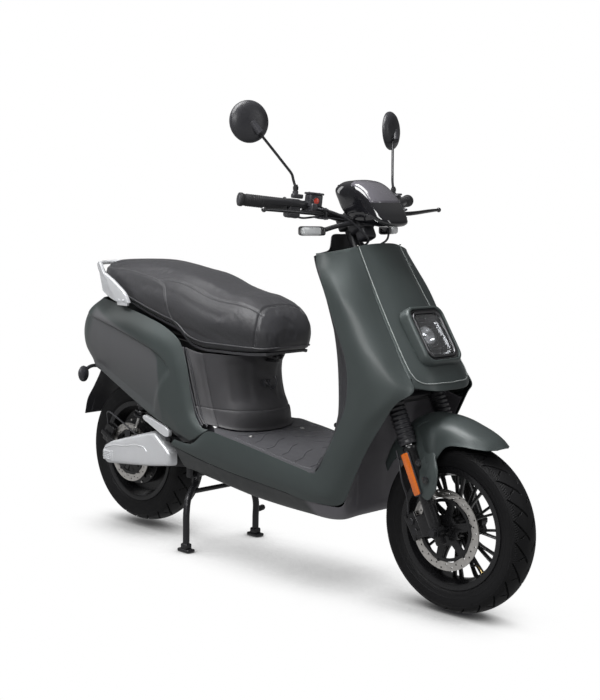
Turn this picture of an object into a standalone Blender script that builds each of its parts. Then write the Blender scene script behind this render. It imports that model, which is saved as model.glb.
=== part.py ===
"""Electric moped scooter, modelled as an assembly of separate parts.

Metres, +X to the front, +Y to the rider's left, +Z up. The origin is on the ground, at the
middle of the scooter's length. The scooter stands on its centre stand and front tyre, with
the rear tyre held off the ground.
"""
import math

import bmesh
import bpy
from mathutils import Matrix, Vector

# ---------------------------------------------------------------- driving dimensions
SIDES = (1, -1)                # left, right: the sign of y
SIDE_NAMES = {1: "left", -1: "right"}
X_AXIS, Y_AXIS, Z_AXIS = Vector((1, 0, 0)), Vector((0, 1, 0)), Vector((0, 0, 1))

FRONT_TYRE_R, FRONT_TYRE_HALF_W = 0.2335, 0.049   # 90/90-12
REAR_TYRE_R, REAR_TYRE_HALF_W = 0.2365, 0.059     # 120/70-12
REAR_LIFT = 0.015              # rear tyre clear of the ground on the stand
BEAD_R = 0.1535                # 12 inch bead seat
FLANGE_R = 0.166
FRONT_RIM_HALF_W, REAR_RIM_HALF_W = 0.0355, 0.0455   # between the flanges
FRONT_BORE_R, REAR_BORE_R = 0.0077, 0.0089           # wheel bores round the axles
FRONT_AXLE = Vector((0.650, 0.0, FRONT_TYRE_R))
REAR_AXLE = Vector((-0.647, 0.0, REAR_TYRE_R + REAR_LIFT))
FRONT_DISC_Y, REAR_DISC_Y = -0.057, -0.080
DISC_HALF_T = 0.0018

RAKE = math.radians(26.0)
STEER_BASE = Vector((0.611, 0.0, FRONT_TYRE_R))   # steering axis at front axle height
AXIS = Vector((-math.sin(RAKE), 0.0, math.cos(RAKE)))
AHEAD = Vector((math.cos(RAKE), 0.0, math.sin(RAKE)))
RAKE_TURN = Matrix.Rotation(-RAKE, 3, "Y")
HEAD_LO, HEAD_HI = 0.440, 0.625   # head tube ends, up the steering axis
LEG_Y = 0.091                  # fork leg spacing, half
LEG_OFFSET = 0.035             # fork legs ahead of the steering axis

SWING_PIVOT = Vector((-0.330, 0, 0.270))
SHOCK_TOP = Vector((-0.500, 0.100, 0.552))
SHOCK_LOW = Vector((-0.600, 0.100, 0.325))
STAND_PIVOT = Vector((-0.336, 0, 0.228))
SEAT_HINGE = Vector((-0.045, 0, 0.624))
HOOK_PIVOT = Vector((-0.0905, 0, 0.538))
PEG_PIVOT = Vector((-0.338, 0.178, 0.366))

SHELL = 0.0026                 # body panel wall
FLOOR_Z0, FLOOR_SLOPE = 0.387, -0.15   # floor height at x = 0, rise per metre forward

# Left-hand controls; the right-hand ones are reflected
BAR_IN = Vector((0.236, 0.150, 1.074))
BAR_OUT = Vector((0.147, 0.355, 1.095))
BAR_DIR = (BAR_OUT - BAR_IN).normalized()
BAR_BORE_R = 0.0116            # bore of the parts threaded on the bar
LEVER_PIVOT = Vector((0.287, 0.165, 1.059))
LEVER_TIP = Vector((0.257, 0.375, 1.070))
MIRROR_JOINT = Vector((0.142, 0.282, 1.278))
MIRROR_NECK = Vector((0.190, 0.226, 1.190))

for old in list(bpy.data.objects):
    bpy.data.objects.remove(old, do_unlink=True)

parts = bpy.data.collections.new("moped_scooter")
cutters = bpy.data.collections.new("cutters")   # holds objects only while they are evaluated
bpy.context.scene.collection.children.link(parts)
bpy.context.scene.collection.children.link(cutters)


# ------------------------------------------------------------------ materials
def material(name, colour, roughness, metallic=0.0):
    mat = bpy.data.materials.new(name)
    mat.use_nodes = True
    shader = mat.node_tree.nodes["Principled BSDF"]
    shader.inputs["Base Color"].default_value = (*colour, 1.0)
    shader.inputs["Roughness"].default_value = roughness
    shader.inputs["Metallic"].default_value = metallic
    return mat


PAINT = material("green_grey_paint", colour=(0.075, 0.092, 0.088), roughness=0.42, metallic=0.45)
BLACK = material("black_plastic", colour=(0.030, 0.030, 0.034), roughness=0.60)
GLOSS = material("gloss_black_plastic", colour=(0.012, 0.012, 0.014), roughness=0.12)
VINYL = material("seat_vinyl", colour=(0.060, 0.060, 0.066), roughness=0.62)
TREAD = material("tyre_rubber", colour=(0.020, 0.020, 0.021), roughness=0.85)
RUBBER = material("grip_rubber", colour=(0.022, 0.022, 0.024), roughness=0.80)
STEEL = material("painted_steel", colour=(0.022, 0.022, 0.024), roughness=0.45, metallic=0.3)
BRIGHT = material("bright_steel", colour=(0.62, 0.62, 0.63), roughness=0.28, metallic=1.0)
ALLOY = material("silver_alloy", colour=(0.66, 0.67, 0.70), roughness=0.34, metallic=0.8)
BLACK_ALLOY = material("black_alloy", colour=(0.020, 0.020, 0.022), roughness=0.38, metallic=0.5)
CLEAR = material("clear_lens", colour=(0.75, 0.77, 0.80), roughness=0.08)
RED = material("red_lens", colour=(0.45, 0.01, 0.01), roughness=0.15)


# ------------------------------------------------------------------ places
def on_fork(up, ahead=0.0, y=0.0):
    """A point of the fork: up the steering axis, ahead of it, and y to the left."""
    return STEER_BASE + AXIS * up + AHEAD * ahead + Vector((0.0, y, 0.0))


def to_side(point, side):
    """A left-hand point, reflected when the side is -1."""
    return Vector((point[0], side * point[1], point[2]))


def bar_at(y, side=1):
    """A point on the straight outer part of the bar at a distance from the middle."""
    share = (y - BAR_IN.y) / (BAR_OUT.y - BAR_IN.y)
    return to_side(BAR_IN + (BAR_OUT - BAR_IN) * share, side)


def both(half):
    """Points from the centre out to +y, reflected into a full row from -y to +y."""
    return [(x, -y, z) for x, y, z in reversed(half) if y > 1e-9] + [tuple(p) for p in half]


def symmetric(half):
    """A 2D outline closed by its own reflection in the second coordinate."""
    return half + [(u, -v) for u, v in reversed(half)]


def band(inner, outer, low, high):
    """A rectangular profile to turn: inner and outer radius, low and high end."""
    return [(inner, low), (outer, low), (outer, high), (inner, high)]


def frame_of(direction):
    """A rotation whose Z axis is the direction."""
    return Vector(direction).to_track_quat("Z", "Y").to_matrix().to_4x4()


def radial_turn(direction):
    """A rotation with local X along a direction in the wheel plane and local Y along Y."""
    return Matrix((direction, Y_AXIS, direction.cross(Y_AXIS))).transposed()


def side_plane(y):
    """Places a 2D outline drawn as (x, z) in the plane y = const."""
    return Matrix(((1, 0, 0, 0), (0, 0, 1, y), (0, 1, 0, 0), (0, 0, 0, 1)))


# ------------------------------------------------------------------ mesh helpers
def mesh_from(work, name):
    mesh = bpy.data.meshes.new(name)
    bmesh.ops.recalc_face_normals(work, faces=work.faces)
    work.to_mesh(mesh)
    work.free()
    return mesh


def temporary(data):
    obj = bpy.data.objects.new("temporary", data)
    cutters.objects.link(obj)
    return obj


def evaluated(obj):
    deps = bpy.context.evaluated_depsgraph_get()
    return bpy.data.meshes.new_from_object(obj.evaluated_get(deps))


def taken(obj):
    """The evaluated mesh of a temporary object, which is removed."""
    mesh = evaluated(obj)
    bpy.data.objects.remove(obj, do_unlink=True)
    return mesh


def welded(mesh, distance, name, matrix=None):
    work = bmesh.new()
    work.from_mesh(mesh)
    bmesh.ops.remove_doubles(work, verts=work.verts, dist=distance)
    if matrix is not None:
        bmesh.ops.transform(work, matrix=matrix, verts=work.verts)
    bpy.data.meshes.remove(mesh)
    return mesh_from(work, name)


def rod(start, end, radius, segments=12):
    """A closed cylinder from start to end."""
    start, end = Vector(start), Vector(end)
    work = bmesh.new()
    bmesh.ops.create_cone(work, cap_ends=True, segments=segments, radius1=radius,
                          radius2=radius, depth=(end - start).length)
    place_rod = Matrix.Translation((start + end) / 2) @ frame_of(end - start)
    bmesh.ops.transform(work, matrix=place_rod, verts=work.verts)
    return mesh_from(work, "rod")


def rod_on(origin, axis, start, end, radius, segments=12):
    """A rod between two distances along an axis through the origin."""
    origin = Vector(origin)
    return rod(origin + axis * start, origin + axis * end, radius, segments)


def fork_rod(low, high, radius, segments=12, ahead=0.0, y=0.0):
    """A rod parallel to the steering axis."""
    return rod(on_fork(low, ahead, y), on_fork(high, ahead, y), radius, segments)


def block(centre, size, rotation=None, bevel=0.0):
    """A box with bevelled edges."""
    work = bmesh.new()
    bmesh.ops.create_cube(work, size=1.0)
    bmesh.ops.scale(work, vec=Vector(size), verts=work.verts)
    if bevel:
        bmesh.ops.bevel(work, geom=work.edges[:], offset=bevel, segments=1,
                        affect="EDGES", clamp_overlap=True)
    turn = rotation.to_4x4() if rotation is not None else Matrix()
    place_block = Matrix.Translation(Vector(centre)) @ turn
    bmesh.ops.transform(work, matrix=place_block, verts=work.verts)
    return mesh_from(work, "block")


def ball(centre, radii, rings=6, segments=10):
    work = bmesh.new()
    bmesh.ops.create_uvsphere(work, u_segments=segments, v_segments=rings, radius=1.0)
    bmesh.ops.scale(work, vec=Vector(radii), verts=work.verts)
    bmesh.ops.translate(work, vec=Vector(centre), verts=work.verts)
    return mesh_from(work, "ball")


def poly_curve(points, dimensions):
    curve = bpy.data.curves.new("curve", "CURVE")
    curve.dimensions = dimensions
    spline = curve.splines.new("POLY")
    spline.points.add(len(points) - 1)
    for node, point in zip(spline.points, points):
        node.co = (*point, 1.0)
    return curve


def tube(points, radius):
    """A bent round tube with filled ends."""
    curve = poly_curve(points, "3D")
    curve.bevel_depth = radius
    curve.bevel_resolution = 1
    curve.use_fill_caps = True
    return welded(taken(temporary(curve)), 0.00002, "tube")


def plate(outline, thickness, matrix):
    """A flat 2D outline with a thickness, placed by a matrix."""
    curve = poly_curve([(u, v, 0.0) for u, v in outline], "2D")
    curve.fill_mode = "BOTH"
    curve.extrude = thickness / 2
    curve.splines[0].use_cyclic_u = True
    return welded(taken(temporary(curve)), 0.00002, "plate", matrix)


def turned(profile, origin, steps, axis=Y_AXIS):
    """A turned ring or solid: a profile of (radius, distance along the axis)."""
    work = bmesh.new()
    verts = [work.verts.new((radius, 0.0, height)) for radius, height in profile]
    closed = min(radius for radius, _ in profile) > 1e-6
    for pair in zip(verts, verts[1:] + (verts[:1] if closed else [])):
        work.edges.new(pair)
    mesh = bpy.data.meshes.new("turned")
    work.to_mesh(mesh)
    work.free()
    obj = temporary(mesh)
    screw = obj.modifiers.new("Screw", "SCREW")
    screw.axis = "Z"
    screw.steps = screw.render_steps = steps
    screw.use_merge_vertices = True
    screw.merge_threshold = 0.00001
    matrix = Matrix.Translation(Vector(origin)) @ frame_of(axis)
    return welded(taken(obj), 0.00001, "turned", matrix)


def combine(base, others, operation):
    """Boolean the other meshes into the base mesh, one after another."""
    target = temporary(base)
    for other in others:
        tool = temporary(other)
        boolean = target.modifiers.new("Boolean", "BOOLEAN")
        boolean.operation = operation
        boolean.solver = "EXACT"
        boolean.object = tool
        result = evaluated(target)
        target.modifiers.clear()
        target.data = result
        bpy.data.objects.remove(tool, do_unlink=True)
    result = target.data
    bpy.data.objects.remove(target, do_unlink=True)
    work = bmesh.new()
    work.from_mesh(result)
    bmesh.ops.remove_doubles(work, verts=work.verts, dist=0.000005)
    bmesh.ops.dissolve_degenerate(work, edges=work.edges, dist=0.000005)
    bmesh.ops.dissolve_limit(work, angle_limit=math.radians(0.6),
                             verts=work.verts, edges=work.edges)
    return mesh_from(work, "combined")


def union(base, *others):
    return combine(base, others, "UNION")


def cut(base, *others):
    return combine(base, others, "DIFFERENCE")


def joined(*meshes):
    """Several separate meshes as one, for a tool of disjoint pieces."""
    work = bmesh.new()
    for mesh in meshes:
        work.from_mesh(mesh)
    out = bpy.data.meshes.new("joined")
    work.to_mesh(out)
    work.free()
    return out


def mirrored(mesh):
    mesh.transform(Matrix.Scale(-1.0, 4, (0, 1, 0)))
    mesh.flip_normals()
    return mesh


def loft(rings):
    """A closed solid through rings of equal point count, with its ends capped."""
    work = bmesh.new()
    verts = [[work.verts.new(point) for point in ring] for ring in rings]
    count = len(rings[0])
    for ring, following in zip(verts, verts[1:]):
        for k in range(count):
            j = (k + 1) % count
            work.faces.new((ring[k], ring[j], following[j], following[k]))
    work.faces.new(verts[0][::-1])
    work.faces.new(verts[-1])
    return mesh_from(work, "loft")


def spline_points(control, count):
    """Points along a Catmull-Rom spline through the control points, spaced by chord length."""
    control = [Vector(point) for point in control]
    padded = ([control[0] * 2 - control[1]] + control + [control[-1] * 2 - control[-2]])
    lengths = [0.0]
    for start, end in zip(control, control[1:]):
        lengths.append(lengths[-1] + (end - start).length)
    out = []
    for i in range(count):
        want = lengths[-1] * i / (count - 1)
        k = 0
        while k < len(control) - 2 and lengths[k + 1] < want - 1e-9:
            k += 1
        span = lengths[k + 1] - lengths[k]
        share = min(1.0, max(0.0, (want - lengths[k]) / span))
        before, start, end, after = padded[k:k + 4]
        span_in = (start - before).length or span
        span_out = (after - end).length or span
        chord = end - start
        slope_start = ((chord / span * span_in + (start - before) / span_in * span)
                       / (span_in + span) * span)
        slope_end = (((after - end) / span_out * span + chord / span * span_out)
                     / (span + span_out) * span)
        square, cube = share * share, share * share * share
        out.append(start * (2 * cube - 3 * square + 1)
                   + slope_start * (cube - 2 * square + share)
                   + end * (-2 * cube + 3 * square) + slope_end * (cube - square))
    return out


def panel(rows, row_count, column_count, outward):
    """A body panel: a smooth grid through rows of control points, thickened inwards."""
    fine = [spline_points(row, column_count) for row in rows]
    columns = [spline_points([row[j] for row in fine], row_count) for j in range(column_count)]
    work = bmesh.new()
    verts = [[work.verts.new(column[i]) for column in columns] for i in range(row_count)]
    for row, following in zip(verts, verts[1:]):
        for j in range(column_count - 1):
            work.faces.new((row[j], row[j + 1], following[j + 1], following[j]))
    bmesh.ops.remove_doubles(work, verts=work.verts, dist=0.00005)
    work.normal_update()
    middle = columns[column_count // 2][row_count // 2]
    face = min(work.faces, key=lambda f: (f.calc_center_median() - middle).length)
    if face.normal.dot(Vector(outward)) < 0:
        bmesh.ops.reverse_faces(work, faces=work.faces)
    mesh = bpy.data.meshes.new("panel")
    work.to_mesh(mesh)
    work.free()
    obj = temporary(mesh)
    solid = obj.modifiers.new("Solidify", "SOLIDIFY")
    solid.thickness = SHELL
    solid.offset = -1.0
    solid.use_even_offset = True
    solid.use_rim = True
    return taken(obj)


def full_panel(half_rows, row_count, column_count, outward):
    """A panel symmetric about the middle plane, from half rows."""
    return panel([both(row) for row in half_rows], row_count, column_count, outward)


# --------------------------------------------------------------- body panels
# All panel tables hold (x, y, z) points.
# Front panel: half rows from the centre to the left seam, top to bottom
FRONT_ROWS = [
    [(0.358, 0, 0.981), (0.352, 0.050, 0.979), (0.340, 0.090, 0.973)],
    [(0.410, 0, 0.905), (0.404, 0.053, 0.903), (0.385, 0.096, 0.900)],
    [(0.462, 0, 0.835), (0.455, 0.056, 0.833), (0.430, 0.102, 0.830)],
    [(0.528, 0, 0.745), (0.518, 0.060, 0.745), (0.488, 0.110, 0.745)],
    [(0.576, 0, 0.677), (0.567, 0.064, 0.678), (0.535, 0.116, 0.680)],
    [(0.611, 0, 0.616), (0.604, 0.066, 0.617), (0.573, 0.120, 0.628)],
    [(0.6155, 0, 0.602), (0.6085, 0.066, 0.603), (0.5785, 0.122, 0.612)],
]


def rear_edge(z):
    """x of the straight part of the side panel's rear edge."""
    return 0.273 + 0.461 * (0.940 - z)


# Left side panel: rows from the rear edge to the front seam, from the top down,
# then from the lower edge of the floor up, front to rear
SIDE_ROWS = [
    [(0.279, 0.189, 0.953), (0.303, 0.166, 0.957), (0.326, 0.127, 0.965), (0.3385, 0.0925, 0.972)],
    [(rear_edge(0.92), 0.190, 0.920), (0.316, 0.171, 0.922), (0.356, 0.131, 0.926),
     (0.371, 0.0975, 0.928)],
    [(rear_edge(0.85), 0.190, 0.850), (0.362, 0.186, 0.850), (0.405, 0.144, 0.850),
     (0.415, 0.103, 0.850)],
    [(rear_edge(0.75), 0.190, 0.750), (0.405, 0.190, 0.750), (0.467, 0.151, 0.747),
     (0.483, 0.1125, 0.748)],
    [(rear_edge(0.67), 0.190, 0.670), (0.449, 0.191, 0.668), (0.520, 0.156, 0.663),
     (0.542, 0.1195, 0.663)],
    [(0.405, 0.190, 0.620), (0.470, 0.191, 0.615), (0.537, 0.164, 0.608), (0.583, 0.128, 0.603)],
    [(0.403, 0.190, 0.561), (0.458, 0.192, 0.557), (0.511, 0.181, 0.557), (0.552, 0.152, 0.574)],
    [(0.369, 0.190, 0.477), (0.412, 0.193, 0.482), (0.460, 0.188, 0.490), (0.507, 0.167, 0.503)],
    [(0.331, 0.190, 0.405), (0.372, 0.195, 0.402), (0.414, 0.191, 0.408), (0.456, 0.172, 0.417)],
    [(0.306, 0.190, 0.362), (0.338, 0.195, 0.347), (0.380, 0.193, 0.341), (0.417, 0.174, 0.335)],
    [(0.287, 0.190, 0.346), (0.308, 0.196, 0.318), (0.343, 0.195, 0.290), (0.386, 0.176, 0.276)],
    [(0.256, 0.190, 0.350), (0.263, 0.197, 0.322), (0.275, 0.198, 0.292), (0.300, 0.190, 0.265)],
    [(0.160, 0.190, 0.364), (0.163, 0.197, 0.334), (0.165, 0.198, 0.304), (0.167, 0.190, 0.276)],
    [(0.040, 0.190, 0.382), (0.040, 0.197, 0.350), (0.040, 0.198, 0.316), (0.040, 0.190, 0.287)],
    [(-0.070, 0.190, 0.397), (-0.072, 0.197, 0.365), (-0.075, 0.198, 0.330),
     (-0.078, 0.190, 0.299)],
    [(-0.150, 0.189, 0.402), (-0.160, 0.195, 0.372), (-0.172, 0.196, 0.341),
     (-0.180, 0.189, 0.313)],
    [(-0.225, 0.187, 0.354), (-0.230, 0.190, 0.344), (-0.240, 0.190, 0.334),
     (-0.248, 0.187, 0.324)],
    [(-0.305, 0.184, 0.355), (-0.310, 0.186, 0.349), (-0.316, 0.186, 0.343),
     (-0.322, 0.184, 0.336)],
]

# Left tail cover: rows from the upper to the lower edge, from the rear end forward to
# the band in front of the rear wheel
TAIL_ROWS = [
    [(-0.790, 0.056, 0.757), (-0.846, 0.055, 0.722), (-0.869, 0.055, 0.660),
     (-0.864, 0.055, 0.605), (-0.830, 0.055, 0.548)],
    [(-0.775, 0.088, 0.756), (-0.828, 0.105, 0.712), (-0.848, 0.112, 0.655),
     (-0.842, 0.110, 0.600), (-0.803, 0.098, 0.540)],
    [(-0.735, 0.118, 0.756), (-0.780, 0.146, 0.706), (-0.795, 0.154, 0.650),
     (-0.790, 0.154, 0.598), (-0.760, 0.136, 0.532)],
    [(-0.670, 0.138, 0.752), (-0.690, 0.167, 0.705), (-0.698, 0.177, 0.655),
     (-0.700, 0.176, 0.590), (-0.692, 0.158, 0.520)],
    [(-0.580, 0.149, 0.739), (-0.588, 0.176, 0.700), (-0.596, 0.186, 0.650),
     (-0.604, 0.186, 0.565), (-0.612, 0.170, 0.493)],
    [(-0.470, 0.154, 0.717), (-0.478, 0.180, 0.682), (-0.490, 0.190, 0.630),
     (-0.506, 0.190, 0.530), (-0.520, 0.176, 0.456)],
    [(-0.370, 0.160, 0.690), (-0.384, 0.183, 0.660), (-0.405, 0.191, 0.610),
     (-0.428, 0.191, 0.500), (-0.446, 0.180, 0.427)],
    [(-0.302, 0.168, 0.655), (-0.330, 0.184, 0.632), (-0.360, 0.192, 0.585),
     (-0.378, 0.192, 0.470), (-0.392, 0.182, 0.408)],
    [(-0.268, 0.172, 0.600), (-0.294, 0.186, 0.585), (-0.328, 0.192, 0.545),
     (-0.342, 0.192, 0.450), (-0.352, 0.183, 0.396)],
    [(-0.244, 0.173, 0.515), (-0.266, 0.187, 0.502), (-0.294, 0.192, 0.470),
     (-0.307, 0.192, 0.420), (-0.318, 0.184, 0.386)],
    [(-0.212, 0.175, 0.430), (-0.232, 0.187, 0.422), (-0.256, 0.191, 0.408),
     (-0.272, 0.191, 0.390), (-0.290, 0.185, 0.377)],
    [(-0.184, 0.179, 0.408), (-0.194, 0.186, 0.400), (-0.210, 0.189, 0.390),
     (-0.226, 0.189, 0.378), (-0.254, 0.186, 0.368)],
    [(-0.158, 0.180, 0.405), (-0.167, 0.1855, 0.3975), (-0.183, 0.1885, 0.388),
     (-0.204, 0.1885, 0.374), (-0.233, 0.186, 0.362)],
]

# Cover under the seat: half rows from the centre out, top to bottom. The outermost
# points are flanges behind the edge of the tail covers
UNDERSEAT_ROWS = [
    [(-0.086, 0, 0.627), (-0.093, 0.068, 0.627), (-0.124, 0.116, 0.627),
     (-0.190, 0.136, 0.627), (-0.252, 0.140, 0.627), (-0.288, 0.158, 0.640)],
    [(-0.100, 0, 0.560), (-0.108, 0.070, 0.560), (-0.136, 0.115, 0.560),
     (-0.186, 0.133, 0.560), (-0.236, 0.140, 0.560), (-0.256, 0.166, 0.562)],
    [(-0.090, 0, 0.500), (-0.098, 0.070, 0.500), (-0.126, 0.116, 0.500),
     (-0.171, 0.134, 0.500), (-0.212, 0.140, 0.500), (-0.235, 0.167, 0.500)],
    [(-0.062, 0, 0.443), (-0.073, 0.070, 0.443), (-0.106, 0.120, 0.443),
     (-0.151, 0.138, 0.443), (-0.186, 0.146, 0.443), (-0.211, 0.169, 0.443)],
    [(-0.066, 0, 0.400), (-0.077, 0.076, 0.4015), (-0.105, 0.126, 0.4055),
     (-0.142, 0.146, 0.411), (-0.166, 0.156, 0.4145), (-0.186, 0.172, 0.4165)],
]


def level_row(z, *xs):
    """A half row of the inner leg shield at one height."""
    return [(x, y, z) for x, y in zip(xs, (0, 0.050, 0.092, 0.150, 0.186))]


# Inner leg shield: half rows from the centre out, top to bottom
LEGSHIELD_ROWS = [
    [(0.200, 0, 1.000), (0.206, 0.046, 0.998), (0.232, 0.084, 0.962), (0.254, 0.150, 0.951),
     (0.266, 0.184, 0.944)],
    [(0.203, 0, 0.940), (0.212, 0.050, 0.940), (0.228, 0.092, 0.940), (0.250, 0.150, 0.937),
     (0.270, 0.1855, 0.934)],
    level_row(0.850, 0.210, 0.218, 0.238, 0.276, 0.309),
    level_row(0.750, 0.220, 0.230, 0.258, 0.312, 0.355),
    level_row(0.650, 0.234, 0.246, 0.276, 0.342, 0.396),
    level_row(0.560, 0.254, 0.262, 0.284, 0.344, 0.394),
    level_row(0.477, 0.274, 0.278, 0.290, 0.330, 0.361),
    level_row(0.405, 0.284, 0.285, 0.290, 0.308, 0.324),
    [(0.284, 0, 0.3515), (0.284, 0.050, 0.3515), (0.285, 0.092, 0.3515), (0.287, 0.150, 0.3515),
     (0.288, 0.1855, 0.3515)],
]

# Underbody guard: half rows from the centre out, from the rear forward, then up
GUARD_ROWS = [
    [(-0.280, 0, 0.262), (-0.282, 0.075, 0.262), (-0.285, 0.148, 0.264), (-0.312, 0.180, 0.331)],
    [(-0.190, 0, 0.250), (-0.190, 0.075, 0.250), (-0.190, 0.150, 0.251), (-0.190, 0.1865, 0.311)],
    [(-0.120, 0, 0.241), (-0.120, 0.075, 0.241), (-0.120, 0.150, 0.242), (-0.120, 0.187, 0.301)],
    [(0.000, 0, 0.226), (0.000, 0.075, 0.226), (0.000, 0.150, 0.227), (0.000, 0.187, 0.288)],
    [(0.102, 0, 0.219), (0.102, 0.075, 0.219), (0.102, 0.150, 0.220), (0.102, 0.187, 0.279)],
    [(0.242, 0, 0.215), (0.242, 0.075, 0.215), (0.242, 0.150, 0.216), (0.242, 0.187, 0.267)],
    [(0.322, 0, 0.215), (0.322, 0.075, 0.215), (0.322, 0.150, 0.216), (0.326, 0.181, 0.262)],
    [(0.372, 0, 0.226), (0.372, 0.075, 0.226), (0.374, 0.150, 0.230), (0.386, 0.172, 0.268)],
    [(0.373, 0, 0.300), (0.373, 0.075, 0.300), (0.378, 0.130, 0.302), (0.404, 0.170, 0.317)],
    [(0.374, 0, 0.400), (0.374, 0.075, 0.400), (0.382, 0.132, 0.402), (0.440, 0.169, 0.400)],
    [(0.374, 0, 0.500), (0.374, 0.075, 0.500), (0.388, 0.134, 0.502), (0.492, 0.164, 0.490)],
    [(0.374, 0, 0.585), (0.374, 0.075, 0.585), (0.392, 0.134, 0.585), (0.528, 0.156, 0.556)],
]

# Front fender: half rows from the crown out, front to rear
FENDER_ROWS = [
    [(0.790, 0, 0.468), (0.788, 0.014, 0.467), (0.785, 0.024, 0.465)],
    [(0.768, 0, 0.486), (0.766, 0.034, 0.479), (0.768, 0.050, 0.465)],
    [(0.741, 0, 0.499), (0.740, 0.046, 0.488), (0.744, 0.063, 0.466)],
    [(0.691, 0, 0.519), (0.690, 0.055, 0.502), (0.700, 0.073, 0.468)],
    [(0.648, 0, 0.532), (0.649, 0.058, 0.511), (0.659, 0.077, 0.462)],
    [(0.615, 0, 0.537), (0.618, 0.060, 0.512), (0.630, 0.077, 0.430)],
    [(0.590, 0, 0.538), (0.593, 0.058, 0.511), (0.615, 0.075, 0.335)],
    [(0.565, 0, 0.536), (0.569, 0.056, 0.506), (0.598, 0.060, 0.330)],
    [(0.525, 0, 0.523), (0.533, 0.054, 0.491), (0.553, 0.058, 0.400)],
    [(0.482, 0, 0.497), (0.495, 0.054, 0.467), (0.508, 0.058, 0.415)],
    [(0.444, 0, 0.450), (0.456, 0.055, 0.428), (0.468, 0.059, 0.395)],
    [(0.423, 0, 0.395), (0.433, 0.054, 0.382), (0.444, 0.058, 0.360)],
]

# Rear mudguard: half rows from the centre out, top to bottom
MUDGUARD_ROWS = [
    [(-0.800, 0, 0.762), (-0.795, 0.030, 0.761), (-0.792, 0.052, 0.758)],
    [(-0.852, 0, 0.722), (-0.848, 0.030, 0.722), (-0.842, 0.052, 0.720)],
    [(-0.866, 0, 0.690), (-0.864, 0.030, 0.690), (-0.858, 0.052, 0.690)],
    [(-0.866, 0, 0.650), (-0.864, 0.030, 0.650), (-0.858, 0.052, 0.650)],
    [(-0.864, 0, 0.610), (-0.862, 0.030, 0.610), (-0.856, 0.052, 0.610)],
    [(-0.832, 0, 0.556), (-0.830, 0.030, 0.556), (-0.826, 0.051, 0.556)],
    [(-0.820, 0, 0.526), (-0.820, 0.040, 0.524), (-0.818, 0.066, 0.515)],
    [(-0.846, 0, 0.460), (-0.846, 0.045, 0.458), (-0.842, 0.080, 0.450)],
    [(-0.868, 0, 0.410), (-0.868, 0.050, 0.409), (-0.866, 0.088, 0.405)],
    [(-0.8832, 0, 0.352), (-0.8832, 0.050, 0.352), (-0.8815, 0.088, 0.352)],
]
# Roof over the rear tyre: half rows from the centre out, rear to front
ROOF_ROWS = [
    [(-0.822, 0, 0.540), (-0.822, 0.040, 0.536), (-0.822, 0.064, 0.512)],
    [(-0.760, 0, 0.575), (-0.760, 0.040, 0.570), (-0.758, 0.066, 0.538)],
    [(-0.650, 0, 0.598), (-0.650, 0.040, 0.592), (-0.650, 0.066, 0.562)],
    [(-0.540, 0, 0.580), (-0.540, 0.040, 0.575), (-0.543, 0.066, 0.548)],
    [(-0.455, 0, 0.530), (-0.455, 0.040, 0.526), (-0.462, 0.066, 0.508)],
]


def side_panel():
    return panel(SIDE_ROWS, 24, 5, Y_AXIS)


def tail_cover():
    return panel(TAIL_ROWS, 16, 6, (-0.2, 1, 0))


def underseat_cover():
    """The cover with the pin of the seat hinge and the pin of the luggage hook."""
    hinge_x, hinge_z = SEAT_HINGE.x, SEAT_HINGE.z
    hinge_lug = union(rod_on(SEAT_HINGE, Y_AXIS, -0.022, 0.022, 0.0035, 10),
                      block((hinge_x - 0.028, 0, hinge_z - 0.014), (0.044, 0.010, 0.010)),
                      block((hinge_x - 0.004, 0, hinge_z - 0.006), (0.012, 0.010, 0.020)))
    body = union(full_panel(UNDERSEAT_ROWS, 6, 15, X_AXIS), hinge_lug)
    bosses = [block((-0.0965, side * 0.0105, HOOK_PIVOT.z), (0.022, 0.005, 0.020), bevel=0.001)
              for side in SIDES]
    return union(body, *bosses, rod_on(HOOK_PIVOT, Y_AXIS, -0.012, 0.012, 0.0018, 8))


def rear_mudguard():
    """The mudguard with its roof and the rear signals on a bent bar."""
    signal_bar = tube(both([(-0.814, 0.060, 0.519), (-0.788, 0.150, 0.524)]), 0.0060)
    arms = [rod((-0.789, side * 0.140, 0.524), (-0.786, side * 0.166, 0.516), 0.006, 8)
            for side in SIDES]
    signals = [ball((-0.785, side * 0.168, 0.505), (0.014, 0.020, 0.028)) for side in SIDES]
    body = union(full_panel(MUDGUARD_ROWS, 10, 5, -X_AXIS), full_panel(ROOF_ROWS, 6, 5, Z_AXIS),
                 signal_bar, *arms)
    return union(body, joined(*signals))


# Left half of the floor outline, (x, y)
FLOOR_HALF = [(-0.164, 0.120), (-0.150, 0.160), (-0.120, 0.186), (0.270, 0.186), (0.280, 0.170)]


def floorboard():
    """A plate that slopes down to the front, with three raised ribs."""
    tilt = math.atan(FLOOR_SLOPE)
    matrix = Matrix.Translation((0, 0, FLOOR_Z0 - 0.003)) @ Matrix.Rotation(-tilt, 4, "Y")
    outline = [(x / math.cos(tilt), y) for x, y in symmetric(FLOOR_HALF)]
    ribs = [block((x, 0, 0.0025), (0.010, 0.300, 0.0022)) for x in (0.02, 0.10, 0.18)]
    for rib in ribs:
        rib.transform(matrix)
    return union(plate(outline, 0.005, matrix), *ribs)


# --------------------------------------------------------------------- frame
# Down tube below the head, and the left rail from the front to the tail
DOWN_PATH = [(0.340, 0, 0.600), (0.325, 0, 0.520), (0.318, 0, 0.420), (0.312, 0, 0.285)]
RAIL_PATH = [(0.300, 0.100, 0.285), (0.000, 0.100, 0.292), (-0.200, 0.100, 0.300),
             (-0.300, 0.100, 0.335), (-0.352, 0.102, 0.460), (-0.430, 0.108, 0.590),
             (-0.560, 0.108, 0.622), (-0.770, 0.080, 0.640)]
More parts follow.
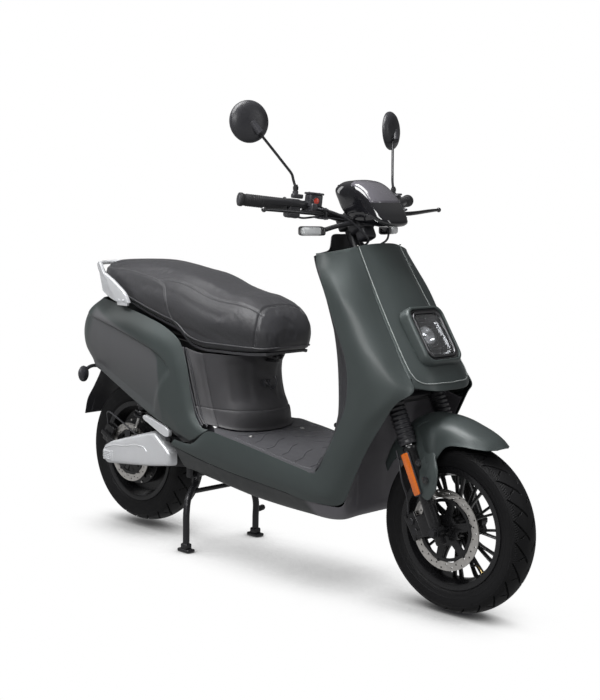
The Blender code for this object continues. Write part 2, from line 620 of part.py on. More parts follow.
# Cross tubes: x, z, radius
CROSS_TUBES = [(0.296, 0.285, 0.0165), (0.120, 0.289, 0.010), (-0.190, 0.3005, 0.010),
               (-0.352, 0.460, 0.011), (-0.745, 0.638, 0.011)]


def swing_lug(side):
    return union(block((SWING_PIVOT.x + 0.004, side * 0.0935, 0.293), (0.040, 0.011, 0.072),
                       bevel=0.003),
                 rod_on(SWING_PIVOT, Y_AXIS, side * 0.088, side * 0.099, 0.0205))


def shock_mount(side):
    pin = (SHOCK_TOP.x, 0, SHOCK_TOP.z)
    boss = (SHOCK_TOP.x, 0, 0.610)
    return union(block((SHOCK_TOP.x, side * 0.124, 0.585), (0.034, 0.008, 0.092), bevel=0.002),
                 rod_on(pin, Y_AXIS, side * 0.0855, side * 0.128, 0.0060),
                 rod_on(boss, Y_AXIS, side * 0.100, side * 0.128, 0.0090))


def stand_lug(side):
    return block((STAND_PIVOT.x + 0.002, side * 0.0935, 0.240), (0.022, 0.011, 0.044),
                 bevel=0.003)


def peg_bracket(side):
    """An arm out from the rail, with a round seat and an upright pin under the peg."""
    below = (PEG_PIVOT.x, side * PEG_PIVOT.y, 0)
    return union(rod((-0.306, side * 0.098, 0.342), (-0.336, side * 0.168, 0.351), 0.0065, 10),
                 rod_on(below, Z_AXIS, 0.3455, 0.3570, 0.0105, 14),
                 rod_on(below, Z_AXIS, 0.3500, 0.3700, 0.0032))


def main_frame():
    head = fork_rod(HEAD_LO, HEAD_HI, 0.0265, 18)
    down = tube([on_fork(0.50, -0.012)] + DOWN_PATH, 0.0180)
    rails = [tube([to_side(point, side) for point in RAIL_PATH], 0.0125) for side in SIDES]
    cross = [rod_on((x, 0, z), Y_AXIS, -0.106, 0.106, radius) for x, z, radius in CROSS_TUBES]
    body = union(head, down, cross[0], *rails)
    body = union(body, *cross[1:])
    for fitting in (swing_lug, shock_mount, stand_lug):
        for side in SIDES:
            body = union(body, fitting(side))
    swing_bolt = rod_on(SWING_PIVOT, Y_AXIS, -0.104, 0.104, 0.0075)
    stand_pin = rod_on(STAND_PIVOT, Y_AXIS, -0.098, 0.098, 0.0050)
    tray = block((-0.232, 0, 0.405), (0.118, 0.160, 0.006))
    tray_legs = [rod((-0.190, side * 0.070, 0.298), (-0.190, side * 0.070, 0.406), 0.007, 8)
                 for side in SIDES]
    body = union(body, swing_bolt, stand_pin, *tray_legs, tray)
    body = cut(body, fork_rod(HEAD_LO - 0.02, HEAD_HI + 0.02, 0.0185, 18))
    return union(body, *[peg_bracket(side) for side in SIDES])


# ----------------------------------------------------------------- headlight
LAMP = Vector((0.541, 0.0, 0.742))
LAMP_PITCH = math.radians(33)   # faces forward and a little up
LAMP_DIR = Vector((math.cos(LAMP_PITCH), 0, math.sin(LAMP_PITCH)))
LAMP_UP = Vector((-LAMP_DIR.z, 0, LAMP_DIR.x))
LAMP_CORNER_POINTS = 5
# Sections: half width, half height, corner radius, distance along the outward axis
LAMP_HOLE = [(0.0665, 0.0765, 0.024, -0.10), (0.0665, 0.0765, 0.024, 0.06)]
HOUSING_OUTSIDE = [(0.040, 0.048, 0.018, -0.075), (0.058, 0.068, 0.020, -0.030),
                   (0.065, 0.075, 0.023, -0.016), (0.065, 0.075, 0.023, 0.006),
                   (0.058, 0.068, 0.020, 0.011)]
HOUSING_INSIDE = [(0.030, 0.036, 0.012, -0.050), (0.0515, 0.0615, 0.018, -0.006),
                  (0.0515, 0.0615, 0.018, 0.030)]
LENS = [(0.0508, 0.0608, 0.018, -0.004), (0.0508, 0.0608, 0.018, 0.004),
        (0.046, 0.056, 0.016, 0.007)]


def lamp_ring(half_width, half_height, radius, depth):
    """A rounded rectangle of the headlight."""
    ring = []
    for across, upward, start in ((1, 1, 0), (-1, 1, 90), (-1, -1, 180), (1, -1, 270)):
        for k in range(LAMP_CORNER_POINTS):
            angle = math.radians(start + 90 * k / (LAMP_CORNER_POINTS - 1))
            y = across * (half_width - radius) + radius * math.cos(angle)
            height = upward * (half_height - radius) + radius * math.sin(angle)
            ring.append(LAMP + LAMP_DIR * depth + Vector((0, y, 0)) + LAMP_UP * height)
    return ring


def lamp_solid(sections):
    return loft([lamp_ring(*section) for section in sections])


# ----------------------------------------------------------------- grab rail
RAIL_Y = 0.163
# Side blade outline, (x, z)
RAIL_BLADE = [(-0.552, 0.756), (-0.612, 0.756), (-0.672, 0.780), (-0.735, 0.836), (-0.778, 0.864),
              (-0.765, 0.874), (-0.705, 0.856), (-0.620, 0.818), (-0.560, 0.772)]
# Left half of the bow behind the seat
RAIL_BOW = [(-0.832, 0, 0.867), (-0.826, 0.045, 0.867), (-0.800, 0.088, 0.866),
            (-0.752, 0.120, 0.864)]


def rail_blade(side):
    """A side blade that leans in towards its rear end."""
    arm = plate(RAIL_BLADE, 0.011, side_plane(0))
    for vert in arm.vertices:
        lean = max(0.0, (-0.680 - vert.co.x) / 0.098)
        vert.co.y = side * (RAIL_Y + vert.co.y - 0.054 * min(1.0, lean))
    return arm


def grab_rail():
    body = union(tube(both(RAIL_BOW), 0.0068), *[rail_blade(side) for side in SIDES])
    return union(body, *[block((-0.583, side * RAIL_Y, 0.7515), (0.050, 0.010, 0.012))
                         for side in SIDES])


# ----------------------------------------------------------------- fork
YOKE_LOW = 0.352               # lower end of the stem, up the steering axis


def fork_boot(side):
    profile = [(0.0213, 0.0), (0.0256, 0.0)]
    for k in range(1, 4):
        profile += [(0.0240, 0.040 * k - 0.010), (0.0256, 0.040 * k)]
    profile += [(0.0240, 0.126), (0.0213, 0.126)]
    return turned(profile, on_fork(0.228, LEG_OFFSET, side * LEG_Y), 12, AXIS)


def fork_upper():
    """Stem, nut, yoke, stanchions and boots."""
    stem = fork_rod(YOKE_LOW, 0.885, 0.0150, 16)
    nut = fork_rod(HEAD_HI + 0.004, HEAD_HI + 0.024, 0.0240, 8)
    stem_base = fork_rod(YOKE_LOW, HEAD_LO - 0.004, 0.0245, 18)
    yoke = union(block(on_fork(0.362, 0.012), (0.050, 0.212, 0.022), RAKE_TURN, 0.004),
                 *[fork_rod(0.350, 0.378, 0.0235, 12, LEG_OFFSET, side * LEG_Y)
                   for side in SIDES])
    stanchions = [fork_rod(0.125, 0.372, 0.0120, 12, LEG_OFFSET, side * LEG_Y) for side in SIDES]
    return union(stem, nut, stem_base, yoke, *stanchions, *[fork_boot(side) for side in SIDES])


# Slider leg: radius, distance up from its origin
SLIDER_PROFILE = [(0.0, -0.036), (0.0145, -0.036), (0.0145, 0.010), (0.0180, 0.020),
                  (0.0180, 0.120), (0.0195, 0.130), (0.0195, 0.232), (0.0185, 0.242),
                  (0.0, 0.242)]


def fork_slider(side):
    """Lower leg with its axle lug and an outer strip; the right one carries the caliper."""
    y = side * LEG_Y
    leg = turned(SLIDER_PROFILE, on_fork(-0.017, LEG_OFFSET, y), 18, AXIS)
    lug = rod_on(FRONT_AXLE, Y_AXIS, side * (LEG_Y - 0.013), side * (LEG_Y + 0.013), 0.0190)
    fork_plane = Matrix(((AXIS.x, AHEAD.x, 0, 0), (0, 0, 1, 0),
                         (AXIS.z, AHEAD.z, 0, 0), (0, 0, 0, 1)))
    strip_place = Matrix.Translation(on_fork(0.0, LEG_OFFSET, side * (LEG_Y + 0.0295)))
    strip = plate(symmetric([(0.090, -0.006), (0.205, -0.006)]), 0.006,
                  strip_place @ fork_plane)
    arm = block(on_fork(0.115, LEG_OFFSET, side * (LEG_Y + 0.022)), (0.012, 0.020, 0.030),
                RAKE_TURN)
    leg = union(leg, lug, arm, strip)
    if side < 0:
        leg = union(leg, block(on_fork(0.012, 0.006, y), (0.040, 0.020, 0.060), RAKE_TURN, 0.003))
    return cut(leg, fork_rod(0.055, 0.30, 0.0128, 12, LEG_OFFSET, y),
               rod_on(FRONT_AXLE, Y_AXIS, side * 0.05, side * 0.13, 0.0073, 14))


def front_caliper():
    turn = Matrix.Rotation(-RAKE - 0.10, 3, "Y")
    body = block(on_fork(0.020, -0.054, FRONT_DISC_Y), (0.042, 0.034, 0.078), turn, 0.005)
    return cut(body, turned(band(0.0, 0.1140, -0.0042, 0.0042),
                            FRONT_AXLE + Y_AXIS * FRONT_DISC_Y, 32))


# ----------------------------------------------------------------- wheels
def axle(centre, reach, radius, segments, nut_in, nut_out, nut_r):
    """An axle with a hexagonal nut at each end."""
    return union(rod_on(centre, Y_AXIS, -reach, reach, radius, segments),
                 rod_on(centre, Y_AXIS, -nut_out, -nut_in, nut_r, 6),
                 rod_on(centre, Y_AXIS, nut_in, nut_out, nut_r, 6))


def tyre(centre, outer, half_width, rim_half_w, wall_drop, edge_drop, edge_share, crown_share):
    """Drops are depths below the tread; shares are parts of the half width."""
    half = [(BEAD_R, -(rim_half_w - 0.0020)), (BEAD_R + 0.0140, -(rim_half_w - 0.0010)),
            (outer - wall_drop, -half_width), (outer - edge_drop, -half_width * edge_share),
            (outer, -half_width * crown_share)]
    return turned(symmetric(half), centre, 24)


def rim_ring(centre, half):
    return turned(symmetric([(0.1405, -0.014), (FLANGE_R, -half - 0.0035), (FLANGE_R, -half),
                             (0.1530, -half + 0.0008)]), centre, 24)


def disc_spacer(centre, disc_y, inner_y, bore_reach, bore_r):
    """The bored boss between a hub and its disc."""
    return cut(turned(band(0.0, 0.030, disc_y + 0.0022, inner_y), centre, 24),
               rod_on(centre, Y_AXIS, -bore_reach, 0.0, bore_r, 16))


def front_rim():
    """Rim, hub and twelve pairs of spokes."""
    hub = turned(symmetric([(0.0, -0.046), (0.026, -0.046), (0.032, -0.030)]), FRONT_AXLE, 24)
    spokes = []
    for k in range(12):
        for lean in (-1, 1):
            angle = 2 * math.pi * k / 12 + math.radians(1.0) + lean * math.radians(4.4)
            radial = Vector((math.cos(angle), 0, math.sin(angle)))
            start = FRONT_AXLE + radial * 0.0285
            end = FRONT_AXLE + radial * 0.1450
            turn = radial_turn((end - start).normalized())
            size = ((end - start).length, 0.018, 0.0065)
            spokes.append(block((start + end) / 2, size, turn))
    body = union(rim_ring(FRONT_AXLE, FRONT_RIM_HALF_W), hub)
    body = union(body, *spokes)
    body = cut(body, rod_on(FRONT_AXLE, Y_AXIS, -0.06, 0.06, FRONT_BORE_R, 16))
    return union(body, disc_spacer(FRONT_AXLE, FRONT_DISC_Y, -0.040, 0.07, FRONT_BORE_R))


def brake_disc(centre, outer, inner):
    """A brake ring with a carrier of five arms round the hub."""
    ring = turned(band(inner, outer, -DISC_HALF_T, DISC_HALF_T), centre, 24)
    boss = turned(band(0.0345, 0.0460, -DISC_HALF_T, DISC_HALF_T), centre, 16)
    arms = []
    for k in range(5):
        angle = 2 * math.pi * k / 5 + 0.3
        radial = Vector((math.cos(angle), 0, math.sin(angle)))
        arms.append(block(centre + radial * (0.040 + inner + 0.004) / 2,
                          (inner + 0.004 - 0.040, 0.0030, 0.014), radial_turn(radial)))
    return union(ring, *arms, boss)


def hub_motor():
    """Rear rim, web and motor drum."""
    motor = turned(symmetric([(0.0, -0.062), (0.045, -0.062), (0.070, -0.056), (0.104, -0.050),
                              (0.110, -0.040)]), REAR_AXLE, 24)
    web = turned(band(0.106, 0.1450, -0.006, 0.006), REAR_AXLE, 24)
    body = union(rim_ring(REAR_AXLE, REAR_RIM_HALF_W), web, motor)
    body = cut(body, rod_on(REAR_AXLE, Y_AXIS, -0.08, 0.08, REAR_BORE_R, 16))
    return union(body, disc_spacer(REAR_AXLE, REAR_DISC_Y, -0.058, 0.09, REAR_BORE_R))


# ----------------------------------------------------------------- swingarm
# Left arm sections: x, z, y, half height, half thickness
ARM_STATIONS = [(-0.340, 0.270, 0.072, 0.022, 0.012), (-0.385, 0.270, 0.090, 0.024, 0.011),
                (-0.430, 0.268, 0.117, 0.024, 0.009), (-0.560, 0.262, 0.125, 0.023, 0.008),
                (-0.640, 0.253, 0.125, 0.024, 0.008), (-0.682, 0.250, 0.125, 0.016, 0.008)]
COVER_POSTS = [(-0.480, 0, 0.268), (-0.580, 0, 0.268)]
# Outline of the cover on the right arm, (x, z)
COVER_OUTLINE = [(-0.681, 0.240), (-0.681, 0.264), (-0.671, 0.282), (-0.639, 0.300),
                 (-0.537, 0.330), (-0.440, 0.358), (-0.423, 0.360), (-0.346, 0.304),
                 (-0.346, 0.262), (-0.437, 0.247), (-0.536, 0.236), (-0.665, 0.223)]
# Cover sections: y, shrink
COVER_OUTSIDE = [(-0.1370, -0.02), (-0.1560, 0.0), (-0.1680, 0.06), (-0.1710, 0.14)]
COVER_INSIDE = [(-0.1300, 0.045), (-0.1560, 0.060), (-0.1655, 0.12), (-0.1680, 0.20)]


def swing_blade(side):
    return loft([[Vector((x, side * (y + dy), z + dz)) for dy, dz in
                  ((-thick, -high), (thick, -high), (thick, high), (-thick, high))]
                 for x, z, y, high, thick in ARM_STATIONS])


def shock_lug(side):
    pin = (SHOCK_LOW.x, 0, SHOCK_LOW.z)
    return union(block((SHOCK_LOW.x, side * 0.1265, 0.300), (0.026, 0.008, 0.070), bevel=0.002),
                 rod_on(pin, Y_AXIS, side * 0.0875, side * 0.130, 0.0055))


def swingarm():
    sleeve = rod_on(SWING_PIVOT, Y_AXIS, -0.0860, 0.0860, 0.0175, 18)
    body = union(sleeve, *[swing_blade(side) for side in SIDES])
    body = union(body, *[shock_lug(side) for side in SIDES])
    body = union(body, joined(*[rod_on(post, Y_AXIS, -0.120, -0.1480, 0.005, 8)
                                for post in COVER_POSTS]))
    return cut(body, rod_on(SWING_PIVOT, Y_AXIS, -0.10, 0.10, 0.0083, 16),
               rod_on(REAR_AXLE, Y_AXIS, -0.16, 0.16, REAR_BORE_R, 16))


def cover_solid(sections):
    """A loft of the cover outline, shrunk about its mean point, more in z than in x."""
    mean_x = sum(x for x, _ in COVER_OUTLINE) / len(COVER_OUTLINE)
    mean_z = sum(z for _, z in COVER_OUTLINE) / len(COVER_OUTLINE)
    return loft([[Vector((mean_x + (x - mean_x) * (1 - shrink * 0.55), y,
                          mean_z + (z - mean_z) * (1 - shrink * 1.6)))
                  for x, z in COVER_OUTLINE] for y, shrink in sections])


def swingarm_cover():
    body = cut(cover_solid(COVER_OUTSIDE), cover_solid(COVER_INSIDE))
    return union(body, *[rod_on(post, Y_AXIS, -0.1484, -0.1690, 0.0055, 8)
                         for post in COVER_POSTS])


def rear_caliper():
    """The caliper with two blocks that step out to the swingarm."""
    turn = Matrix.Rotation(0.47, 3, "Y")
    body = block(REAR_AXLE + Vector((-0.098, REAR_DISC_Y, 0.050)), (0.040, 0.030, 0.062),
                 turn, 0.005)
    body = cut(body, turned(band(0.0, 0.1010, -0.0040, 0.0040),
                            REAR_AXLE + Y_AXIS * REAR_DISC_Y, 32))
    return union(body,
                 block(REAR_AXLE + Vector((-0.085, -0.102, 0.040)), (0.075, 0.014, 0.014), turn),
                 block(REAR_AXLE + Vector((-0.060, -0.1085, 0.030)), (0.050, 0.014, 0.020), turn))


# ----------------------------------------------------------------- shocks
SHOCK_DIR = (SHOCK_LOW - SHOCK_TOP).normalized()
SHOCK_EYE_R, SHOCK_FOOT_R = 0.0064, 0.0068   # bores


def shock_body(side):
    """Upper eye and a body with three swells, hollow from below for the rod."""
    top = to_side(SHOCK_TOP, side)
    profile = [(0.0, 0.010), (0.0075, 0.010)]
    for k in range(3):
        base = 0.022 + 0.0420 * k
        profile += [(0.0185, base), (0.0205, base + 0.018), (0.0185, base + 0.036)]
    profile += [(0.0150, 0.150), (0.0120, 0.165), (0.0120, 0.185), (0.0055, 0.185),
                (0.0055, 0.090), (0.0, 0.090)]
    eye = turned(band(SHOCK_EYE_R, 0.0125, -0.010, 0.010), top, 12)
    return cut(union(turned(profile, top, 10, SHOCK_DIR), eye),
               rod_on(top, Y_AXIS, -0.02, 0.02, SHOCK_EYE_R))


def shock_rod(side):
    top, low = to_side(SHOCK_TOP, side), to_side(SHOCK_LOW, side)
    length = (low - top).length
    shaft = rod_on(top, SHOCK_DIR, 0.135, length - 0.008, 0.0050, 10)
    collar = rod_on(top, SHOCK_DIR, length - 0.024, length - 0.009, 0.0100)
    foot = turned(band(SHOCK_FOOT_R, 0.0130, -0.009, 0.009), low, 12)
    return cut(union(shaft, collar, foot), rod_on(low, Y_AXIS, -0.02, 0.02, SHOCK_FOOT_R))


# ------------------------------------------------------- centre stand and pegs
# Left leg from the pivot down, and the foot pedal on the left
STAND_LEG = [(STAND_PIVOT.x + 0.002, 0.066, STAND_PIVOT.z - 0.002), (-0.326, 0.071, 0.205),
             (-0.306, 0.116, 0.180), (-0.290, 0.143, 0.150), (-0.284, 0.150, 0.060),
             (-0.284, 0.150, 0.008)]
STAND_PEDAL = [(-0.285, 0.150, 0.030), (-0.306, 0.168, 0.052), (-0.322, 0.200, 0.072),
               (-0.322, 0.222, 0.076)]
# Passenger peg outline, (x, z)
PEG_OUTLINE = [(-0.458, 0.401), (-0.452, 0.413), (-0.345, 0.387), (-0.331, 0.376),
               (-0.331, 0.3575), (-0.352, 0.3575)]


def centre_stand():
    sleeve = rod_on(STAND_PIVOT, Y_AXIS, -0.0815, 0.0815, 0.0120, 14)
    legs = [tube([to_side(point, side) for point in STAND_LEG], 0.0105) for side in SIDES]
    feet = [block((-0.284, side * 0.150, 0.0045), (0.052, 0.030, 0.009), bevel=0.002)
            for side in SIDES]
    cross = rod((-0.306, -0.114, 0.180), (-0.306, 0.114, 0.180), 0.0075, 10)
    body = union(sleeve, cross, *legs)
    body = union(body, *feet, tube(STAND_PEDAL, 0.0065))
    return cut(body, rod_on(STAND_PIVOT, Y_AXIS, -0.10, 0.10, 0.0056))


def passenger_peg(side):
    y = side * PEG_PIVOT.y
    return cut(plate(PEG_OUTLINE, 0.015, side_plane(y)),
               rod((PEG_PIVOT.x, y, 0.34), (PEG_PIVOT.x, y, 0.42), 0.0036))


# --------------------------------------------------------------------- seat
# Rear to front: x, top, bottom, half width at the base, half width at the shoulder
SEAT_STATIONS = [
    (-0.802, 0.864, 0.812, 0.040, 0.045), (-0.780, 0.877, 0.795, 0.078, 0.082),
    (-0.730, 0.882, 0.785, 0.112, 0.116), (-0.660, 0.886, 0.772, 0.134, 0.136),
    (-0.590, 0.888, 0.758, 0.142, 0.142), (-0.500, 0.880, 0.731, 0.144, 0.145),
    (-0.420, 0.869, 0.709, 0.144, 0.147), (-0.350, 0.860, 0.690, 0.145, 0.149),
    (-0.300, 0.848, 0.655, 0.146, 0.151), (-0.240, 0.829, 0.641, 0.147, 0.152),
    (-0.170, 0.812, 0.641, 0.145, 0.150), (-0.100, 0.803, 0.641, 0.137, 0.143),
    (-0.045, 0.782, 0.642, 0.122, 0.130), (-0.008, 0.748, 0.644, 0.100, 0.108),
    (0.016, 0.712, 0.652, 0.066, 0.074),
]


def seat_ring(x, top, bottom, base, shoulder):
    height = top - bottom
    half = [(0.0, top), (0.45 * shoulder, top - 0.03 * height),
            (0.80 * shoulder, top - 0.14 * height), (0.98 * shoulder, top - 0.34 * height),
            (shoulder, top - 0.58 * height), (0.97 * base, bottom + 0.05 * height),
            (0.90 * base, bottom)]
    return ([Vector((x, y, z)) for y, z in half]
            + [Vector((x, -y, z)) for y, z in reversed(half[1:])])


def base_ring(x, bottom, base):
    half_width, upper, lower = base * 0.88, bottom - 0.0006, bottom - 0.0095
    return [Vector((x, half_width, upper)), Vector((x, -half_width, upper)),
            Vector((x, -half_width, lower)), Vector((x, half_width, lower))]


def hinge_ear(side):
    return union(rod_on(SEAT_HINGE, Y_AXIS, side * 0.0085, side * 0.0135, 0.0085),
                 block((SEAT_HINGE.x, side * 0.011, SEAT_HINGE.z + 0.008),
                       (0.015, 0.005, 0.015)))


def seat_base():
    """A thin plate under the cushion, short of its end stations, with two hinge ears."""
    body = loft([base_ring(x, bottom, base) for x, _, bottom, base, _ in SEAT_STATIONS[1:-1]])
    body = union(body, *[hinge_ear(side) for side in SIDES])
    return cut(body, rod_on(SEAT_HINGE, Y_AXIS, -0.03, 0.03, 0.0040))


def luggage_hook():
    z = HOOK_PIVOT.z
    return union(turned(band(0.0022, 0.0060, -0.0070, 0.0070), HOOK_PIVOT, 12),
                 tube([(-0.0860, 0, z - 0.002), (-0.0660, 0, z - 0.012), (-0.0560, 0, z - 0.006),
                       (-0.0500, 0, z + 0.012), (-0.0560, 0, z + 0.026)], 0.0040))


# ------------------------------------------------------ handlebar and display
# Cowl outline in the middle plane, (x, z), scaled about its centre at each slice
COWL = [(0.268, 1.153), (0.230, 1.147), (0.208, 1.131), (0.222, 1.096), (0.241, 1.066),
        (0.291, 1.034), (0.340, 1.027), (0.385, 1.026), (0.412, 1.033), (0.404, 1.055),
        (0.380, 1.090), (0.345, 1.124), (0.304, 1.148)]
COWL_X, COWL_Z = 0.300, 1.088
# Slices: y, scale
COWL_SLICES = [(-0.074, 0.32), (-0.069, 0.62), (-0.056, 0.84), (-0.032, 0.965), (0.0, 1.0),
               (0.032, 0.965), (0.056, 0.84), (0.069, 0.62), (0.074, 0.32)]


def handlebar():
    """The bar with its stem clamp and the post of the display cowl."""
    bar = tube(both([(0.229, 0.080, 1.054), (0.232, 0.120, 1.066), bar_at(0.150),
                     bar_at(0.3545)]), 0.0110)
    clamp = block(on_fork(0.888, 0.008), (0.056, 0.054, 0.042), RAKE_TURN, 0.005)
    clamp = cut(clamp, fork_rod(0.84, 0.8855, 0.0155, 16))
    return union(bar, clamp, block((0.276, 0, 1.068), (0.070, 0.030, 0.016), bevel=0.002))


def display_cowl():
    """The cowl, with hollows for its post, the bar and the clamp."""
    body = loft([[Vector((COWL_X + (x - COWL_X) * scale, y, COWL_Z + (z - COWL_Z) * scale))
                  for x, z in COWL] for y, scale in COWL_SLICES])
    return cut(body, block((0.262, 0, 1.066), (0.100, 0.034, 0.0200)),
               block((0.224, 0, 1.050), (0.080, 0.220, 0.052)),
               block((0.226, 0, 1.066), (0.060, 0.060, 0.040)))


def grip(side):
    start, end = bar_at(0.2330, side), bar_at(0.3555, side)
    length = (end - start).length
    profile = [(BAR_BORE_R, 0.0), (0.0205, 0.0), (0.0205, 0.004), (0.0165, 0.007),
               (0.0160, 0.050), (0.0168, length - 0.012), (0.0185, length - 0.008),
               (0.0185, length - 0.002), (0.0165, length), (BAR_BORE_R, length - 0.0006)]
    return turned(profile, start, 18, end - start)


def front_signal_bar():
    bar = tube(both([(0.266, 0.094, 1.025), (0.250, 0.136, 1.012)]), 0.0065)
    lamps = [block((0.2370, side * 0.1610, 1.0110), (0.042, 0.072, 0.026),
                   Matrix.Rotation(side * 0.42, 3, "Z"), 0.007) for side in SIDES]
    return union(union(bar, *lamps), rod((0.2660, 0, 1.025), (0.2790, 0, 1.0370), 0.0060, 8))


# ----------------------------------------------------------------- controls
# Lever blade on the left, offsets from its pivot
LEVER_PATH = [(0, 0, 0), (0.004, 0.024, 0.001), (0.000, 0.060, 0.003), (-0.012, 0.120, 0.007),
              (-0.024, 0.175, 0.010)]
# Mirror shell: radius, distance along the normal
MIRROR_PROFILE = [(0.0, -0.0070), (0.0540, -0.0070), (0.0575, -0.0045), (0.0575, 0.0005),
                  (0.0500, 0.0095), (0.0300, 0.0165), (0.0, 0.0190)]


def bar_frame(side):
    """Forward, outward and upward at the bar, and a rotation with Y along the bar."""
    outward = to_side(BAR_DIR, side)
    forward = Z_AXIS.cross(outward).normalized() * -side
    upward = forward.cross(outward) * side
    return forward, outward, upward, Matrix((forward * side, outward, upward)).transposed()


def bar_bore(start, side):
    return rod(bar_at(start, side), bar_at(0.25, side), BAR_BORE_R, 18)


def button_face(side):
    """Middle of the switch housing's rear face, where the button sits."""
    forward, _, upward, _ = bar_frame(side)
    return bar_at(0.2110, side) - forward * 0.025 + upward * 0.004


def switch_housing(side):
    """A block on the bar with a recess for its button at the rear."""
    forward, _, upward, turn = bar_frame(side)
    case = block(bar_at(0.2110, side) - forward * 0.003 - upward * 0.004,
                 (0.044, 0.034, 0.038), turn, 0.005)
    case = cut(case, bar_bore(0.17, side))
    return cut(case, rod_on(button_face(side), forward, -0.010, 0.0075, 0.0066, 14))


def button(side):
    return rod_on(button_face(side), bar_frame(side)[0], -0.0040, 0.0045, 0.0060)


def master_cylinder(side):
    """Clamp, reservoir, mirror boss and the jaws that hold the lever."""
    forward, outward, upward, turn = bar_frame(side)
    hold = bar_at(0.1720, side)
    pivot = to_side(LEVER_PIVOT, side)
    body = union(block(hold, (0.036, 0.022, 0.034), turn, 0.003),
                 block(hold + forward * 0.028 - upward * 0.001 - outward * 0.004,
                       (0.034, 0.020, 0.024), turn, 0.003),
                 block(hold + upward * 0.030 + forward * 0.012 + outward * 0.004,
                       (0.050, 0.044, 0.026), turn, 0.005))
    boss = hold + outward * 0.0400 + forward * 0.002
    body = union(body, block(hold + upward * 0.026 + outward * 0.034 + forward * 0.002,
                             (0.020, 0.030, 0.012), turn, 0.002),
                 rod_on(boss, upward, 0.024, 0.040, 0.0080))
    jaw_up, jaw_low = [block(pivot + Vector((-0.008, 0, z)), (0.034, 0.020, 0.0060), turn, 0.001)
                       for z in (0.0118, -0.0118)]
    jaw_back = block(pivot + Vector((-0.022, 0, 0.0010)), (0.012, 0.020, 0.029), turn, 0.001)
    body = union(body, jaw_back, jaw_up, jaw_low,
                 rod_on(pivot, Z_AXIS, -0.011, 0.011, 0.0028, 10))
    return cut(body, bar_bore(0.15, side))


def brake_lever(side):
    pivot, tip = to_side(LEVER_PIVOT, side), to_side(LEVER_TIP, side)
    path = [pivot + to_side(offset, side) for offset in LEVER_PATH]
    path.append(tip - Y_AXIS * (side * 0.0065))
    blade = union(tube(path, 0.0052), ball(tip - Y_AXIS * (side * 0.0072), (0.0072,) * 3),
                  rod_on(pivot, Z_AXIS, -0.0068, 0.0068, 0.0085, 14))
    return cut(blade, rod_on(pivot, Z_AXIS, -0.02, 0.02, 0.0033))


def mirror_stem(side):
    forward, outward, upward, _ = bar_frame(side)
    foot = bar_at(0.1720, side) + outward * 0.0400 + upward * 0.0418 + forward * 0.002
    joint = to_side(MIRROR_JOINT, side)
    return union(rod_on(foot, Z_AXIS, 0.0, 0.012, 0.0075, 6),
                 tube([foot + Vector((0, 0, 0.006)), (0.2020, side * 0.2130, 1.163),
                       to_side(MIRROR_NECK, side), joint], 0.0048),
                 ball(joint, (0.0085,) * 3))


def mirror_head(side):
    """A round shell whose glass faces back and a little inwards, with a ball socket."""
    joint, neck = to_side(MIRROR_JOINT, side), to_side(MIRROR_NECK, side)
    centre = Vector((0.122, side * 0.296, 1.303))
    yaw = math.radians(19)
    normal = Vector((math.cos(yaw), side * math.sin(yaw), 0.06)).normalized()
    body = union(turned(MIRROR_PROFILE, centre, 18, normal),
                 rod(joint + Vector((0.010, 0, -0.006)), centre + normal * 0.012, 0.0105))
    return cut(body, ball(joint, (0.0092,) * 3, 8, 12),
               rod_on(joint, (neck - joint).normalized(), 0.0, 0.05, 0.0064))


# ------------------------------------------------------------------ assembly
def world_of(parent):
    return Vector((0, 0, 0)) if parent is None else Vector(parent["world"])


def group(name, location, parent=None):
    """An empty that carries the pieces of one moving group, on its joint's axis."""
    empty = bpy.data.objects.new(name, None)
    empty.empty_display_size = 0.05
    parts.objects.link(empty)
    empty["world"] = Vector(location)
    empty.location = Vector(location) - world_of(parent)
    empty.parent = parent
    return empty


def place(name, mesh, mat, parent=None, origin=None):
    """A finished piece; its origin is its parent's unless one is given."""
    base = world_of(parent)
    origin = base if origin is None else Vector(origin)
    mesh.name = name
    mesh.shade_smooth()
    mesh.set_sharp_from_angle(angle=math.radians(35.0))
    mesh.materials.clear()
    mesh.materials.append(mat)
    mesh.transform(Matrix.Translation(-origin))
    obj = bpy.data.objects.new(name, mesh)
    parts.objects.link(obj)
    obj.parent = parent
    obj.location = origin - base


steering = group("steering_group", STEER_BASE)
lower_fork = group("fork_lower_group", STEER_BASE, steering)
front_wheel = group("front_wheel_group", FRONT_AXLE, lower_fork)
swing_group = group("swingarm_group", SWING_PIVOT)
rear_wheel = group("rear_wheel_group", REAR_AXLE, swing_group)
seat_group = group("seat_group", SEAT_HINGE)

place("frame", main_frame(), STEEL)
place("front_panel", cut(full_panel(FRONT_ROWS, 8, 7, X_AXIS), lamp_solid(LAMP_HOLE)), PAINT)
place("side_panel_right", mirrored(side_panel()), PAINT)
place("side_panel_left", side_panel(), PAINT)
place("inner_legshield", full_panel(LEGSHIELD_ROWS, 10, 11, -X_AXIS), BLACK)
place("underbody_guard", full_panel(GUARD_ROWS, 14, 9, -Z_AXIS), BLACK)
place("floorboard", floorboard(), BLACK)
place("underseat_cover", underseat_cover(), BLACK)
place("rear_cover_right", mirrored(tail_cover()), PAINT)
place("rear_cover_left", tail_cover(), PAINT)
place("rear_mudguard", rear_mudguard(), BLACK)
place("tail_lamp", block((-0.8770, 0, 0.650), (0.0110, 0.092, 0.066), bevel=0.003), RED)
place("grab_rail", grab_rail(), ALLOY)
place("headlight_housing", cut(lamp_solid(HOUSING_OUTSIDE), lamp_solid(HOUSING_INSIDE)), GLOSS)
place("headlight_lens", lamp_solid(LENS), CLEAR)
place("battery_pack", block((-0.222, 0, 0.4925), (0.130, 0.150, 0.160), bevel=0.010), BLACK)
place("motor_controller", block((0.020, 0, 0.262), (0.170, 0.130, 0.030), bevel=0.004), ALLOY)

